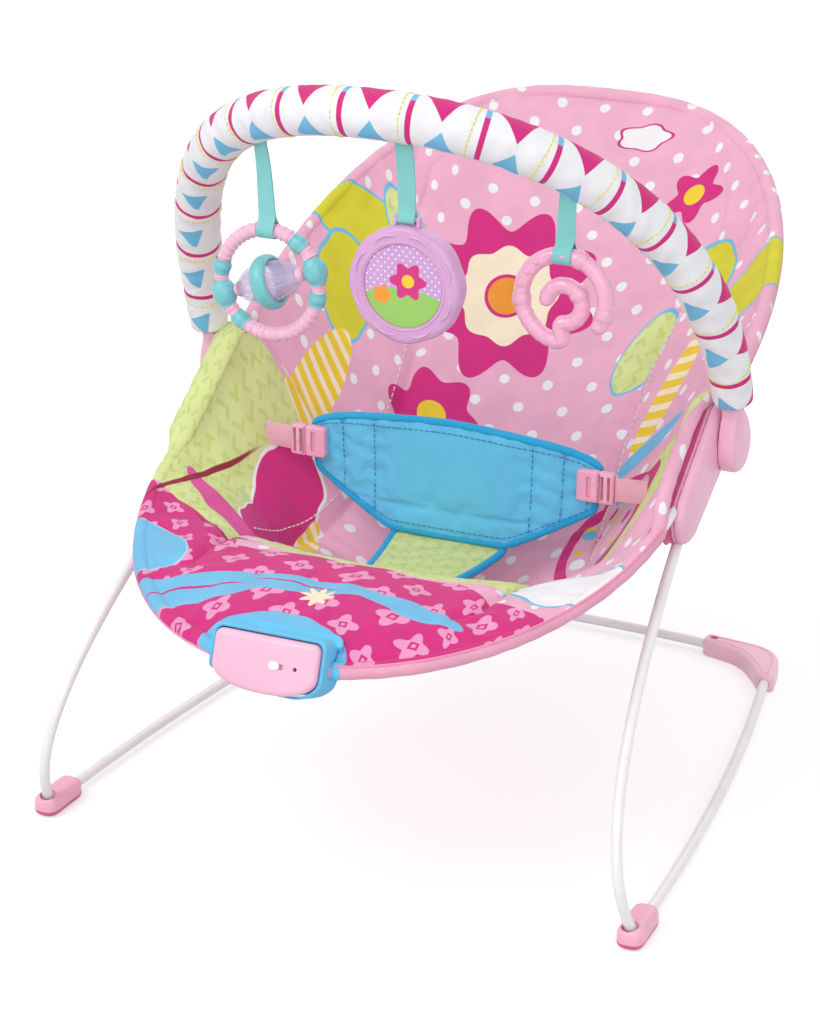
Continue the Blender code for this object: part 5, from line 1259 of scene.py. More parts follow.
# Cloth filling
FILL_TICKS = 20
CLOTH_SETTINGS = {"quality": 5, "mass": 0.25, "tension_stiffness": 12, "compression_stiffness": 12,
                  "shear_stiffness": 6, "bending_stiffness": 0.4, "use_pressure": True,
                  "vertex_group_mass": "held"}


def filled_out(piece: bpy.types.Object, held: Array, pressure: float, cap: float, slack: float) -> None:
    """Blow a closed cloth shape up with the cloth solver and keep the result.

    Args:
        piece: The shape.
        held: How firmly each vertex is held, 0 to 1.
        pressure: Air pressure inside.
        cap: The furthest that a point may move.
        slack: How much cloth there is to spare, as a share.
    """
    group = piece.vertex_groups.new(name="held")
    for k in np.flatnonzero(held > 0.01):
        group.add([int(k)], float(held[k]), "REPLACE")
    cloth = piece.modifiers.new("filling", "CLOTH")
    for key, value in CLOTH_SETTINGS.items():
        setattr(cloth.settings, key, value)
    cloth.settings.uniform_pressure_force = pressure
    cloth.settings.shrink_min = -slack
    cloth.settings.effector_weights.gravity = 0
    cloth.collision_settings.use_self_collision = False
    scene = bpy.context.scene
    for tick in range(1, FILL_TICKS + 1):
        scene.frame_set(tick)
    seen = piece.evaluated_get(bpy.context.evaluated_depsgraph_get())
    count = len(piece.data.vertices)
    old, new = np.zeros(count * 3), np.zeros(count * 3)
    piece.data.vertices.foreach_get("co", old)
    seen.data.vertices.foreach_get("co", new)
    old, step = old.reshape(-1, 3), (new - old).reshape(-1, 3)
    far = np.maximum(np.linalg.norm(step, axis=1, keepdims=True), TINY)
    placed = old + step / far * cap * np.tanh(far / cap)
    piece.modifiers.clear()
    piece.vertex_groups.clear()
    piece.data.vertices.foreach_set("co", placed.ravel())
    piece.data.update()
    scene.frame_set(1)
    LOG.info("%s filled out, furthest %.1f mm", piece.name, 1000 * float(far.max()))


def softened(piece: bpy.types.Object) -> bpy.types.Object:
    """Give a cloth piece one round of subdivision that stays live."""
    subsurf = piece.modifiers.new("soften", "SUBSURF")
    subsurf.levels = subsurf.render_levels = 1
    return piece


# Floor frame
@dataclass
class FloorFrame:
    """The rails, the rear cross tube, the front feet and the rear corner brackets."""

    half_front: float = 0.25
    half_rear: float = 0.19
    length: float = 0.5165
    bulge: float = 0.0132
    bow: float = 0.016
    height: float = 0.00775
    corner: float = 0.030
    foot: tuple[float, float, float, float] = (0.021, 0.011, 0.038, 0.0172)
    bracket_side: float = 0.052
    bracket_inward: float = 0.066
    bracket_height: float = 0.0158
    bracket_arm: float = 0.017
    bracket_web: float = 0.020
    # Height of the shoe's rounded lower edge, which the painted shade band covers.
    shaded_low_edge: float = 0.0050
    toe: float = 0.0100
    leg_swing: float = 5.0
    screw_in: float = 0.010
    screw_room: float = 0.0037
    screw_steps: tuple[tuple[float, float], ...] = (
        (0.0, 0.0), (0.0032, 0.0), (0.0032, 0.0011), (0.0024, 0.0018), (0.0012, 0.0018),
        (0.0010, 0.0008), (0.0, 0.0008))
    line_inset: float = 0.0058

    def rail_x(self, y: Any) -> Any:
        """Return a rail's distance from the middle at one place along it."""
        t = y / self.length
        return self.half_front - (self.half_front - self.half_rear) * t + self.bulge * 4 * t * (1 - t)

    def rear_y(self, x: Any) -> Any:
        """Return the rear cross tube's place at one distance from the middle."""
        return self.length + self.bow * (1 - (x / self.half_rear) ** 2)

    def joint_x(self) -> float:
        """Return where a rail's end meets the cross tube."""
        return self.half_rear - self.bracket_inward * 0.55

    def rail(self, side: int) -> Array:
        """Return a rail's route from its front foot round its rear corner."""
        y = np.linspace(TUBE_R + 0.0012, self.length - self.corner, 36)
        straight = np.stack([self.rail_x(y), y, np.full(36, self.height)], 1)
        turn_x = self.half_rear - self.corner
        around = bezier(straight[-1], (self.rail_x(self.length), self.length, self.height),
                        (turn_x, self.rear_y(turn_x), self.height), 14)
        x = self.joint_x()
        path = np.r_[straight, around[1:], [[x, self.rear_y(x), self.height]]]
        return path * (side, 1, 1)

    def build(self) -> None:
        """Build every piece that stands on the floor."""
        for label, side in SIDES:
            settle(wire(label + "_rail", self.rail(side), PAINT_WHITE), "base", "white_paint",
                   label + "_rail_tube")
            self.build_foot(label, side)
            self.build_bracket(label, side)
        reach = self.joint_x() - GAP
        x = np.linspace(-reach, reach, 41)
        cross = np.stack([x, self.rear_y(x), np.full(41, self.height)], 1)
        settle(wire("rear_cross", cross, PAINT_WHITE), "base", "white_paint", "rear_cross_tube")

    def build_foot(self, label: str, side: int) -> None:
        """Build a front foot: a soft shoe round the wire's bend, and a deep pink band round its lower edge
        that is painted shade.
        """
        width, front, back, height = self.foot
        length, middle = front + back, (back - front) / 2
        slope = math.atan2(self.rail_x(0.0) - self.rail_x(back), back)
        place = Matrix.Translation((side * self.rail_x(middle), middle, 0.0))
        place = place @ Matrix.Rotation(side * slope, 4, "Z")
        x, y = width / 2, length / 2
        outline = rounded([(-x, -y), (x, -y), (x, y), (-x, y)], (front, front, self.toe, self.toe), 9)
        levels = edge_levels(0.0, height, self.shaded_low_edge, 0.0062)
        shoe = slab(label + "_shoe", outline, levels, place, SHOE_PLASTIC)
        settle(carved(shoe, *self.foot_rooms(side)), "base", "pink_moulding", label + "_front_foot")
        # The deep pink band round the shoe's lower edge is painted shade under the shoe, not a sole of its
        # own colour.
        levels = edge_levels(0.0, self.shaded_low_edge, self.shaded_low_edge - 0.0001, 0.0001)
        band = slab(label + "_shoe_sole", drawn_in(outline, -0.0002), levels, place, DEEP_PINK_AND_SHADE_PLASTIC)
        settle(carved(band, *self.foot_rooms(side)), "base", "deep_moulding")

    def foot_rooms(self, side: int) -> list[bpy.types.Object]:
        """Return the cutters for the rail's bend and for the leg's swing in a foot."""
        _, _, back, height = self.foot
        bend = self.rail(side)
        bend = bend[bend[:, 1] < back * 2.5]
        bend = np.r_[[[side * self.rail_x(0.0), -TUBE_R - 0.001, self.height]], bend]
        leg = Legs().path(side)[:2]
        ahead = unit(leg[1] - leg[0])
        leg = np.array([leg[0] - ahead * 0.0005, leg[0] + ahead * height * 2.2])
        swing = math.radians(self.leg_swing) * height + 0.0008
        return [wire("bore", bend, PINK_PLASTIC, TUBE_R + GAP),
                wire("leg_room", leg, PINK_PLASTIC, TUBE_R + swing)]

    def build_bracket(self, label: str, side: int) -> None:
        """Build a rear corner bracket with its web, rim and screw."""
        outline = self.bracket_outline()
        if side < 0:
            outline = outline[::-1] * (-1, 1)
        levels = edge_levels(0.0, self.bracket_height, 0.0008, 0.0042)
        bracket = slab(label + "_bracket", outline, levels, Matrix(), BRACKET_PLASTIC)
        tail = self.half_rear - self.bracket_inward
        path = self.rail(side)[30:]
        path[-1] = (side * (tail - 0.01), self.rear_y(tail - 0.01), self.height)
        seat_x = tail + self.screw_in
        seat_place = Matrix.Translation((side * seat_x, self.rear_y(seat_x), self.bracket_height))
        seat = turned("seat", post(self.screw_room, -0.0022, 0.001), 24, seat_place, PINK_PLASTIC)
        carved(bracket, wire("bore", path, PINK_PLASTIC, TUBE_R + GAP), seat)
        settle(bracket, "base", "pink_moulding", label + "_rear_corner")
        profile = [(radius, -0.002 + GAP + rise) for radius, rise in self.screw_steps]
        head = turned(label + "_screw", profile, 24, seat_place, SCREW_AND_GROOVE_SHADE_PLASTIC, 30.0)
        settle(head, "base", "steel", label + "_corner_screw")
        rim = drawn_in(outline, self.line_inset)
        ridge = np.c_[rim, np.full(len(rim), self.bracket_height)]
        line = sweep(label + "_bracket_line", ridge, ring(0.0005, 6), BUCKLE_PLASTIC, loop=True)
        settle(line, "base", "deep_moulding")

    def bracket_outline(self) -> Array:
        """Return the +X bracket's outline: two arms, a web between them and round ends."""
        arm, tail = self.bracket_arm / 2, self.half_rear - self.bracket_inward
        near = self.length - self.bracket_side
        lean = self.rail_x(near) - self.rail_x(self.length)
        outer = self.half_rear + arm
        inner = outer - self.bracket_arm
        front = self.length - arm
        corners = [(tail, self.rear_y(tail) - arm), (inner - self.bracket_web, front - 0.001),
                   (inner - 0.002, front - self.bracket_web), (inner + lean + 0.002, near),
                   (outer + lean, near), (outer, self.length + arm), (tail, self.rear_y(tail) + arm)]
        return rounded(corners, (0.008, 0.014, 0.014, 0.0065, 0.0072, self.corner * 1.1, 0.008), 8)


@dataclass
class Legs:
    """The two sprung wire legs from the feet to the hubs."""

    foot_x: float = 0.25
    foot_z: float = 0.0125
    bow: tuple[float, float, float] = (0.2346, -0.0655, 0.1112)
    exit_y: float = 0.1915
    exit_z: float = 0.2465
    hub_x: float = 0.209
    socket: float = 0.025

    def path(self, side: int) -> Array:
        """Return a leg's route from its foot up into its hub."""
        exit_point = np.array((self.hub_x, self.exit_y, self.exit_z))
        points = bezier((self.foot_x, 0.0, self.foot_z), self.bow, exit_point, 48)
        tip = exit_point + unit((points[-1] - points[-2]) * (0, 1, 1)) * self.socket
        return np.r_[points, [tip]] * (side, 1, 1)

    def build(self) -> None:
        """Build both legs."""
        for label, side in SIDES:
            settle(wire(label + "_leg", self.path(side), PAINT_WHITE), "seat_frame", "white_paint",
                   label + "_leg_tube")


# Seat
HUB_ROW = 12
BACK_ROW = 16
HEAD_ROW = 26


@dataclass
class SeatShape:
    """The curves that the seat's tubes and cloth follow."""

    hub_x: float = 0.209
    hub_inner: float = 0.007
    back_base: tuple[float, float] = (0.2440, 0.3200)
    back_length: float = 0.3697
    back_angle: float = 28.0
    back_power: float = 2.8
    back_bulge: float = 0.041
    front_base: tuple[float, float] = (0.1786, 0.2760)
    front_reach: float = 0.2676
    front_drop: float = 0.0605
    front_power: float = 2.0
    sag: float = 0.006
    sleeve_r: float = TUBE_R + 0.0019
    hub_margin: float = 0.034
    roll_lift: float = 0.0140
    wire_end: float = 0.025
    edge_angle: float = 86.0
    heights: tuple[tuple[float, float], ...] = (
        (-0.035, 0.2435), (0.030, 0.2425), (0.080, 0.2262), (0.130, 0.194), (0.175, 0.163),
        (0.222, 0.150), (0.268, 0.166), (0.335, 0.226), (0.430, 0.3244), (0.515, 0.424))

    def back(self, angles: Any) -> Array:
        """Return points on the back tube, 0 degrees at the +X hub."""
        width, s = arch(np.atleast_1d(angles), self.back_power)
        hump = 4 * s * (1 - s)
        cos, sin = math.cos(math.radians(self.back_angle)), math.sin(math.radians(self.back_angle))
        y = self.back_base[0] + self.back_length * s * cos + self.sag * hump * sin
        z = self.back_base[1] + self.back_length * s * sin - self.sag * hump * cos
        return np.stack([self.hub_x * width * (1 + self.back_bulge * hump), y, z], 1)

    def front(self, angles: Any) -> Array:
        """Return points on the front tube, 0 degrees at the +X hub."""
        width, s = arch(np.atleast_1d(angles), self.front_power)
        z = self.front_base[1] - self.front_drop * s - self.sag * 4 * s * (1 - s)
        return np.stack([self.hub_x * width, self.front_base[0] - self.front_reach * s, z], 1)

    def front_wire(self) -> Array:
        """Return the front tube's route with its ends inside the hubs."""
        points = spaced(self.front(np.linspace(0, 180, 400)), 90)
        rise = np.array((0.0, self.front_reach, self.front_drop + 4 * self.sag))
        rise = unit(rise) * self.wire_end
        return np.r_[[points[0] + rise], points, [points[-1] + rise]]

    def outline(self, row: float) -> tuple[float, float, float]:
        """Return half width, Y and edge height of one row, 0 at the foot end, HEAD_ROW at the head."""
        inset = self.sleeve_r + GAP + 0.0006 - 0.0041
        if row <= HUB_ROW:
            angle = self.edge_angle * (1 - row / HUB_ROW)
            point, low, high = self.front([angle, angle - 0.5, angle + 0.5])
        elif row < BACK_ROW:
            a, b = self.front(0.0)[0], self.back(0.0)[0]
            point, low, high = a + (b - a) * (row - HUB_ROW) / (BACK_ROW - HUB_ROW), b, a
        else:
            angle = self.edge_angle * (row - BACK_ROW) / (HEAD_ROW - BACK_ROW)
            point, low, high = self.back([angle, angle + 0.5, angle - 0.5])
        along = (low - high)[:2]
        along /= np.linalg.norm(along)
        x, y = point[0] - along[1] * inset, point[1] + along[0] * inset
        free = 0.03 * min(max((y - 0.284) / 0.016, 0.0), 1.0)
        return min(x, self.hub_x - self.hub_inner - GAP - 0.0004 + free), y, point[2]

    def along(self, y: Any) -> Array:
        """Return the distance along the pad's middle line at one place front to back."""
        marks = np.linspace(self.outline(0)[1], self.outline(HEAD_ROW)[1], 400)
        arc = walked(np.stack([0 * marks, marks, self.centre(marks)], 1))
        past = np.maximum(y - marks[-1], 0.0) / math.cos(math.radians(self.back_angle))
        return np.interp(y, marks, arc) + past + np.minimum(y - marks[0], 0.0)

    def centre(self, y: Any) -> Array:
        """Return the height of the pad's face on the middle line."""
        first, last = self.front(90.0)[0], self.back(90.0)[0]
        knots = np.array(((first[1], first[2] + 0.012), *self.heights, (last[1], last[2] + 0.004)))
        slopes = np.empty(len(knots))
        slopes[1:-1] = (knots[2:, 1] - knots[:-2, 1]) / (knots[2:, 0] - knots[:-2, 0])
        slopes[0] = (knots[1, 1] - knots[0, 1]) / (knots[1, 0] - knots[0, 0])
        slopes[-1] = (knots[-1, 1] - knots[-2, 1]) / (knots[-1, 0] - knots[-2, 0])
        y = np.asarray(y, float)
        k = np.clip(np.searchsorted(knots[:, 0], y) - 1, 0, len(knots) - 2)
        width = knots[k + 1, 0] - knots[k, 0]
        t = np.clip((y - knots[k, 0]) / width, 0, 1)
        return ((2 * t ** 3 - 3 * t ** 2 + 1) * knots[k, 1] + (t ** 3 - 2 * t ** 2 + t) * width * slopes[k]
                + (3 * t ** 2 - 2 * t ** 3) * knots[k + 1, 1] + (t ** 3 - t ** 2) * width * slopes[k + 1])

    def face(self, u: Any, y: Any, edge_z: Any) -> Array:
        """Return the height of the pad's plain face at a share of its half width."""
        wing = np.abs(u) ** 2.6
        rise = np.clip((y - 0.150) / 0.028, 0, 1) * np.clip((0.274 - y) / 0.028, 0, 1)
        lift = self.roll_lift * eased(rise) * np.abs(u) ** 12
        return self.centre(y) * (1 - wing) + (edge_z + 0.004) * wing + lift


@dataclass
class SeatPad:
    """The quilted, printed seat pad with its hems, seams and rolled edges."""

    shape: SeatShape
    rows: int = 168
    columns: int = 85
    thick: float = 0.012
    edge_thick: float = 0.009
    seam_depth: float = 0.0058
    seam_share: float = 0.60
    edge_lift: float = 0.0012
    seam_ends: tuple[float, float] = (0.06, 0.655)
    seam_reach: tuple[float, float, float] = (0.0050, 0.0070, 0.024)
    ripple_lift: float = 0.0015
    ripple_pitch: float = 0.019
    crease_lift: float = 0.0007
    branch: tuple[float, float] = (0.128, 0.645)
    filling: tuple[float, float, float] = (4.0, 0.0045, 0.015)
    bare_tube: float = 0.029
    unit_reach: float = 0.0445
    roll_r: float = 0.0058
    seam: tuple[tuple[float, float], ...] = (
        (0.0, 0.060), (0.10, 0.118), (0.20, 0.126), (0.30, 0.121), (0.40, 0.107), (0.483, 0.101),
        (0.560, 0.105), (0.610, 0.117), (0.645, 0.132), (0.74, 0.136), (0.84, 0.050))
    roll_right: tuple[float, float] = (0.0020, 1.0)
    roll_left: tuple[float, float] = (0.0078, 0.50)
    roll_spots: tuple[tuple[float, float, float], ...] = (
        (0.066, 0.0270, 0.2040), (0.050, 0.0322, 0.2005), (0.030, 0.0320, 0.2000), (0.010, 0.0305, 0.2000),
        (-0.010, 0.0290, 0.2000), (-0.030, 0.0272, 0.2005), (-0.048, 0.0255, 0.2020))

    def seam_x(self, v: Any) -> Array:
        """Return the wing seam's distance from the middle at a place along the pad."""
        return np.interp(v, *zip(*self.seam))

    def grid(self) -> tuple[Array, Array, Array]:
        """Return half widths with Y and edge height, the shares across, and the middle line's arc."""
        fine = np.linspace(0, HEAD_ROW, 900)
        edges = np.array([self.shape.outline(row) for row in fine])
        middle = np.stack([np.zeros(900), edges[:, 1], self.shape.centre(edges[:, 1])], 1)
        arc = walked(middle)
        rim = walked(edges)
        measure = arc + 0.7 * rim
        picks = np.interp(np.linspace(0, measure[-1], self.rows), measure, fine)
        rows = np.array([self.shape.outline(row) for row in picks])
        lengths = np.interp(picks, fine, arc)
        seam = np.minimum(self.seam_x(lengths), rows[:, 0] * 0.80)[:, None]
        place = np.linspace(-1, 1, self.columns)[None, :]
        inside = np.clip(np.abs(place) / self.seam_share, 0, 1)
        outside = np.clip((np.abs(place) - self.seam_share) / (1 - self.seam_share), 0, 1)
        outside = 0.35 * outside + 0.65 * eased(outside)
        reach = seam * (1 - (1 - inside) ** 1.3) + (rows[:, :1] - seam) * outside
        return rows, np.sign(place) * reach / rows[:, :1], lengths

    def build(self) -> None:
        """Build the pad, its hems and its stitches."""
        rows, shares, arc = self.grid()
        half, y, edge_z = rows[:, :1], rows[:, 1:2], rows[:, 2:]
        x = half * shares
        v = np.broadcast_to(arc[:, None], x.shape)
        near_end = np.minimum(arc, arc[-1] - arc)
        body = (1 - shares ** 6) * (0.4 + 0.6 * np.minimum(1.0, near_end / 0.06)[:, None])
        thick = self.edge_thick + (self.thick - self.edge_thick) * body
        rim = np.minimum(half * (1 - np.abs(shares)), near_end[:, None])
        groove, relief = self.relief(x, v, half, rim)
        shaped = self.shape.face(shares, y, edge_z) + self.edge_lift * np.abs(shares) ** 6 + relief
        upper = np.stack([x, np.broadcast_to(y, x.shape), shaped - 0.0012 * body], -1)
        lower = upper - np.stack([0 * x, 0 * x, thick - 0.0024 * body], -1)
        pad = self.closed_shell(np.stack([upper, lower]), x, v)
        firm = np.maximum(np.exp(-(rim / 0.007) ** 2), 0.98 * groove ** 2)
        firm = np.maximum(firm, v < 0.022).ravel()
        LOG.info("pad grid of %d rows, %d points", len(rows), 2 * x.size)
        filled_out(pad, np.r_[firm, firm], *self.filling)
        self.cut_unit_room(pad)
        softened(pad)
        settle(pad, "seat_frame", "seat_print", "seat_pad")
        self.build_hems()
        self.build_stitches(rows, arc)

    def relief(self, x: Array, v: Array, half: Array, rim: Array) -> tuple[Array, Array]:
        """Return the seams' grooves, 0 to 1, and all the height that seams and creases add.

        Args:
            x: Distances from the middle.
            v: Distances along the pad.
            half: Half widths of the rows.
            rim: Distances from the pad's rim.

        Returns:
            The grooves and the heights in metres.
        """
        far = np.abs(x)
        gap = np.abs(far - self.seam_x(v))
        foot, head = self.seam_ends
        live = np.clip((head - v) / 0.02, 0, 1) * np.clip((v - foot) / 0.05, 0, 1)
        past = far - self.branch[0]
        branch = np.hypot(np.minimum(past, 0.0), v - self.branch[1] - 0.30 * past)
        branch_live = np.clip((far - 0.118) / 0.010, 0, 1) * np.clip((half - 0.012 - far) / 0.02, 0, 1)
        narrow, wide, flank_reach = self.seam_reach
        groove = np.maximum(np.exp(-gap / narrow) * live, 0.7 * np.exp(-branch / wide) * branch_live)
        flank = np.exp(-gap / flank_reach) * live
        ripple = np.sin(v * 2 * np.pi / self.ripple_pitch + 2.2 * np.sin(v * 31) + 1.3 * np.sign(x))
        angle = np.arctan2(v - 0.52, x + 1e-6) * 34
        hem = np.exp(-((rim - 0.012) / 0.010) ** 2) * np.sin(angle + 1.7 * np.sin(angle * 0.31))
        folds = np.sin(x * 60 + 3 * np.sin(v * 22)) * np.sin(v * 48 + 2 * np.sin(x * 27))
        creases = hem * np.clip((v - 0.30) / 0.1, 0.3, 1) + folds * np.clip(rim / 0.03, 0, 1)
        raised = self.ripple_lift * flank * ripple * (1 - groove) - self.seam_depth * groove
        return groove, raised + self.crease_lift * creases

    def closed_shell(self, grids: Array, x: Array, v: Array) -> bpy.types.Object:
        """Make the pad's mesh from its upper and lower grids.

        Args:
            grids: Upper grid, then lower grid.
            x: Distances from the middle, for the print.
            v: Distances along the pad, for the print.

        Returns:
            The object, with the print above and the lining below.
        """
        rows, cols = x.shape
        mesh = bpy.data.meshes.new("seat_pad_cloth")
        mesh.from_pydata((grids.reshape(-1, 3) + SHIFT).tolist(), [], shell_faces(rows, cols))
        where = np.stack([x.ravel(), v.ravel()], 1)
        lay_metres(mesh, np.r_[where, where])
        pad = finished("seat_pad_cloth", mesh, SEAT_PRINT, 180.0)
        mesh.materials.append(LINING.material())
        upper_count = (rows - 1) * (cols - 1)
        slots = np.zeros(len(mesh.polygons), int)
        slots[upper_count:2 * upper_count] = 1
        mesh.polygons.foreach_set("material_index", slots)
        return pad

    def lay_print(self, mesh: bpy.types.Mesh) -> Array:
        """Lay the pad's print on a rolled edge by how far along the pad it lies; return its points."""
        spots = np.zeros(len(mesh.vertices) * 3)
        mesh.vertices.foreach_get("co", spots)
        spots = spots.reshape(-1, 3) - SHIFT
        lay_metres(mesh, np.stack([spots[:, 0], self.shape.along(spots[:, 1])], 1))
        return spots

    def cut_unit_room(self, pad: bpy.types.Object) -> None:
        """Cut the room that the vibration unit stands in out of the pad."""
        box = VibrationUnit(self.shape)
        levels = [(-box.rear - 0.0012, 0.0), (box.front * 2.2, 0.0)]
        carved(pad, slab("room", box.outline(0.0038), levels, box.place(), SEAT_PRINT))
        pad.data.set_sharp_from_angle(angle=math.radians(80))

    def build_hems(self) -> None:
        """Build the hems, the tubes that run through them, and the rolled edges between hems."""
        shape, bare = self.shape, self.bare_tube
        path = spaced(shape.back(np.linspace(0, 180, 400)), 240)
        settle(wire("back_wire", path, PAINT_WHITE), "seat_frame", "white_paint", "back_tube")
        route = stretch(path, shape.hub_margin, walked(path)[-1] - shape.hub_margin, 260)
        self.hem("back_hem", route, "back_cloth_sleeve", (-28, 215))
        front = shape.front_wire()
        settle(wire("front_wire", front, PAINT_WHITE), "seat_frame", "white_paint", "front_tube")
        front = front[1:-1]
        half, reach = walked(front)[-1] / 2, self.unit_reach
        route = stretch(front, bare, half - reach, 130)
        self.hem("right_front_hem", route, "right_front_sleeve", (-40, 128))
        route = stretch(front, half + reach, 2 * half - bare, 130)
        self.hem("left_front_hem", route, "left_front_sleeve", (-40, 205))
        for label, side in SIDES:
            self.side_roll(label, side, path[::side], front[::side])

    def side_roll(self, label: str, side: int, back: Array, front: Array) -> None:
        """Build the pad's rolled edge that passes over a hub and joins the back hem to the front hem.

        Args:
            label: Side name.
            side: Side sign.
            back: The back tube's path, starting at this side's hub.
            front: The front tube's path, starting at this side's hub.
        """
        hub = Hubs()
        cos, sin = math.cos(math.radians(hub.angle)), math.sin(math.radians(hub.angle))
        out, flat = self.roll_right if side > 0 else self.roll_left
        spots = [(side * (x + out), hub.y + u * cos - v * sin, hub.z + u * sin + v * cos)
                 for u, v, x in self.roll_spots]
        first = stretch(back, self.shape.hub_margin, self.shape.hub_margin + 0.012, 2)[::-1]
        last = stretch(front, self.bare_tube, self.bare_tube + 0.010, 2)
        route = spaced(relaxed(spaced(np.r_[first, spots, last], 60), 14), 110)
        along = walked(route)
        phase = along[:, None] * 2 * np.pi / 0.019 + 2 * np.sin(along[:, None] * 46)
        scales = 1 + 0.035 * np.sin(phase + full_turn(20))
        near = np.minimum(along, along[-1] - along)
        wide = 1 + (1 / flat - 1) * eased(np.clip(near / 0.030, 0, 1))
        section = ring(self.roll_r, 20)
        ahead = unit(np.gradient(route, axis=0))
        rise = unit(np.cross(np.array(ACROSS), ahead))
        across = np.cross(ahead, rise)
        wide = (scales * wide[:, None])[..., None]
        spread = across[:, None] * (section[None, :, :1] * wide)
        points = route[:, None] + spread + rise[:, None] * (section[None, :, 1:] * scales[..., None])
        blank = np.zeros((len(route), 21, 2))
        piece = skin(label + "_side_roll", points, SEAT_PRINT, blank, False, True)
        self.lay_print(piece.data)
        settle(piece, "seat_frame", "seat_print")

    def hem(self, name: str, route: Array, node: str, printed: tuple[float, float]) -> None:
        """Build one gathered hem round a tube: the print turns over it and the lining meets it below.

        Args:
            name: Name of the piece.
            route: Its centre line.
            node: The CAD node that it stands for.
            printed: The first and last angle round the section that show the print.
        """
        along = walked(route)
        phase = along[:, None] * 2 * np.pi / 0.023 + 2 * np.sin(along[:, None] * 40)
        scales = 1.0 + 0.025 * np.sin(phase + full_turn(24))
        close = np.minimum(along, along[-1] - along) / 0.004
        scales *= (0.82 + 0.18 * np.clip(close, 0, 1))[:, None]
        piece = sweep(name, route, ring(self.shape.sleeve_r * 1.03, 24), SEAT_PRINT, scales=scales)
        mesh = piece.data
        mesh.materials.append(PINK_CLOTH.material())
        self.lay_print(mesh)
        ahead = np.gradient(route, axis=0)
        side = unit(np.cross(ahead, UP))
        rise = np.cross(side, unit(ahead))
        for polygon in mesh.polygons:
            spot = np.array(polygon.center) - SHIFT
            near = int(np.argmin(((route - spot) ** 2).sum(1)))
            step = spot - route[near]
            angle = math.degrees(math.atan2(step @ rise[near], step @ side[near]))
            angle += 360 if angle < printed[0] else 0
            polygon.material_index = 0 if angle < printed[1] else 1
        settle(piece, "seat_frame", "pink_cloth", node)
        edge = math.radians(printed[0] if name == "back_hem" else printed[1])
        reach = self.shape.sleeve_r * 1.05
        line = route + side * (reach * math.cos(edge)) + rise * (reach * math.sin(edge))
        piping = sweep(name + "_piping", line[2:-2], ring(0.0010, 8), PIPING_PINK)
        settle(piping, "seat_frame", "pink_cloth")

    def build_stitches(self, rows: Array, arc: Array) -> None:
        """Build the white stitches that run beside each wing seam."""
        marks = np.linspace(0.24, 0.640, 150)
        x = self.seam_x(marks) + 0.0070
        half, y, edge = (np.interp(marks, arc, rows[:, k]) for k in range(3))
        z = self.shape.face(x / half, y, edge) + 0.0026
        for label, side in SIDES:
            run = STITCHES.along(label + "_seam_stitches", np.stack([side * x, y, z], 1), THREAD_WHITE,
                                 pitch=0.0062, length=0.0040, radius=0.0005)
            settle(run, "seat_frame", "seat_print")


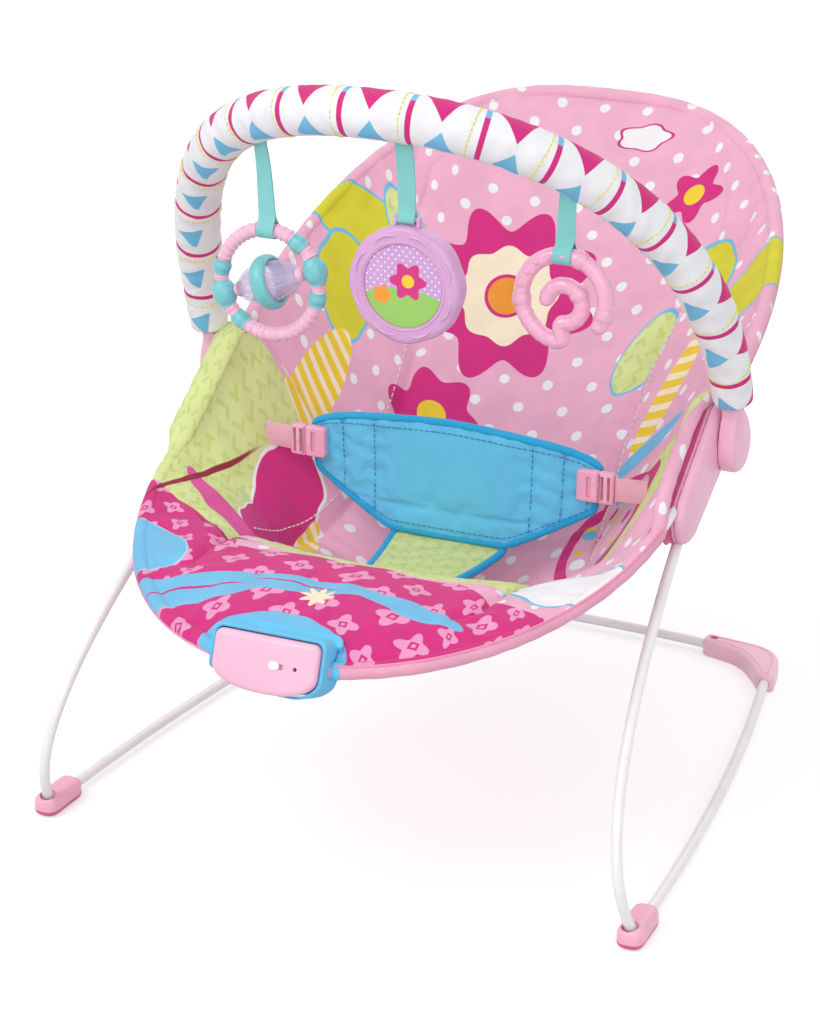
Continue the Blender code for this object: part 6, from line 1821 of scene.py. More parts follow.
# Hubs
@dataclass
class Hubs:
    """The side hubs that clamp the wires: an outer cover over an inner shell."""

    x: float = 0.209
    y: float = 0.215
    z: float = 0.2844
    angle: float = 32.0
    inner: float = 0.007
    outer: float = 0.0125
    corners: tuple[tuple[float, float], ...] = (
        (-0.0344, 0.0194), (-0.0490, 0.0090), (-0.0520, -0.0060), (-0.0480, -0.0167), (-0.0344, -0.0253),
        (0.0600, -0.0300), (0.0720, -0.0180), (0.0745, 0.0040), (0.0680, 0.0185), (0.0560, 0.0266))
    radii: tuple[float, ...] = (0.004, 0.006, 0.008, 0.008, 0.010, 0.012, 0.012, 0.008, 0.006, 0.006)
    pin: tuple[float, float] = (0.2595, 0.3040)
    spine: tuple[tuple[float, float], ...] = ((-0.0330, -0.0040), (0.0560, -0.0015))

    def place(self, side: int) -> Matrix:
        """Return a hub's frame: its length, its width, and outwards."""
        cos, sin = math.cos(math.radians(self.angle)), math.sin(math.radians(self.angle))
        return Matrix(((0, 0, side, side * self.x), (side * cos, -sin, 0, self.y),
                       (side * sin, cos, 0, self.z), (0, 0, 0, 1)))

    def build(self) -> None:
        """Build both hubs."""
        for label, side in SIDES:
            outline = rounded(self.corners, self.radii, 6)[::-1]
            outline = outline * (side, 1) if side > 0 else (outline * (side, 1))[::-1]
            place = self.place(side)
            crown = moved(self.crown(outline), place)
            cover = skin(label + "_hub_cover", crown, HUB_PLASTIC, None, False, True)
            under = slab(label + "_hub_back", drawn_in(outline, 0.0008),
                         edge_levels(-self.inner, -GAP / 2, 0.0018, 0.0003), place, DEEP_PINK_AND_SHADE_PLASTIC)
            for piece in (cover, under):
                carved(piece, *self.channels(side))
            pin_x = self.x + self.outer + GAP + 0.0035
            pin_place = Matrix.Translation((side * pin_x, *self.pin)) @ Matrix.Rotation(math.pi / 2, 4, "Y")
            pin = turned("pin", post(0.0045, -0.004, 0.0035), 24, pin_place, HUB_PLASTIC)
            cover = joined(label + "_hub_cover", [cover, pin])
            settle(cover, "seat_frame", "pink_moulding", label + "_hub_outer")
            settle(under, "seat_frame", "deep_moulding", label + "_hub_inner")
            # A thin darker ridge round the cover's wall is painted shade, standing for the dark line along
            # the cover's edge.
            path = moved(np.c_[drawn_in(outline, -0.0001), np.full(len(outline), 0.0030)], place)
            seam = sweep(label + "_hub_line", path, ring(0.0005, 6), SCREW_AND_GROOVE_SHADE_PLASTIC, up=ACROSS, loop=True)
            settle(seam, "seat_frame", "deep_moulding")

    def crown(self, outline: Array) -> Array:
        """Return rows of points that rise from an outline to a smooth crown over the hub's middle line."""
        first, last = np.array(self.spine)
        ahead = last - first
        share = np.clip((outline - first) @ ahead / (ahead @ ahead), 0, 1)[:, None]
        middle = first + ahead * share
        rows = [(0.012, GAP / 2), (0.0, GAP / 2 + 0.0004)]
        wall, crest = 0.0052, self.outer - 0.0009
        for turn in np.radians(np.linspace(0, 90, 9)):
            rows.append((0.46 * (1 - math.cos(turn)), wall + (crest - wall) * math.sin(turn)))
        for s in (0.3, 0.65, 1.0):
            rows.append((0.46 + 0.5 * s, crest + (self.outer - crest) * (1 - (1 - s) ** 2)))
        return np.array([np.c_[outline + (middle - outline) * inward, np.full(len(outline), height)]
                         for inward, height in rows])

    def channels(self, side: int) -> list[bpy.types.Object]:
        """Return the cutters for the three tubes that a hub clamps."""
        shape = SeatShape()
        routes = {"leg": Legs().path(side)[38:][::-1],
                  "back": spaced(shape.back(np.linspace(0, 180, 400)), 90)[::side][:12],
                  "front": shape.front_wire()[::side][:10]}
        tools = []
        for name, route in routes.items():
            lead = route[0] + unit(route[0] - route[1]) * GAP * 1.5
            tools.append(wire("cut_" + name, np.r_[[lead], route], HUB_PLASTIC, TUBE_R + GAP, 20))
        return tools


# Harness
@dataclass
class Harness:
    """The padded waist harness with its piping, its stitches and its crotch flap."""

    shape: SeatShape
    y: float = 0.2370
    half: float = 0.128
    top: float = 0.3000
    corner_drop: float = 0.008
    tip_top: float = 0.2850
    tip: float = 0.2400
    waist: float = 0.1990
    waist_half: float = 0.052
    sweep_back: float = 0.004
    thick: float = 0.009
    edge_thick: float = 0.0045
    arc: float = 0.020
    flap_half: float = 0.051
    flap_front_half: float = 0.035
    flap_front_y: float = 0.132
    flap_thick: float = 0.006
    piping: float = 0.0033
    seams: tuple[float, ...] = (-0.098, -0.068, 0.072, 0.098)
    cross_seam: float = 0.222
    seam_reach: float = 0.0022
    ripple_pitch: float = 0.016
    spread: float = 0.985
    filling: tuple[float, float, float] = (4.0, 0.0030, 0.03)

    def depth(self, x: Any, z: Any) -> Array:
        """Return the harness's place front to back."""
        bow = self.arc * (1 - (x / self.half) ** 2)
        low = np.maximum(0.0, (self.tip - z) / (self.tip - self.waist))
        return self.y - bow * 0.5 - self.sweep_back * low

    def edges(self, u: Any) -> tuple[Array, Array]:
        """Return the lower and upper edge heights at a share of the half width."""
        share = self.waist_half / self.half
        rise = np.maximum(0.0, (np.abs(u) - share) / (1 - share))
        low = self.waist + (self.tip - self.waist) * rise ** 1.1
        fall = (self.tip_top - self.top) * np.abs(u) ** 1.6
        return low, self.top + fall - self.corner_drop * np.abs(u) ** 8

    def point(self, u: Any, v: Any) -> Array:
        """Return the middle surface's point at shares of the half width and the height."""
        low, high = self.edges(u)
        z = low + (high - low) * v
        x = self.half * (1 - 0.03 * (1 - v)) * u
        return np.stack(np.broadcast_arrays(x, self.depth(x, z), z), -1)

    def build(self) -> None:
        """Build the harness, flap, piping and stitches."""
        u = np.linspace(-1, 1, 79)[None, :] * self.spread
        v = np.linspace(0.025, 0.975, 37)[:, None]
        middle = self.point(u, v)
        seams = np.minimum.reduce([np.abs(middle[..., 0] - s) for s in self.seams])
        cross = np.abs(middle[..., 2] - self.cross_seam)
        groove = np.maximum(np.exp(-(seams / self.seam_reach) ** 2),
                            0.8 * np.exp(-(cross / self.seam_reach) ** 2))
        body = (1 - (u / self.spread) ** 6) * (1 - (2 * v - 1) ** 4)
        ripple = np.sin(middle[..., 2] * 2 * np.pi / self.ripple_pitch + 2 * np.sin(middle[..., 0] * 70))
        bulge = self.edge_thick * 0.42 + 0.0012 * body - 0.0022 * groove
        bulge = bulge + 0.0007 * ripple * np.exp(-seams / 0.010) * body
        front, rear = middle.copy(), middle.copy()
        front[..., 1] -= bulge
        rear[..., 1] += bulge
        pad = self.cushion(np.stack([front, rear]))
        rim = (np.abs(u) > 0.96) | (v < 0.05) | (v > 0.95)
        held = np.maximum(groove, rim).ravel()
        filled_out(pad, np.r_[held, held], *self.filling)
        softened(pad)
        settle(pad, "seat_frame", "blue_cloth", "harness_pad")
        self.build_piping()
        self.build_flap()

    def cushion(self, sides: Array) -> bpy.types.Object:
        """Make the closed cushion from its two faces."""
        mesh = bpy.data.meshes.new("harness_cushion")
        mesh.from_pydata((sides.reshape(-1, 3) + SHIFT).tolist(), [], shell_faces(*sides.shape[1:3]))
        return finished("harness_cushion", mesh, BLUE_CLOTH, 180.0)

    def rim_path(self, inset: float) -> Array:
        """Return the closed line round the harness, drawn in by a share."""
        u = np.linspace(-1, 1, 90) * (1 - inset)
        v = np.linspace(inset * 1.6, 1 - inset * 1.6, 26)
        bottom, top = self.point(u, v[0]), self.point(u, v[-1])
        right, left = self.point(u[-1], v), self.point(u[0], v)
        return relaxed(np.r_[bottom, right[1:-1], top[::-1], left[::-1][1:-1]], 3, True)

    def build_piping(self) -> None:
        """Build the piping round the rim and the stitches inside it."""
        path = self.rim_path(0.016)
        wobble = 1 + 0.04 * np.sin(walked(path) * 2 * np.pi / 0.017)
        section = ring(self.piping, 14)
        piece = sweep("harness_piping", path, section, BLUE_BINDING, LENGTHWISE, wobble, loop=True)
        settle(piece, "seat_frame", "blue_cloth")
        inner = self.rim_path(0.060) - (0.0, 0.0048, 0.0)
        run = STITCHES.along("harness_stitches", inner, THREAD_BLUE, True, pitch=0.0050, length=0.0032,
                             radius=0.00045)
        settle(run, "seat_frame", "blue_cloth")
        lines = []
        forward = (0.0, self.edge_thick * 0.42 + 0.0004, 0.0)
        for x in self.seams:
            line = self.point(np.full(24, x / self.half), np.linspace(0.10, 0.90, 24)) - forward
            lines.append(STITCHES.along("seam", line, THREAD_BLUE, pitch=0.0046, length=0.0030,
                                        radius=0.00045))
        settle(joined("harness_seam_stitches", lines), "seat_frame", "blue_cloth")

    def build_flap(self) -> None:
        """Build the crotch flap from the harness's foot to the pad, with its piping."""
        start = np.array((0.0, float(self.depth(0.0, self.waist)) + 0.002,
                          self.waist - self.flap_thick / 2 - 2 * GAP))
        end_z = float(self.shape.centre(self.flap_front_y)) + self.flap_thick / 2 + 0.0010
        middle = (0.0, (start[1] + self.flap_front_y) / 2, (start[2] + end_z) / 2 - 0.006)
        path = bezier(start, middle, (0.0, self.flap_front_y, end_z), 36)
        share = np.linspace(0, 1, 36)
        half = self.flap_half + (self.flap_front_half - self.flap_half) * share
        across = np.linspace(-1, 1, 25)
        x = half[:, None] * across[None, :] * 0.95
        swell = self.flap_thick * (0.25 + 0.25 * (1 - across ** 4))[None, :]
        ripple = 0.0005 * np.sin(share[:, None] * 30 + across[None, :] * 5) * (1 - across[None, :] ** 4)
        top = np.stack([x, np.broadcast_to(path[:, 1:2], x.shape), path[:, 2:] + swell + ripple], -1)
        low = np.stack([x, np.broadcast_to(path[:, 1:2], x.shape), path[:, 2:] - swell], -1)
        loop = np.concatenate([top, low[:, ::-1]], 1)
        along = walked(path)[:, None]
        u = np.r_[across * self.flap_half, across[::-1] * self.flap_half, across[:1] * self.flap_half]
        uvs = np.stack(np.broadcast_arrays(u[None, :], along), -1)
        flap = skin("crotch_flap_cloth", loop, FLAP_PRINT, uvs, False, True)
        settle(flap, "seat_frame", "green_cloth", "crotch_flap")
        for label, side in SIDES:
            edge = np.stack([side * half * 0.96, path[:, 1], path[:, 2]], 1)
            tuck = edge[0] + (side * -0.0015, 0.0040, 0.0075)
            edge = relaxed(np.r_[[tuck, (tuck + edge[0]) / 2], edge], 2)
            piece = sweep(label + "_flap_piping", edge, ring(self.piping, 12), BLUE_BINDING)
            settle(piece, "seat_frame", "blue_cloth")


@dataclass
class Buckles:
    """The release buckles and the webbing straps."""

    harness: Harness
    z: float = 0.2640
    height: float = 0.026
    thick: float = 0.0075
    socket: float = 0.018
    plug: float = 0.013
    tongue: float = 0.011
    wall: float = 0.0015
    web: tuple[float, float] = (0.020, 0.0014)
    anchor: tuple[float, float] = (0.1682, 0.2300)
    window: tuple[float, float] = (0.0042, 0.0105)
    slots: tuple[float, float] = (0.0035, 0.0090)
    slot_width: float = 0.0026

    def build(self) -> None:
        """Build each side's buckle and strap."""
        pad = self.harness
        base = pad.half - self.socket * 0.95
        backing = (pad.edge_thick + (pad.thick - pad.edge_thick) * (1 - (base / pad.half) ** 6)) / 2
        y = float(pad.depth(base, self.z)) - backing - self.thick / 2 - 1.5 * GAP
        for label, side in SIDES:
            self.build_socket(label, self.frame(side, base, y))
            self.build_plug(label, self.frame(side, base + self.socket + GAP, y))
            self.build_strap(label, side, base + self.socket + GAP, y)

    def frame(self, side: int, x: float, y: float) -> Matrix:
        """Return a buckle's frame: outwards, up, and towards the front."""
        return Matrix(((side, 0, 0, side * x), (0, 0, -1, y), (0, 1, 0, self.z), (0, 0, 0, 1)))

    def build_socket(self, label: str, place: Matrix) -> None:
        """Build the socket half: a hollow body with a window in its face."""
        h, t, reach = self.height / 2, self.thick / 2, self.socket
        outline = rounded([(0.0, -h), (reach, -h), (reach, h), (0.0, h)], (0.003, 0.002, 0.002, 0.003), 6)
        body = slab(label + "_socket", outline, edge_levels(-t, t, 0.0010, 0.0016), place, BUCKLE_PLASTIC)
        room = strip(self.tongue * 2 + 2 * GAP, self.height - 2 * self.wall, 0.0004) + (reach, 0.0)
        wide, middle = self.window
        window = strip(wide, self.height - 0.0090, 0.0010) + (middle, 0.0)
        tools = (("room", room, -t + self.wall, t - self.wall), ("window", window, t - 0.0022, t + 0.001))
        carved(body, *[slab(name, shape, [(low, 0.0), (high, 0.0)], place, BUCKLE_PLASTIC)
                       for name, shape, low, high in tools])
        settle(body, "seat_frame", "pale_moulding", label + "_buckle_socket")

    def build_plug(self, label: str, place: Matrix) -> None:
        """Build the plug half: a tongue, and a plate with two slots for the webbing."""
        h, t, reach = self.height / 2, self.thick / 2, self.plug
        outline = rounded([(0.0, -h), (reach, -h), (reach, h), (0.0, h)], (0.001, 0.003, 0.003, 0.001), 6)
        plate = slab(label + "_plug", outline, edge_levels(-t, t, 0.0010, 0.0016), place, BUCKLE_PLASTIC)
        slots = []
        for at in self.slots:
            hole = strip(self.slot_width, self.web[0] + 2 * GAP, 0.0006) + (at, 0.0)
            slots.append(slab("slot", hole, [(-self.thick, 0.0), (self.thick, 0.0)], place, BUCKLE_PLASTIC))
        carved(plate, *slots)
        size = strip(self.tongue + 0.002, self.height - 2 * self.wall - 4 * GAP, 0.0016)
        levels = edge_levels(-t + self.wall + GAP, t - self.wall - GAP, 0.0004, 0.0004)
        tongue = slab("tongue", size - (self.tongue / 2 - 0.001, 0.0), levels, place, BUCKLE_PLASTIC)
        whole = joined(label + "_plug", [plate, tongue])
        settle(whole, label + "_plug", "pale_moulding", label + "_buckle_plug")

    def build_strap(self, label: str, side: int, x: float, y: float) -> None:
        """Build the webbing from the buckle to its anchor at the hub."""
        bar = x + self.plug + 2 * GAP
        path = bezier((side * bar, y, self.z), (side * (bar + 0.004), y, self.z),
                      (side * self.anchor[0], self.anchor[1], self.z), 26)
        width, thick = self.web
        section = strip(thick, width, thick * 0.45, 2)
        strap = sweep(label + "_strap", path, section, WEBBING, sharp=70.0)
        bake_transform(strap)
        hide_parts(label + "_waist_strap")


# Vibration unit
@dataclass
class VibrationUnit:
    """The vibration unit on the front tube: shells, switch, lamp hole and the works inside."""

    shape: SeatShape
    width: float = 0.084
    height: float = 0.042
    tilt: float = 20.0
    front: float = 0.013
    rear: float = 0.0215
    wall: float = 0.0020
    corner: float = 0.006
    power: float = 2.3
    cheek: float = 0.003
    land: float = 0.0003217
    knob: tuple[float, float, float, float] = (0.009, 0.001, 0.0075, 0.0055)
    lamp_x: float = 0.0255
    lamp_r: float = 0.0016
    cloth: tuple[float, float] = (0.0010, 0.0034)
    binding: tuple[float, float, float] = (0.0078, 0.0030, 0.0014)
    binding_out: float = 0.0040
    collar: tuple[float, float] = (0.0038, 0.0122)

    def outline(self, grow: float = 0.0) -> Array:
        """Return the unit's face: straight along the top and round below."""
        w, h = self.width / 2 + grow, self.height / 2 + grow
        wide, deep = arch(np.linspace(0, 180, 61), self.power)
        parts = [np.stack([-w * wide, -self.cheek - (h - self.cheek) * deep], 1)]
        for start, middle in ((0, w - self.corner), (90, -w + self.corner)):
            turns = np.radians(start + np.linspace(0, 90, 9))
            parts.append(np.stack([middle + self.corner * np.cos(turns),
                                   h - self.corner + self.corner * np.sin(turns)], 1))
        return np.concatenate(parts)

    def place(self) -> Matrix:
        """Return the unit's frame: across, up its face, and outwards."""
        angles = np.linspace(1, 90, 4000)
        x = self.shape.front(angles)[:, 0]
        wall = self.shape.front(float(np.interp(-self.width / 2, -x, angles)))[0]
        nose = self.shape.front(90.0)[0]
        tilt = math.radians(self.tilt)
        outward = np.array((0.0, -math.cos(tilt), math.sin(tilt)))
        fall = float((wall - nose) @ outward)
        centre = nose + outward * (fall + TUBE_R + GAP + self.land)
        return Matrix.Translation(centre) @ Matrix.Rotation(math.radians(90 - self.tilt), 4, "X")

    def build(self) -> None:
        """Build the front shell, the switch and the cloth round them, and finish the works."""
        place, outline = self.place(), self.outline()
        levels = edge_levels(GAP / 2, self.front, 0.0003, 0.0042)
        face = slab("unit_face", outline, levels, place, PALE_PLASTIC, 0.0008)
        x, y, length, high = self.knob
        slot = strip(length * 0.55 + 0.005 + 2 * GAP, high * 0.6 + 2 * GAP, 0.0012) + (x + 0.0025, y)
        tools = (("room", drawn_in(outline, self.wall), -0.001, self.front - self.wall - 0.002),
                 ("slot", slot, self.front - 0.0018, self.front + 0.004))
        cutters = [slab(name, shape, [(low, 0.0), (top, 0.0)], place, PALE_PLASTIC)
                   for name, shape, low, top in tools]
        lamp_place = place @ Matrix.Translation((self.lamp_x, y, self.front))
        cutters.append(turned("lamp", post(self.lamp_r, -0.006, 0.004), 20, lamp_place, PALE_PLASTIC))
        cutters.append(wire("run", self.wire_run(), PALE_PLASTIC, TUBE_R + GAP))
        settle(carved(face, *cutters), "seat_frame", "pale_moulding", "unit_front_shell")
        self.build_knob(place)
        for node, finish in (("unit_rear_shell", PALE_PLASTIC), ("unit_battery_door", PALE_PLASTIC),
                             ("unit_battery", CELL_JACKET), ("unit_motor", STEEL),
                             ("unit_eccentric_weight", STEEL)):
            dress(node, finish)
        self.build_binding(place)
        self.build_skirt(place)
        self.build_collars()

    def build_skirt(self, place: Matrix) -> None:
        """Build the blue cloth that wraps the unit's flanks and thins out below it."""
        near, far = (self.outline(grow) for grow in self.cloth)
        turns = np.degrees(np.arctan2(near[:, 0], -near[:, 1])) % 360
        keep = np.flatnonzero(((near[:, 0] > 0.004) | (near[:, 1] > 0) | (near[:, 0] < -0.037)) & (turns > 2))
        keep = keep[np.argsort(turns[keep])]
        count = np.arange(len(keep))
        reach = eased(np.clip(np.minimum(count / 14, (count[-1] - count) / 7), 0.02, 1))[:, None]
        inner = near[keep]
        outer = inner + (far[keep] - inner) * (0.25 + 0.75 * reach)
        low, high, lip = -0.0050 - 0.0140 * reach, -0.0040 + 0.0128 * reach, 0.0004 + 0.0003 * reach
        rows = [np.c_[inner, low], np.c_[outer, low + lip], np.c_[outer, high - lip],
                np.c_[(inner + outer) / 2, high], np.c_[inner, high - lip]]
        points = np.stack(rows, 1)
        spots = moved(points.reshape(-1, 3), place).reshape(points.shape)
        skirt = skin("unit_skirt", spots, BLUE_CLOTH, None, False, True)
        carved(skirt, wire("run", self.wire_run(), BLUE_CLOTH, TUBE_R + GAP))
        settle(skirt, "seat_frame", "blue_cloth")

    def wire_run(self) -> Array:
        """Return the stretch of the front tube that passes the unit."""
        path = self.shape.front_wire()
        middle, reach = walked(path)[-1] / 2, self.width / 2 + 0.012
        return stretch(path, middle - reach, middle + reach, 24)

    def build_knob(self, place: Matrix) -> None:
        """Build the oval white switch knob on its stem."""
        x, y, length, high = self.knob
        knob_place = place @ Matrix.Translation((x, y, self.front))
        oval = ring(0.60, 40) * (length, high)
        levels = edge_levels(GAP, 0.0020, 0.0002, 0.0010)
        knob = slab("switch_cap", oval, levels, knob_place, WHITE_PLASTIC, 0.0002)
        stem = slab("stem", strip(length * 0.5, high * 0.6 - GAP, 0.0008),
                    [(-0.0014, 0.0), (GAP * 2, 0.0)], knob_place, WHITE_PLASTIC)
        settle(joined("switch_cap", [knob, stem]), "switch_knob", "white_plastic", "unit_switch_knob")

    def build_binding(self, place: Matrix) -> None:
        """Build the blue binding of the pad's edge over the unit."""
        turn, base = np.array(place)[:3, :3], np.array(place)[:3, 3]
        path = []
        for a, b in self.outline(self.binding_out):
            low, high = -0.020, 0.016
            for _ in range(24):
                level = (low + high) / 2
                point = base + turn @ np.array((a, b, level))
                if point[2] > float(self.shape.centre(point[1])) - 0.0016:
                    high = level
                else:
                    low = level
            if level < 0.0155 and b > 0:
                path.append(point)
        path = np.array(sorted(path, key=lambda spot: -math.atan2(spot[1] + 0.09, spot[0])))
        path = relaxed(spaced(path, 90), 8)
        section = strip(*self.binding, 3)
        piece = sweep("unit_binding", path, section, BLUE_CLOTH, up=(0.0, -0.35, 1.0))
        settle(piece, "seat_frame", "blue_cloth")

    def build_collars(self) -> None:
        """Build the blue collars round the wire at the unit's two ends."""
        front = self.shape.front_wire()
        middle = walked(front)[-1] / 2
        inner, outer = (self.width / 2 + reach for reach in self.collar)
        section = ring(self.shape.sleeve_r * 1.10, 20)
        swell = np.sqrt(np.clip(1 - np.linspace(-1, 1, 12) ** 6, 0.55, 1))
        for label, side in SIDES:
            ends = (middle + inner, middle + outer) if side < 0 else (middle - outer, middle - inner)
            route = stretch(front, *ends, 12)
            collar = sweep(label + "_unit_collar", route, section, BLUE_CLOTH, scales=swell)
            settle(collar, "seat_frame", "blue_cloth")


def dress(node: str, finish: Finish) -> None:
    """Give a CAD node that stays in the scene its finish."""
    for slot in frame["nodes"][node].material_slots:
        slot.material = finish.material()


# Toy bar
@dataclass
class ToyBar:
    """The padded toy bar: its printed sleeve, its tube and the knuckles that it turns on."""

    x: float = 0.209 + 0.0125 + GAP + 0.007
    pivot: tuple[float, float] = (0.2595, 0.3040)
    lean: float = 32.5
    height: float = 0.3284
    power: float = 2.24
    bulge: float = 0.013
    bow: float = 0.0285
    tube: float = 0.0045
    radius: float = 0.0185
    end_radius: float = 0.0155
    taper: float = 0.090
    socket: float = 0.0390
    knuckle: float = 0.0215
    thick: float = 0.014

    def curve(self, angles: Any) -> Array:
        """Return points on the bar, 0 degrees at the +X pivot."""
        width, s = arch(np.atleast_1d(angles), self.power)
        hump = 4 * s * (1 - s)
        cos, sin = math.cos(math.radians(self.lean)), math.sin(math.radians(self.lean))
        return np.stack([self.x * width * (1 + self.bulge * hump),
                         self.pivot[0] - self.height * s * sin + self.bow * hump * cos,
                         self.pivot[1] + self.height * s * cos + self.bow * hump * sin], 1)

    def level(self) -> tuple[float, float, float]:
        """Return the direction that the bar's own plane faces."""
        return (0.0, math.cos(math.radians(self.lean)), math.sin(math.radians(self.lean)))

    def at(self, x: float) -> Array:
        """Return the bar's centre at one distance from the middle."""
        angles = np.linspace(1, 179, 6000)
        points = self.curve(angles)
        return np.array([np.interp(-x, -points[:, 0], points[:, axis]) for axis in range(3)])

    def build(self) -> None:
        """Build the bar."""
        path = spaced(self.curve(np.linspace(0, 180, 800)), 300)
        total = walked(path)[-1]
        core = stretch(path, self.knuckle - 0.004, total - self.knuckle + 0.004, 90)
        settle(wire("bar_tube", core, WHITE_PLASTIC, self.tube), "toy_bar", "white_plastic", "toy_bar_tube")
        cover = stretch(path, self.socket, total - self.socket, 420)
        self.build_sleeve(cover)
        for label, side in SIDES:
            self.build_knuckle(label, side, path if side > 0 else path[::-1])

    def build_sleeve(self, cover: Array) -> None:
        """Build the printed sleeve with its gathers, and its bands' stitches."""
        along = walked(cover)
        length = along[-1]
        close = np.minimum(along, length - along)
        radius = self.end_radius + (self.radius - self.end_radius) * np.clip(close / self.taper, 0, 1)
        angles = full_turn(48)
        phase = along[:, None] / BAR_PITCH * 2 * np.pi
        soft = np.sin(phase * 3 + 2 * np.sin(angles * 2 + along[:, None] * 21)) * np.cos(angles - 1.0)
        fine = np.sin(along[:, None] * 410 + 3 * np.sin(angles * 3 + along[:, None] * 37))
        cell = np.mod(along / BAR_PITCH + BAR_PHASE + 0.5, 1) - 0.5
        pinch = -0.020 * np.exp(-(cell / 0.05) ** 2)[:, None]
        scales = radius[:, None] / self.radius * (1 + 0.020 * soft + 0.009 * fine + pinch)
        scales *= np.sqrt(np.clip(1 - (1 - np.clip(close / 0.005, 0, 1)) ** 2, 0.10, 1))[:, None]
        sleeve = sweep("bar_sleeve", cover, ring(self.radius, 48), BAR_CLOTH, self.level(), scales)
        settle(sleeve, "toy_bar", "bar_cloth", "toy_bar_sleeve")
        rings = []
        turns = full_turn(60)[:, None]
        for mark in np.arange(0.0345, length - 0.03, BAR_PITCH):
            spot = int(np.argmin(np.abs(along - mark)))
            side = unit(np.cross(cover[spot + 1] - cover[spot - 1], self.level()))
            reach = radius[spot] * 1.004
            loop = cover[spot] + reach * (np.cos(turns) * side + np.sin(turns) * self.level())
            rings.append(STITCHES.along("ring", loop, THREAD_LIME, True, pitch=0.0044, length=0.0029,
                                        radius=0.00055))
        settle(joined("bar_stitches", rings), "toy_bar", "bar_cloth")

    def build_knuckle(self, label: str, side: int, ends: Array) -> None:
        """Build one knuckle: a round lobe with a neck that grips the tube.

        Args:
            label: Side name.
            side: Side sign.
            ends: The bar's path, starting at this knuckle.
        """
        lean = ends[1] - ends[0]
        angle = math.atan2(-lean[1], lean[2])
        turns = np.radians(np.linspace(180, 360, 41))
        profile = np.stack([self.knuckle * np.cos(turns), self.knuckle * np.sin(turns)], 1)
        neck, end = self.tube + 0.0045, self.socket - 0.0015
        upper = bezier((self.knuckle, 0.0), (self.knuckle * 0.98, 0.0165), (neck, 0.030), 12)[1:]
        outline = np.r_[profile, upper, [(neck, end), (-neck, end)], (upper * (-1, 1))[::-1]]
        cos, sin = math.cos(angle), math.sin(angle)
        place = Matrix(((0, 0, 1, side * self.x), (cos, -sin, 0, self.pivot[0]),
                        (sin, cos, 0, self.pivot[1]), (0, 0, 0, 1)))
        levels = edge_levels(-self.thick / 2, self.thick / 2, 0.0008, 0.0052)
        if side < 0:
            levels = [(-height, inset) for height, inset in reversed(levels)]
        lobe = slab(label + "_knuckle", outline, levels, place, HUB_PLASTIC)
        core = stretch(ends, self.knuckle - 0.004 - GAP, 0.06, 12)
        pin_place = Matrix.Translation((side * (self.x - self.thick / 2), *self.pivot))
        pin_place = pin_place @ Matrix.Rotation(math.pi / 2, 4, "Y")
        reach = self.thick * 0.75 + GAP
        pin = turned("pin", post(0.0048, -reach, reach), 24, pin_place, HUB_PLASTIC)
        carved(lobe, wire("core", core, HUB_PLASTIC, self.tube + GAP), pin)
        settle(lobe, "toy_bar", "pink_moulding", label + "_bar_knuckle")


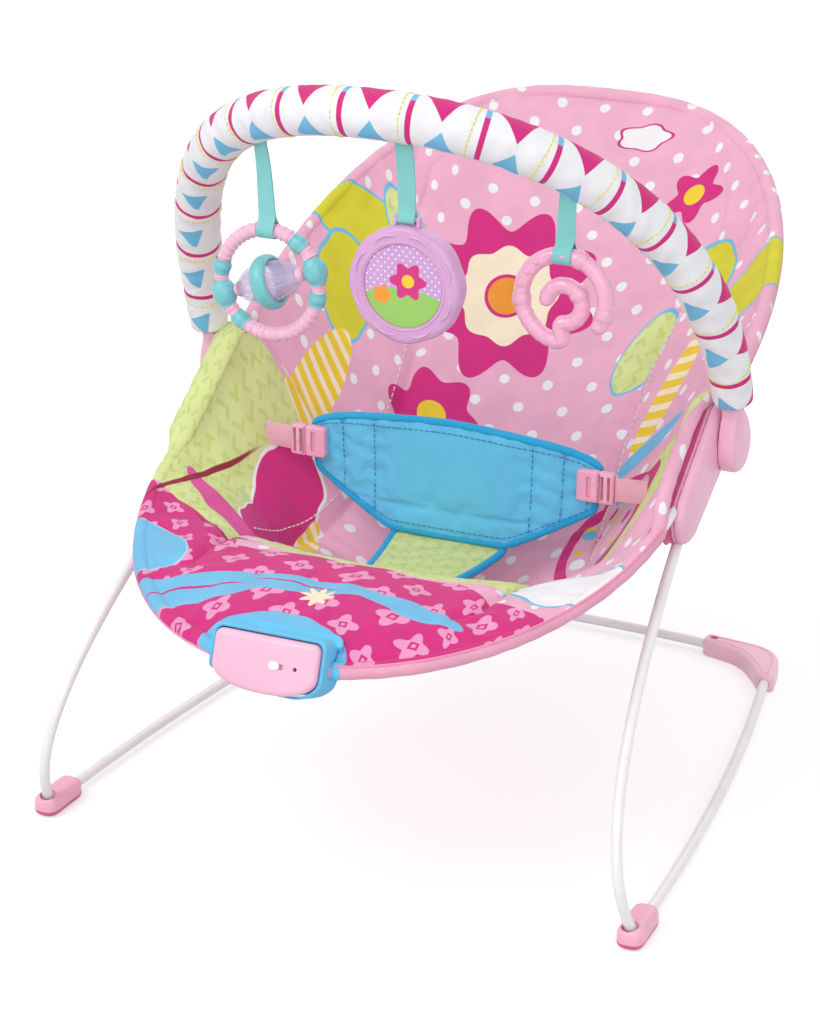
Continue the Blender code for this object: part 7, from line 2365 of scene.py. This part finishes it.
# Hanging toys
@dataclass
class Hanger:
    """A toy's place on the bar, and its ribbon."""

    bar: ToyBar
    x: float
    drop: float
    width: float = 0.014
    thick: float = 0.0008

    def top(self) -> tuple[Array, Array, float]:
        """Return the seam point, the bar's slope there, and the drop from the bar's centre."""
        centre = self.bar.at(self.x)
        slope = unit(self.bar.at(self.x + 0.004) - self.bar.at(self.x - 0.004))
        drop = self.bar.radius / math.sqrt(1 - slope[2] ** 2) + GAP
        return centre - (0.0, 0.0, drop), slope, drop

    def reach(self) -> float:
        """Return how far the toy's own frame lies below the seam."""
        return self.drop - self.top()[2]

    def frame(self) -> Matrix:
        """Return the toy's own frame, below the seam."""
        return Matrix.Translation(self.top()[0]) @ Matrix.Translation((0.0, 0.0, -self.reach()))

    def ribbon(self, name: str, body: str, reach: float, hoop: float, lead: float) -> None:
        """Build the doubled ribbon that goes round the toy.

        Args:
            name: The CAD node that it stands for, ending in _ribbon.
            body: The body that it rides on.
            reach: Distance from the seam to the hoop's centre.
            hoop: Radius that the ribbon's loop leaves free.
            lead: How far its top is sewn towards -X along the bar.
        """
        place, slope, _ = self.top()
        t = self.thick
        outer = hoop + t * 0.6
        turns = np.radians(np.linspace(128, -128, 19))
        loop = np.stack([outer * np.sin(turns), -reach - outer * np.cos(turns)], 1)
        down = np.linspace(0.0, 1.0, 24)[:, None]
        first = np.c_[0 * down + t * 0.62, 0.0006 * (1 - down) + (outer * 1.25 - reach) * down]
        line = relaxed(np.r_[first, loop, first[::-1] * (-1, 1)], 2)
        height = -line[:, 1]
        share = np.clip(height / (reach * 0.8), 0, 1)[:, None]
        level = unit(slope * (1 - share) + np.array(ACROSS) * share)
        along = level * (self.width / 2)
        across = unit(np.c_[-level[:, 1], level[:, 0], 0 * height])
        sway = 0.0009 * np.sin(height * 70) * np.clip(height / 0.01, 0, 1)
        centre = place + across * (line[:, 0] + sway)[:, None] + np.c_[0 * line, line[:, 1]]
        centre -= slope * (lead * (1 - np.clip(height / (reach * 0.95), 0, 1)))[:, None]
        normal = unit(np.cross(np.gradient(centre, axis=0), along))
        section = strip(2.0, 1.0, 0.3, 2) * (1.0, t * 0.8)
        spread = along[:, None] * section[None, :, :1] + normal[:, None] * section[None, :, 1:]
        points = centre[:, None] + spread
        around = np.r_[section[:, 0], section[:1, 0]] * self.width / 2
        uvs = np.stack(np.broadcast_arrays(around[None, :], walked(centre)[:, None]), -1)
        strap = skin(name + "_strip", points, TEAL_RIBBON, uvs, False, True, True, 60.0)
        settle(strap, body, "teal_ribbon", name)
        edges = []
        for side in (-1, 1):
            path = (centre + along * (side * 0.80) + normal * (t * 0.5))[2:22]
            edges.append(STITCHES.along("edge", path, THREAD_TEAL, pitch=0.0034, length=0.0022,
                                        radius=0.00022))
        settle(joined(name + "_stitches", edges), body, "teal_ribbon")


@dataclass
class Rattle:
    """The ring rattle with beads and a clear barrel that spins across it."""

    hanger: Hanger
    ring: float = 0.0412
    tube: float = 0.0055
    tilt: float = 19.0
    bead: float = 0.0072
    knob: float = 0.0094
    barrel: float = 0.0165
    wall: float = 0.0014
    stem: float = 0.0026
    band: tuple[float, float] = (0.0215, 0.013)
    ball: float = 0.0036
    balls: tuple[tuple[str, float, float, float], ...] = (("1", -0.013, -12, 0.0092),
                                                          ("2", 0.011, 8, 0.0098))
    cap_steps: tuple[tuple[float, float], ...] = (
        (0.0, 0.74), (0.0062, 0.76), (0.0052, 0.84), (0.0030, 0.90), (0.0, 0.90))
    bead_turns: tuple[float, ...] = (34.0, -30.0, 150.0, 214.0)
    ribs: int = 8

    def build(self) -> None:
        """Build the ring, beads, barrel and balls."""
        reach = self.hanger.reach() - self.ring
        self.hanger.ribbon("rattle_ribbon", "rattle", reach, self.tube + 2 * GAP, 0.0090)
        place = self.hanger.frame() @ Matrix.Rotation(-math.radians(self.tilt), 4, "Y")
        circle = moved(np.insert(ring(self.ring, 144), 1, 0.0, 1), place)
        core = sweep("ring", circle, ring(self.tube - 0.0003, 20), PALE_PLASTIC, LENGTHWISE, loop=True)
        ribs = HOOPS.along("ribs", circle, PALE_PLASTIC, True, pitch=0.0056, size=self.tube - 0.0006,
                           radius=0.0011)
        settle(joined("ring_with_ribs", [core, ribs]), "rattle", "pale_moulding", "rattle_ring")
        for label, turn in (("left", 180.0), ("right", 0.0)):
            self.build_bead(label + "_knob_bead", place, turn, self.knob, label + "_rattle_knob", 1.28)
        for k, turn in enumerate(self.bead_turns, 1):
            self.build_bead(f"bead_{k}", place, turn, self.bead, f"rattle_bead_{k}", 0.92)
        self.build_barrel(place @ Matrix.Rotation(math.pi / 2, 4, "Y"))

    def build_bead(self, name: str, place: Matrix, turn: float, radius: float, node: str,
                   long: float) -> None:
        """Build one teal bead threaded on the ring.

        Args:
            name: Name of the piece.
            place: The rattle's frame.
            turn: Its angle round the ring in degrees.
            radius: Its radius.
            node: The CAD node that it stands for.
            long: Its length along the ring as a share of its width.
        """
        bore, end = self.tube + GAP, radius * 0.87 * long
        turns = np.radians(np.linspace(-62, 62, 15))
        profile = [(bore * 1.02, -end)]
        profile += [(max(radius * math.cos(a), bore * 1.06), radius * long * math.sin(a)) for a in turns]
        profile += [(bore * 1.02, end), (bore * 1.02, -end)]
        seat = place @ Matrix.Rotation(-math.radians(turn), 4, "Y") @ Matrix.Translation((self.ring, 0, 0))
        settle(turned(name, profile, 32, seat, TEAL_PLASTIC), "rattle", "teal_plastic", node)

    def build_barrel(self, place: Matrix) -> None:
        """Build the barrel's clear halves with their ribs, its band and the balls."""
        for label, side in SIDES:
            self.build_bell(label, side, place)
        radius, width = self.band
        inner, edge = self.barrel + GAP, width / 2 - 0.0005
        turns = np.radians(np.linspace(-90, 90, 11))
        outer = [(radius - 0.004 + 0.004 * math.cos(a), (width / 2) * math.sin(a)) for a in turns]
        profile = [(inner, -edge), *outer, (inner, edge), (inner, -edge)]
        band = turned("clear_band", profile, 48, place, TEAL_PLASTIC)
        settle(band, "rattle_barrel", "teal_plastic", "barrel_band")
        turns = np.radians(np.linspace(-90, 90, 13))
        profile = [(self.ball * math.cos(a), self.ball * math.sin(a)) for a in turns]
        for number, along, turn, out in self.balls:
            angle = math.radians(turn)
            seat = place @ Matrix.Translation((out * math.cos(angle), out * math.sin(angle), along))
            ball = turned("ball_" + number, profile, 20, seat, ORANGE_BEAD)
            settle(ball, "rattle_barrel", "orange_bead", "rattle_ball_" + number)

    def build_bell(self, label: str, side: int, place: Matrix) -> None:
        """Build one clear half of the barrel with its ribs and its end cap."""
        half = side * (self.ring - self.tube - 2 * GAP)
        wall = self.wall
        marks = np.linspace(0, 1, 14)
        bell = self.barrel * (1 - 0.76 * marks ** 2.3)
        outside = [(float(r), side * GAP + m * half * 0.80) for r, m in zip(bell, marks)]
        inside = [(max(r - wall, 0.0), h - side * (wall if m > 0.9 else 0.0))
                  for (r, h), m in zip(outside, marks)][::-1]
        tip = [(self.stem + 0.0022, half * 0.83), (self.stem, half * 0.86), (self.stem, half), (0.0, half)]
        profile = [(0.0, inside[0][1]), *inside, *outside, *tip]
        shell = turned(label + "_bell", profile, 48, place, CLEAR_VIOLET)
        settle(shell, "rattle_barrel", "clear_violet", label + "_barrel_half")
        ribs = []
        for turn in full_turn(self.ribs) + math.radians(11):
            line = np.array([(r * math.cos(turn), r * math.sin(turn), h) for r, h in outside[1:-1]])
            ribs.append(sweep("rib", moved(line, place), ring(0.00065, 6), CLEAR_VIOLET, up=LENGTHWISE))
        cap = turned("cap", [(r, half * share) for r, share in self.cap_steps], 28, place, PALE_PLASTIC)
        settle(joined(label + "_bell_ribs", [*ribs, cap]), "rattle_barrel", "clear_violet")


@dataclass
class DiscToy:
    """The disc toy: two scalloped shells with a round picture in the front one."""

    hanger: Hanger
    radius: float = 0.0450
    thick: float = 0.018
    scallops: int = 8
    scallop: float = 0.0011
    lug: float = 0.0024
    lug_lift: float = 0.0040
    window: float = 0.0315
    depth: float = 0.0022
    arc_r: float = 0.0378
    arc_bow: float = 0.0018
    arc_half: float = 15.0

    def build(self) -> None:
        """Build the shells, the rim's raised arcs, the picture and the lug."""
        at = self.radius + self.lug_lift
        reach = self.hanger.reach() - at
        self.hanger.ribbon("disc_ribbon", "disc_toy", reach, self.lug + 2 * GAP, 0.0030)
        place = self.hanger.frame() @ Matrix.Rotation(math.pi / 2, 4, "X")
        angles = full_turn(240)
        radius = self.radius - self.scallop * (1 - np.abs(np.cos(self.scallops * angles / 2)))
        outline = np.stack([radius * np.cos(angles), radius * np.sin(angles)], 1)
        levels = edge_levels(GAP / 2, self.thick / 2, 0.0003, 0.0048)
        front = slab("disc_face", outline, levels, place, LILAC_PLASTIC)
        low, high = self.thick / 2 - self.depth, self.thick / 2 + 0.002
        profile = [(0.0, low), (self.window - 0.0006, low), (self.window, low + 0.0006),
                   (self.window, self.thick / 2 - 0.0008), (self.window + 0.0016, high), (0.0, high)]
        tools = [turned("window", profile, 96, place, LILAC_PLASTIC)]
        for centre in self.arms():
            room = strip(0.0036, 0.0105, 0.0002) + centre
            tools.append(slab("room", room, [(-0.0001, 0.0), (self.lug + GAP, 0.0)], place, LILAC_PLASTIC))
        settle(carved(front, *tools), "disc_toy", "lilac_plastic", "disc_front")
        self.build_back(place, outline)
        profile = post(self.window - GAP, low + GAP, low + 0.0011)
        card = turned("card", profile, 72, place, PICTURE_CARD)
        inverse = place.inverted()
        spots = np.array([inverse @ (vertex.co - Vector(SHIFT)) for vertex in card.data.vertices])
        lay_metres(card.data, spots[:, :2])
        settle(card, "disc_toy", "picture_card", "disc_picture")
        self.build_arcs(place)

    def arms(self) -> list[tuple[float, float]]:
        """Return the centres of the two arms that carry the lug's bar."""
        out, at = self.hanger.width / 2 + 0.0022, self.radius + self.lug_lift - 0.0022
        return [(-out, at), (out, at)]

    def build_back(self, place: Matrix, outline: Array) -> None:
        """Build the rear shell with the lug that the ribbon goes round."""
        levels = edge_levels(-self.thick / 2, -GAP / 2, 0.0040, 0.0003)
        parts = [slab("shell", outline, levels, place, LILAC_PLASTIC)]
        levels = edge_levels(-self.lug, self.lug, 0.0006, 0.0006)
        for centre in self.arms():
            parts.append(slab("arm", strip(0.0030, 0.0095, 0.0011) + centre, levels, place, LILAC_PLASTIC))
        half = self.hanger.width / 2 + 0.0036
        bar_place = place @ Matrix.Translation((0.0, self.radius + self.lug_lift, 0.0))
        bar_place = bar_place @ Matrix.Rotation(math.pi / 2, 4, "Y")
        parts.append(turned("bar", post(self.lug, -half, half), 20, bar_place, LILAC_PLASTIC))
        settle(joined("disc_shell", parts), "disc_toy", "lilac_plastic", "disc_back")

    def build_arcs(self, place: Matrix) -> None:
        """Build the raised arcs on the rim and the bead round the window."""
        level = self.thick / 2 - 0.0001
        spread = np.linspace(-1, 1, 15)
        bow = self.arc_r + self.arc_bow * np.cos(spread * np.pi / 2)
        taper = np.sqrt(np.clip(1 - spread ** 2, 0.05, 1))
        arcs = []
        for k in range(self.scallops):
            turns = 2 * math.pi * (k + 0.5) / self.scallops + spread * math.radians(self.arc_half)
            line = np.stack([bow * np.cos(turns), bow * np.sin(turns), np.full(15, level)], 1)
            arcs.append(sweep("arc", moved(line, place), ring(0.0015, 8), LILAC_PLASTIC, LENGTHWISE, taper))
        line = np.c_[ring(self.window + 0.0021, 96), np.full(96, level)]
        arcs.append(sweep("bead", moved(line, place), ring(0.0008, 8), LILAC_PLASTIC, LENGTHWISE, loop=True))
        settle(joined("disc_relief", arcs), "disc_toy", "lilac_plastic")


@dataclass
class Teether:
    """The curled teether: a ring whose lower end turns in to a small spiral."""

    hanger: Hanger
    radius: float = 0.0335
    tube: float = 0.0062
    curl: float = 0.0155
    curl_at: tuple[float, float] = (0.0005, -0.0035)
    cuffs: tuple[float, ...] = (0.012, 0.060, 0.128, 0.222)
    cuff_length: float = 0.009
    studs: tuple[float, float] = (0.076, 0.120)
    ribs_middle: float = 0.19
    ribs_half: float = 0.10
    rib_pitch: float = 0.0062
    rib_swell: float = 0.035

    def build(self) -> None:
        """Build the spiral with its cuffs and studs."""
        reach = self.hanger.reach() - self.radius
        self.hanger.ribbon("teether_ribbon", "teether_toy", reach, self.tube + 2 * GAP, -0.0020)
        place = self.hanger.frame()
        path = self.path()
        along = walked(path)
        close = np.minimum(along, along[-1] - along)
        scales = np.sqrt(np.clip(1 - (1 - np.clip(close / self.tube, 0, 1)) ** 2, 0.02, 1))
        inside = self.ribs_half - np.abs(along - self.ribs_middle)
        ribbed = np.sin(along * 2 * np.pi / self.rib_pitch) * np.clip(inside / 0.02, 0, 1)
        scales = scales * (1 + self.rib_swell * ribbed)
        spiral = sweep("spiral", moved(path, place), ring(self.tube, 20), CLEAR_PINK, LENGTHWISE, scales)
        section, swell = ring(self.tube + 0.0009, 22), np.array((0.90, 1.0, 1.03, 1.03, 1.0, 0.90))
        cuffs = []
        for at in self.cuffs:
            spot = moved(stretch(path, at, at + self.cuff_length, 6), place)
            cuffs.append(sweep("cuff", spot, section, CLEAR_PINK, LENGTHWISE, swell))
        settle(joined("spiral_with_cuffs", [spiral, *cuffs]), "teether_toy", "clear_pink", "teether")
        line = stretch(path, *self.studs, 8) - (0.0, self.tube * 0.92, 0.0)
        studs = STUDS.along("spiral_studs", moved(line, place), CLEAR_PINK, pitch=0.0105, radius=0.0021)
        settle(studs, "teether_toy", "clear_pink")

    def path(self) -> Array:
        """Return the spiral's middle line in the toy's own frame."""
        outer = np.radians(np.linspace(-42, 276, 90))
        share = np.linspace(1 / 14, 1, 60)
        inner = math.radians(-135) + math.radians(330) * share
        curl = self.curl * (1 - 0.12 * share)
        x, z = self.curl_at
        path = np.r_[np.stack([self.radius * np.cos(outer), 0 * outer, self.radius * np.sin(outer)], 1),
                     np.stack([x + curl * np.cos(inner), 0 * inner, z + curl * np.sin(inner)], 1)]
        return relaxed(spaced(relaxed(path, 4), 170), 4)


# Studio
@dataclass
class Studio:
    """The pale floor, the soft lights and the camera at the photograph's angle."""

    azimuth: float = 24.605
    elevation: float = 21.336
    roll: float = 0.22
    focal_px: float = 2813.2
    distance: float = 2.3373
    target: tuple[float, float, float] = (0.0, 0.3, 0.25)
    pan: tuple[float, float] = (-0.0623, -0.0511)
    frame_px: tuple[int, int] = (820, 1024)
    sensor_mm: float = 36.0
    lights: tuple[tuple[str, tuple[float, float, float], float, float], ...] = (
        ("key_light", (-1.3, -1.9, 2.4), 1.8, 30.0), ("fill_light", (1.2, -2.2, 1.3), 2.0, 17.0),
        ("back_light", (0.3, 2.2, 2.2), 1.6, 8.0))
    floor_half: float = 12.0

    def build(self) -> None:
        """Build floor, lights, world and camera."""
        scene = bpy.context.scene
        scene.view_settings.view_transform = "Standard"
        self.build_floor()
        self.build_world()
        for light in self.lights:
            self.light(*light)
        self.build_camera()

    def axes(self) -> tuple[Vector, Vector, Vector]:
        """Return the camera's right, up and back directions before its roll."""
        a, e = math.radians(self.azimuth), math.radians(self.elevation)
        right = Vector((math.cos(a), math.sin(a), 0.0))
        up = Vector((-math.sin(a) * math.sin(e), math.cos(a) * math.sin(e), math.cos(e)))
        back = Vector((math.sin(a) * math.cos(e), -math.cos(a) * math.cos(e), math.sin(e)))
        return right, up, back

    def build_camera(self) -> None:
        """Build the camera."""
        right, up, back = self.axes()
        camera = bpy.data.cameras.new("photo_camera")
        camera.sensor_fit = "AUTO"
        camera.sensor_width = self.sensor_mm
        camera.lens = self.focal_px * self.sensor_mm / self.frame_px[1]
        camera.clip_end = 50.0
        camera.dof.use_dof = False
        eye = Vector(self.target) + right * self.pan[0] + up * self.pan[1] + back * self.distance
        turn = Matrix((right, up, back)).transposed() @ Matrix.Rotation(math.radians(self.roll), 3, "Z")
        item = linked("photo_camera", camera)
        item.matrix_world = Matrix.Translation(eye + Vector(SHIFT)) @ turn.to_4x4()
        bpy.context.scene.camera = item

    def light(self, name: str, place: tuple[float, float, float], size: float, power: float) -> None:
        """Add a square soft light that faces the seat.

        Args:
            name: Its name.
            place: Where it stands.
            size: Its side.
            power: Its power in watts.
        """
        lamp = bpy.data.lights.new(name, "AREA")
        lamp.size = size
        lamp.energy = power
        aim = Vector((0.0, 0.0, self.target[2])) - Vector(place)
        turn = aim.to_track_quat("-Z", "Y").to_matrix().to_4x4()
        linked(name, lamp).matrix_world = Matrix.Translation(place) @ turn

    def seen(self, nodes: Nodes) -> bpy.types.NodeSocket:
        """Return 1 where the camera sees a surface, straight, mirrored or through glass."""
        rays = nodes.add("ShaderNodeLightPath").outputs
        glossy = nodes.math("MAXIMUM", rays["Is Camera Ray"], rays["Is Glossy Ray"])
        return nodes.math("MAXIMUM", glossy, rays["Is Transmission Ray"])

    def build_floor(self) -> None:
        """Build the plain pale floor, which keeps the object's shadow."""
        mesh = bpy.data.meshes.new("studio_floor")
        corners = [(x * self.floor_half, y * self.floor_half, -0.0002)
                   for x, y in ((-1, -1), (1, -1), (1, 1), (-1, 1))]
        mesh.from_pydata(corners, [], [(0, 1, 2, 3)])
        material = bpy.data.materials.new("studio_floor")
        material.use_nodes = True
        nodes = Nodes(material.node_tree)
        sockets = material.node_tree.nodes["Principled BSDF"].inputs
        place = nodes.add("ShaderNodeTexCoord").outputs["Object"]
        tone = nodes.ramp(nodes.noise(place, 3.0), 0.3, 0.7)
        nodes.put(sockets["Base Color"], nodes.mix(tone, (0.60, 0.60, 0.60), (0.62, 0.62, 0.62)))
        nodes.put(sockets["Roughness"], 0.9)
        nodes.put(sockets["Specular IOR Level"], 0.0)
        nodes.put(sockets["Emission Color"], (1.0, 1.0, 1.0))
        nodes.put(sockets["Emission Strength"], nodes.math("MULTIPLY", self.seen(nodes), 0.50))
        mesh.materials.append(material)
        linked("studio_floor", mesh)

    def build_world(self) -> None:
        """Build the plain surroundings: white where seen, softer as light."""
        world = bpy.data.worlds.new("studio_air")
        world.use_nodes = True
        bpy.context.scene.world = world
        nodes = Nodes(world.node_tree)
        air = world.node_tree.nodes["Background"]
        air.inputs["Color"].default_value = (1, 1, 1, 1)
        strength = nodes.add("ShaderNodeMapRange", {"Value": self.seen(nodes), "To Min": 0.80, "To Max": 1.0})
        nodes.put(air.inputs["Strength"], strength.outputs[0])


def main() -> None:
    """Build the pieces in order, then the studio."""
    logging.basicConfig(level=logging.INFO, format="%(message)s")
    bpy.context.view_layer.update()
    shape = SeatShape()
    FloorFrame().build()
    Legs().build()
    Hubs().build()
    SeatPad(shape).build()
    harness = Harness(shape)
    harness.build()
    Buckles(harness).build()
    VibrationUnit(shape).build()
    bar = ToyBar()
    bar.build()
    Rattle(Hanger(bar, x=-0.0950, drop=0.1290)).build()
    DiscToy(Hanger(bar, x=0.0275, drop=0.1235)).build()
    Teether(Hanger(bar, x=0.1360, drop=0.0985)).build()
    Studio().build()
    LOG.info("all pieces built")


if __name__ == "__main__":
    main()
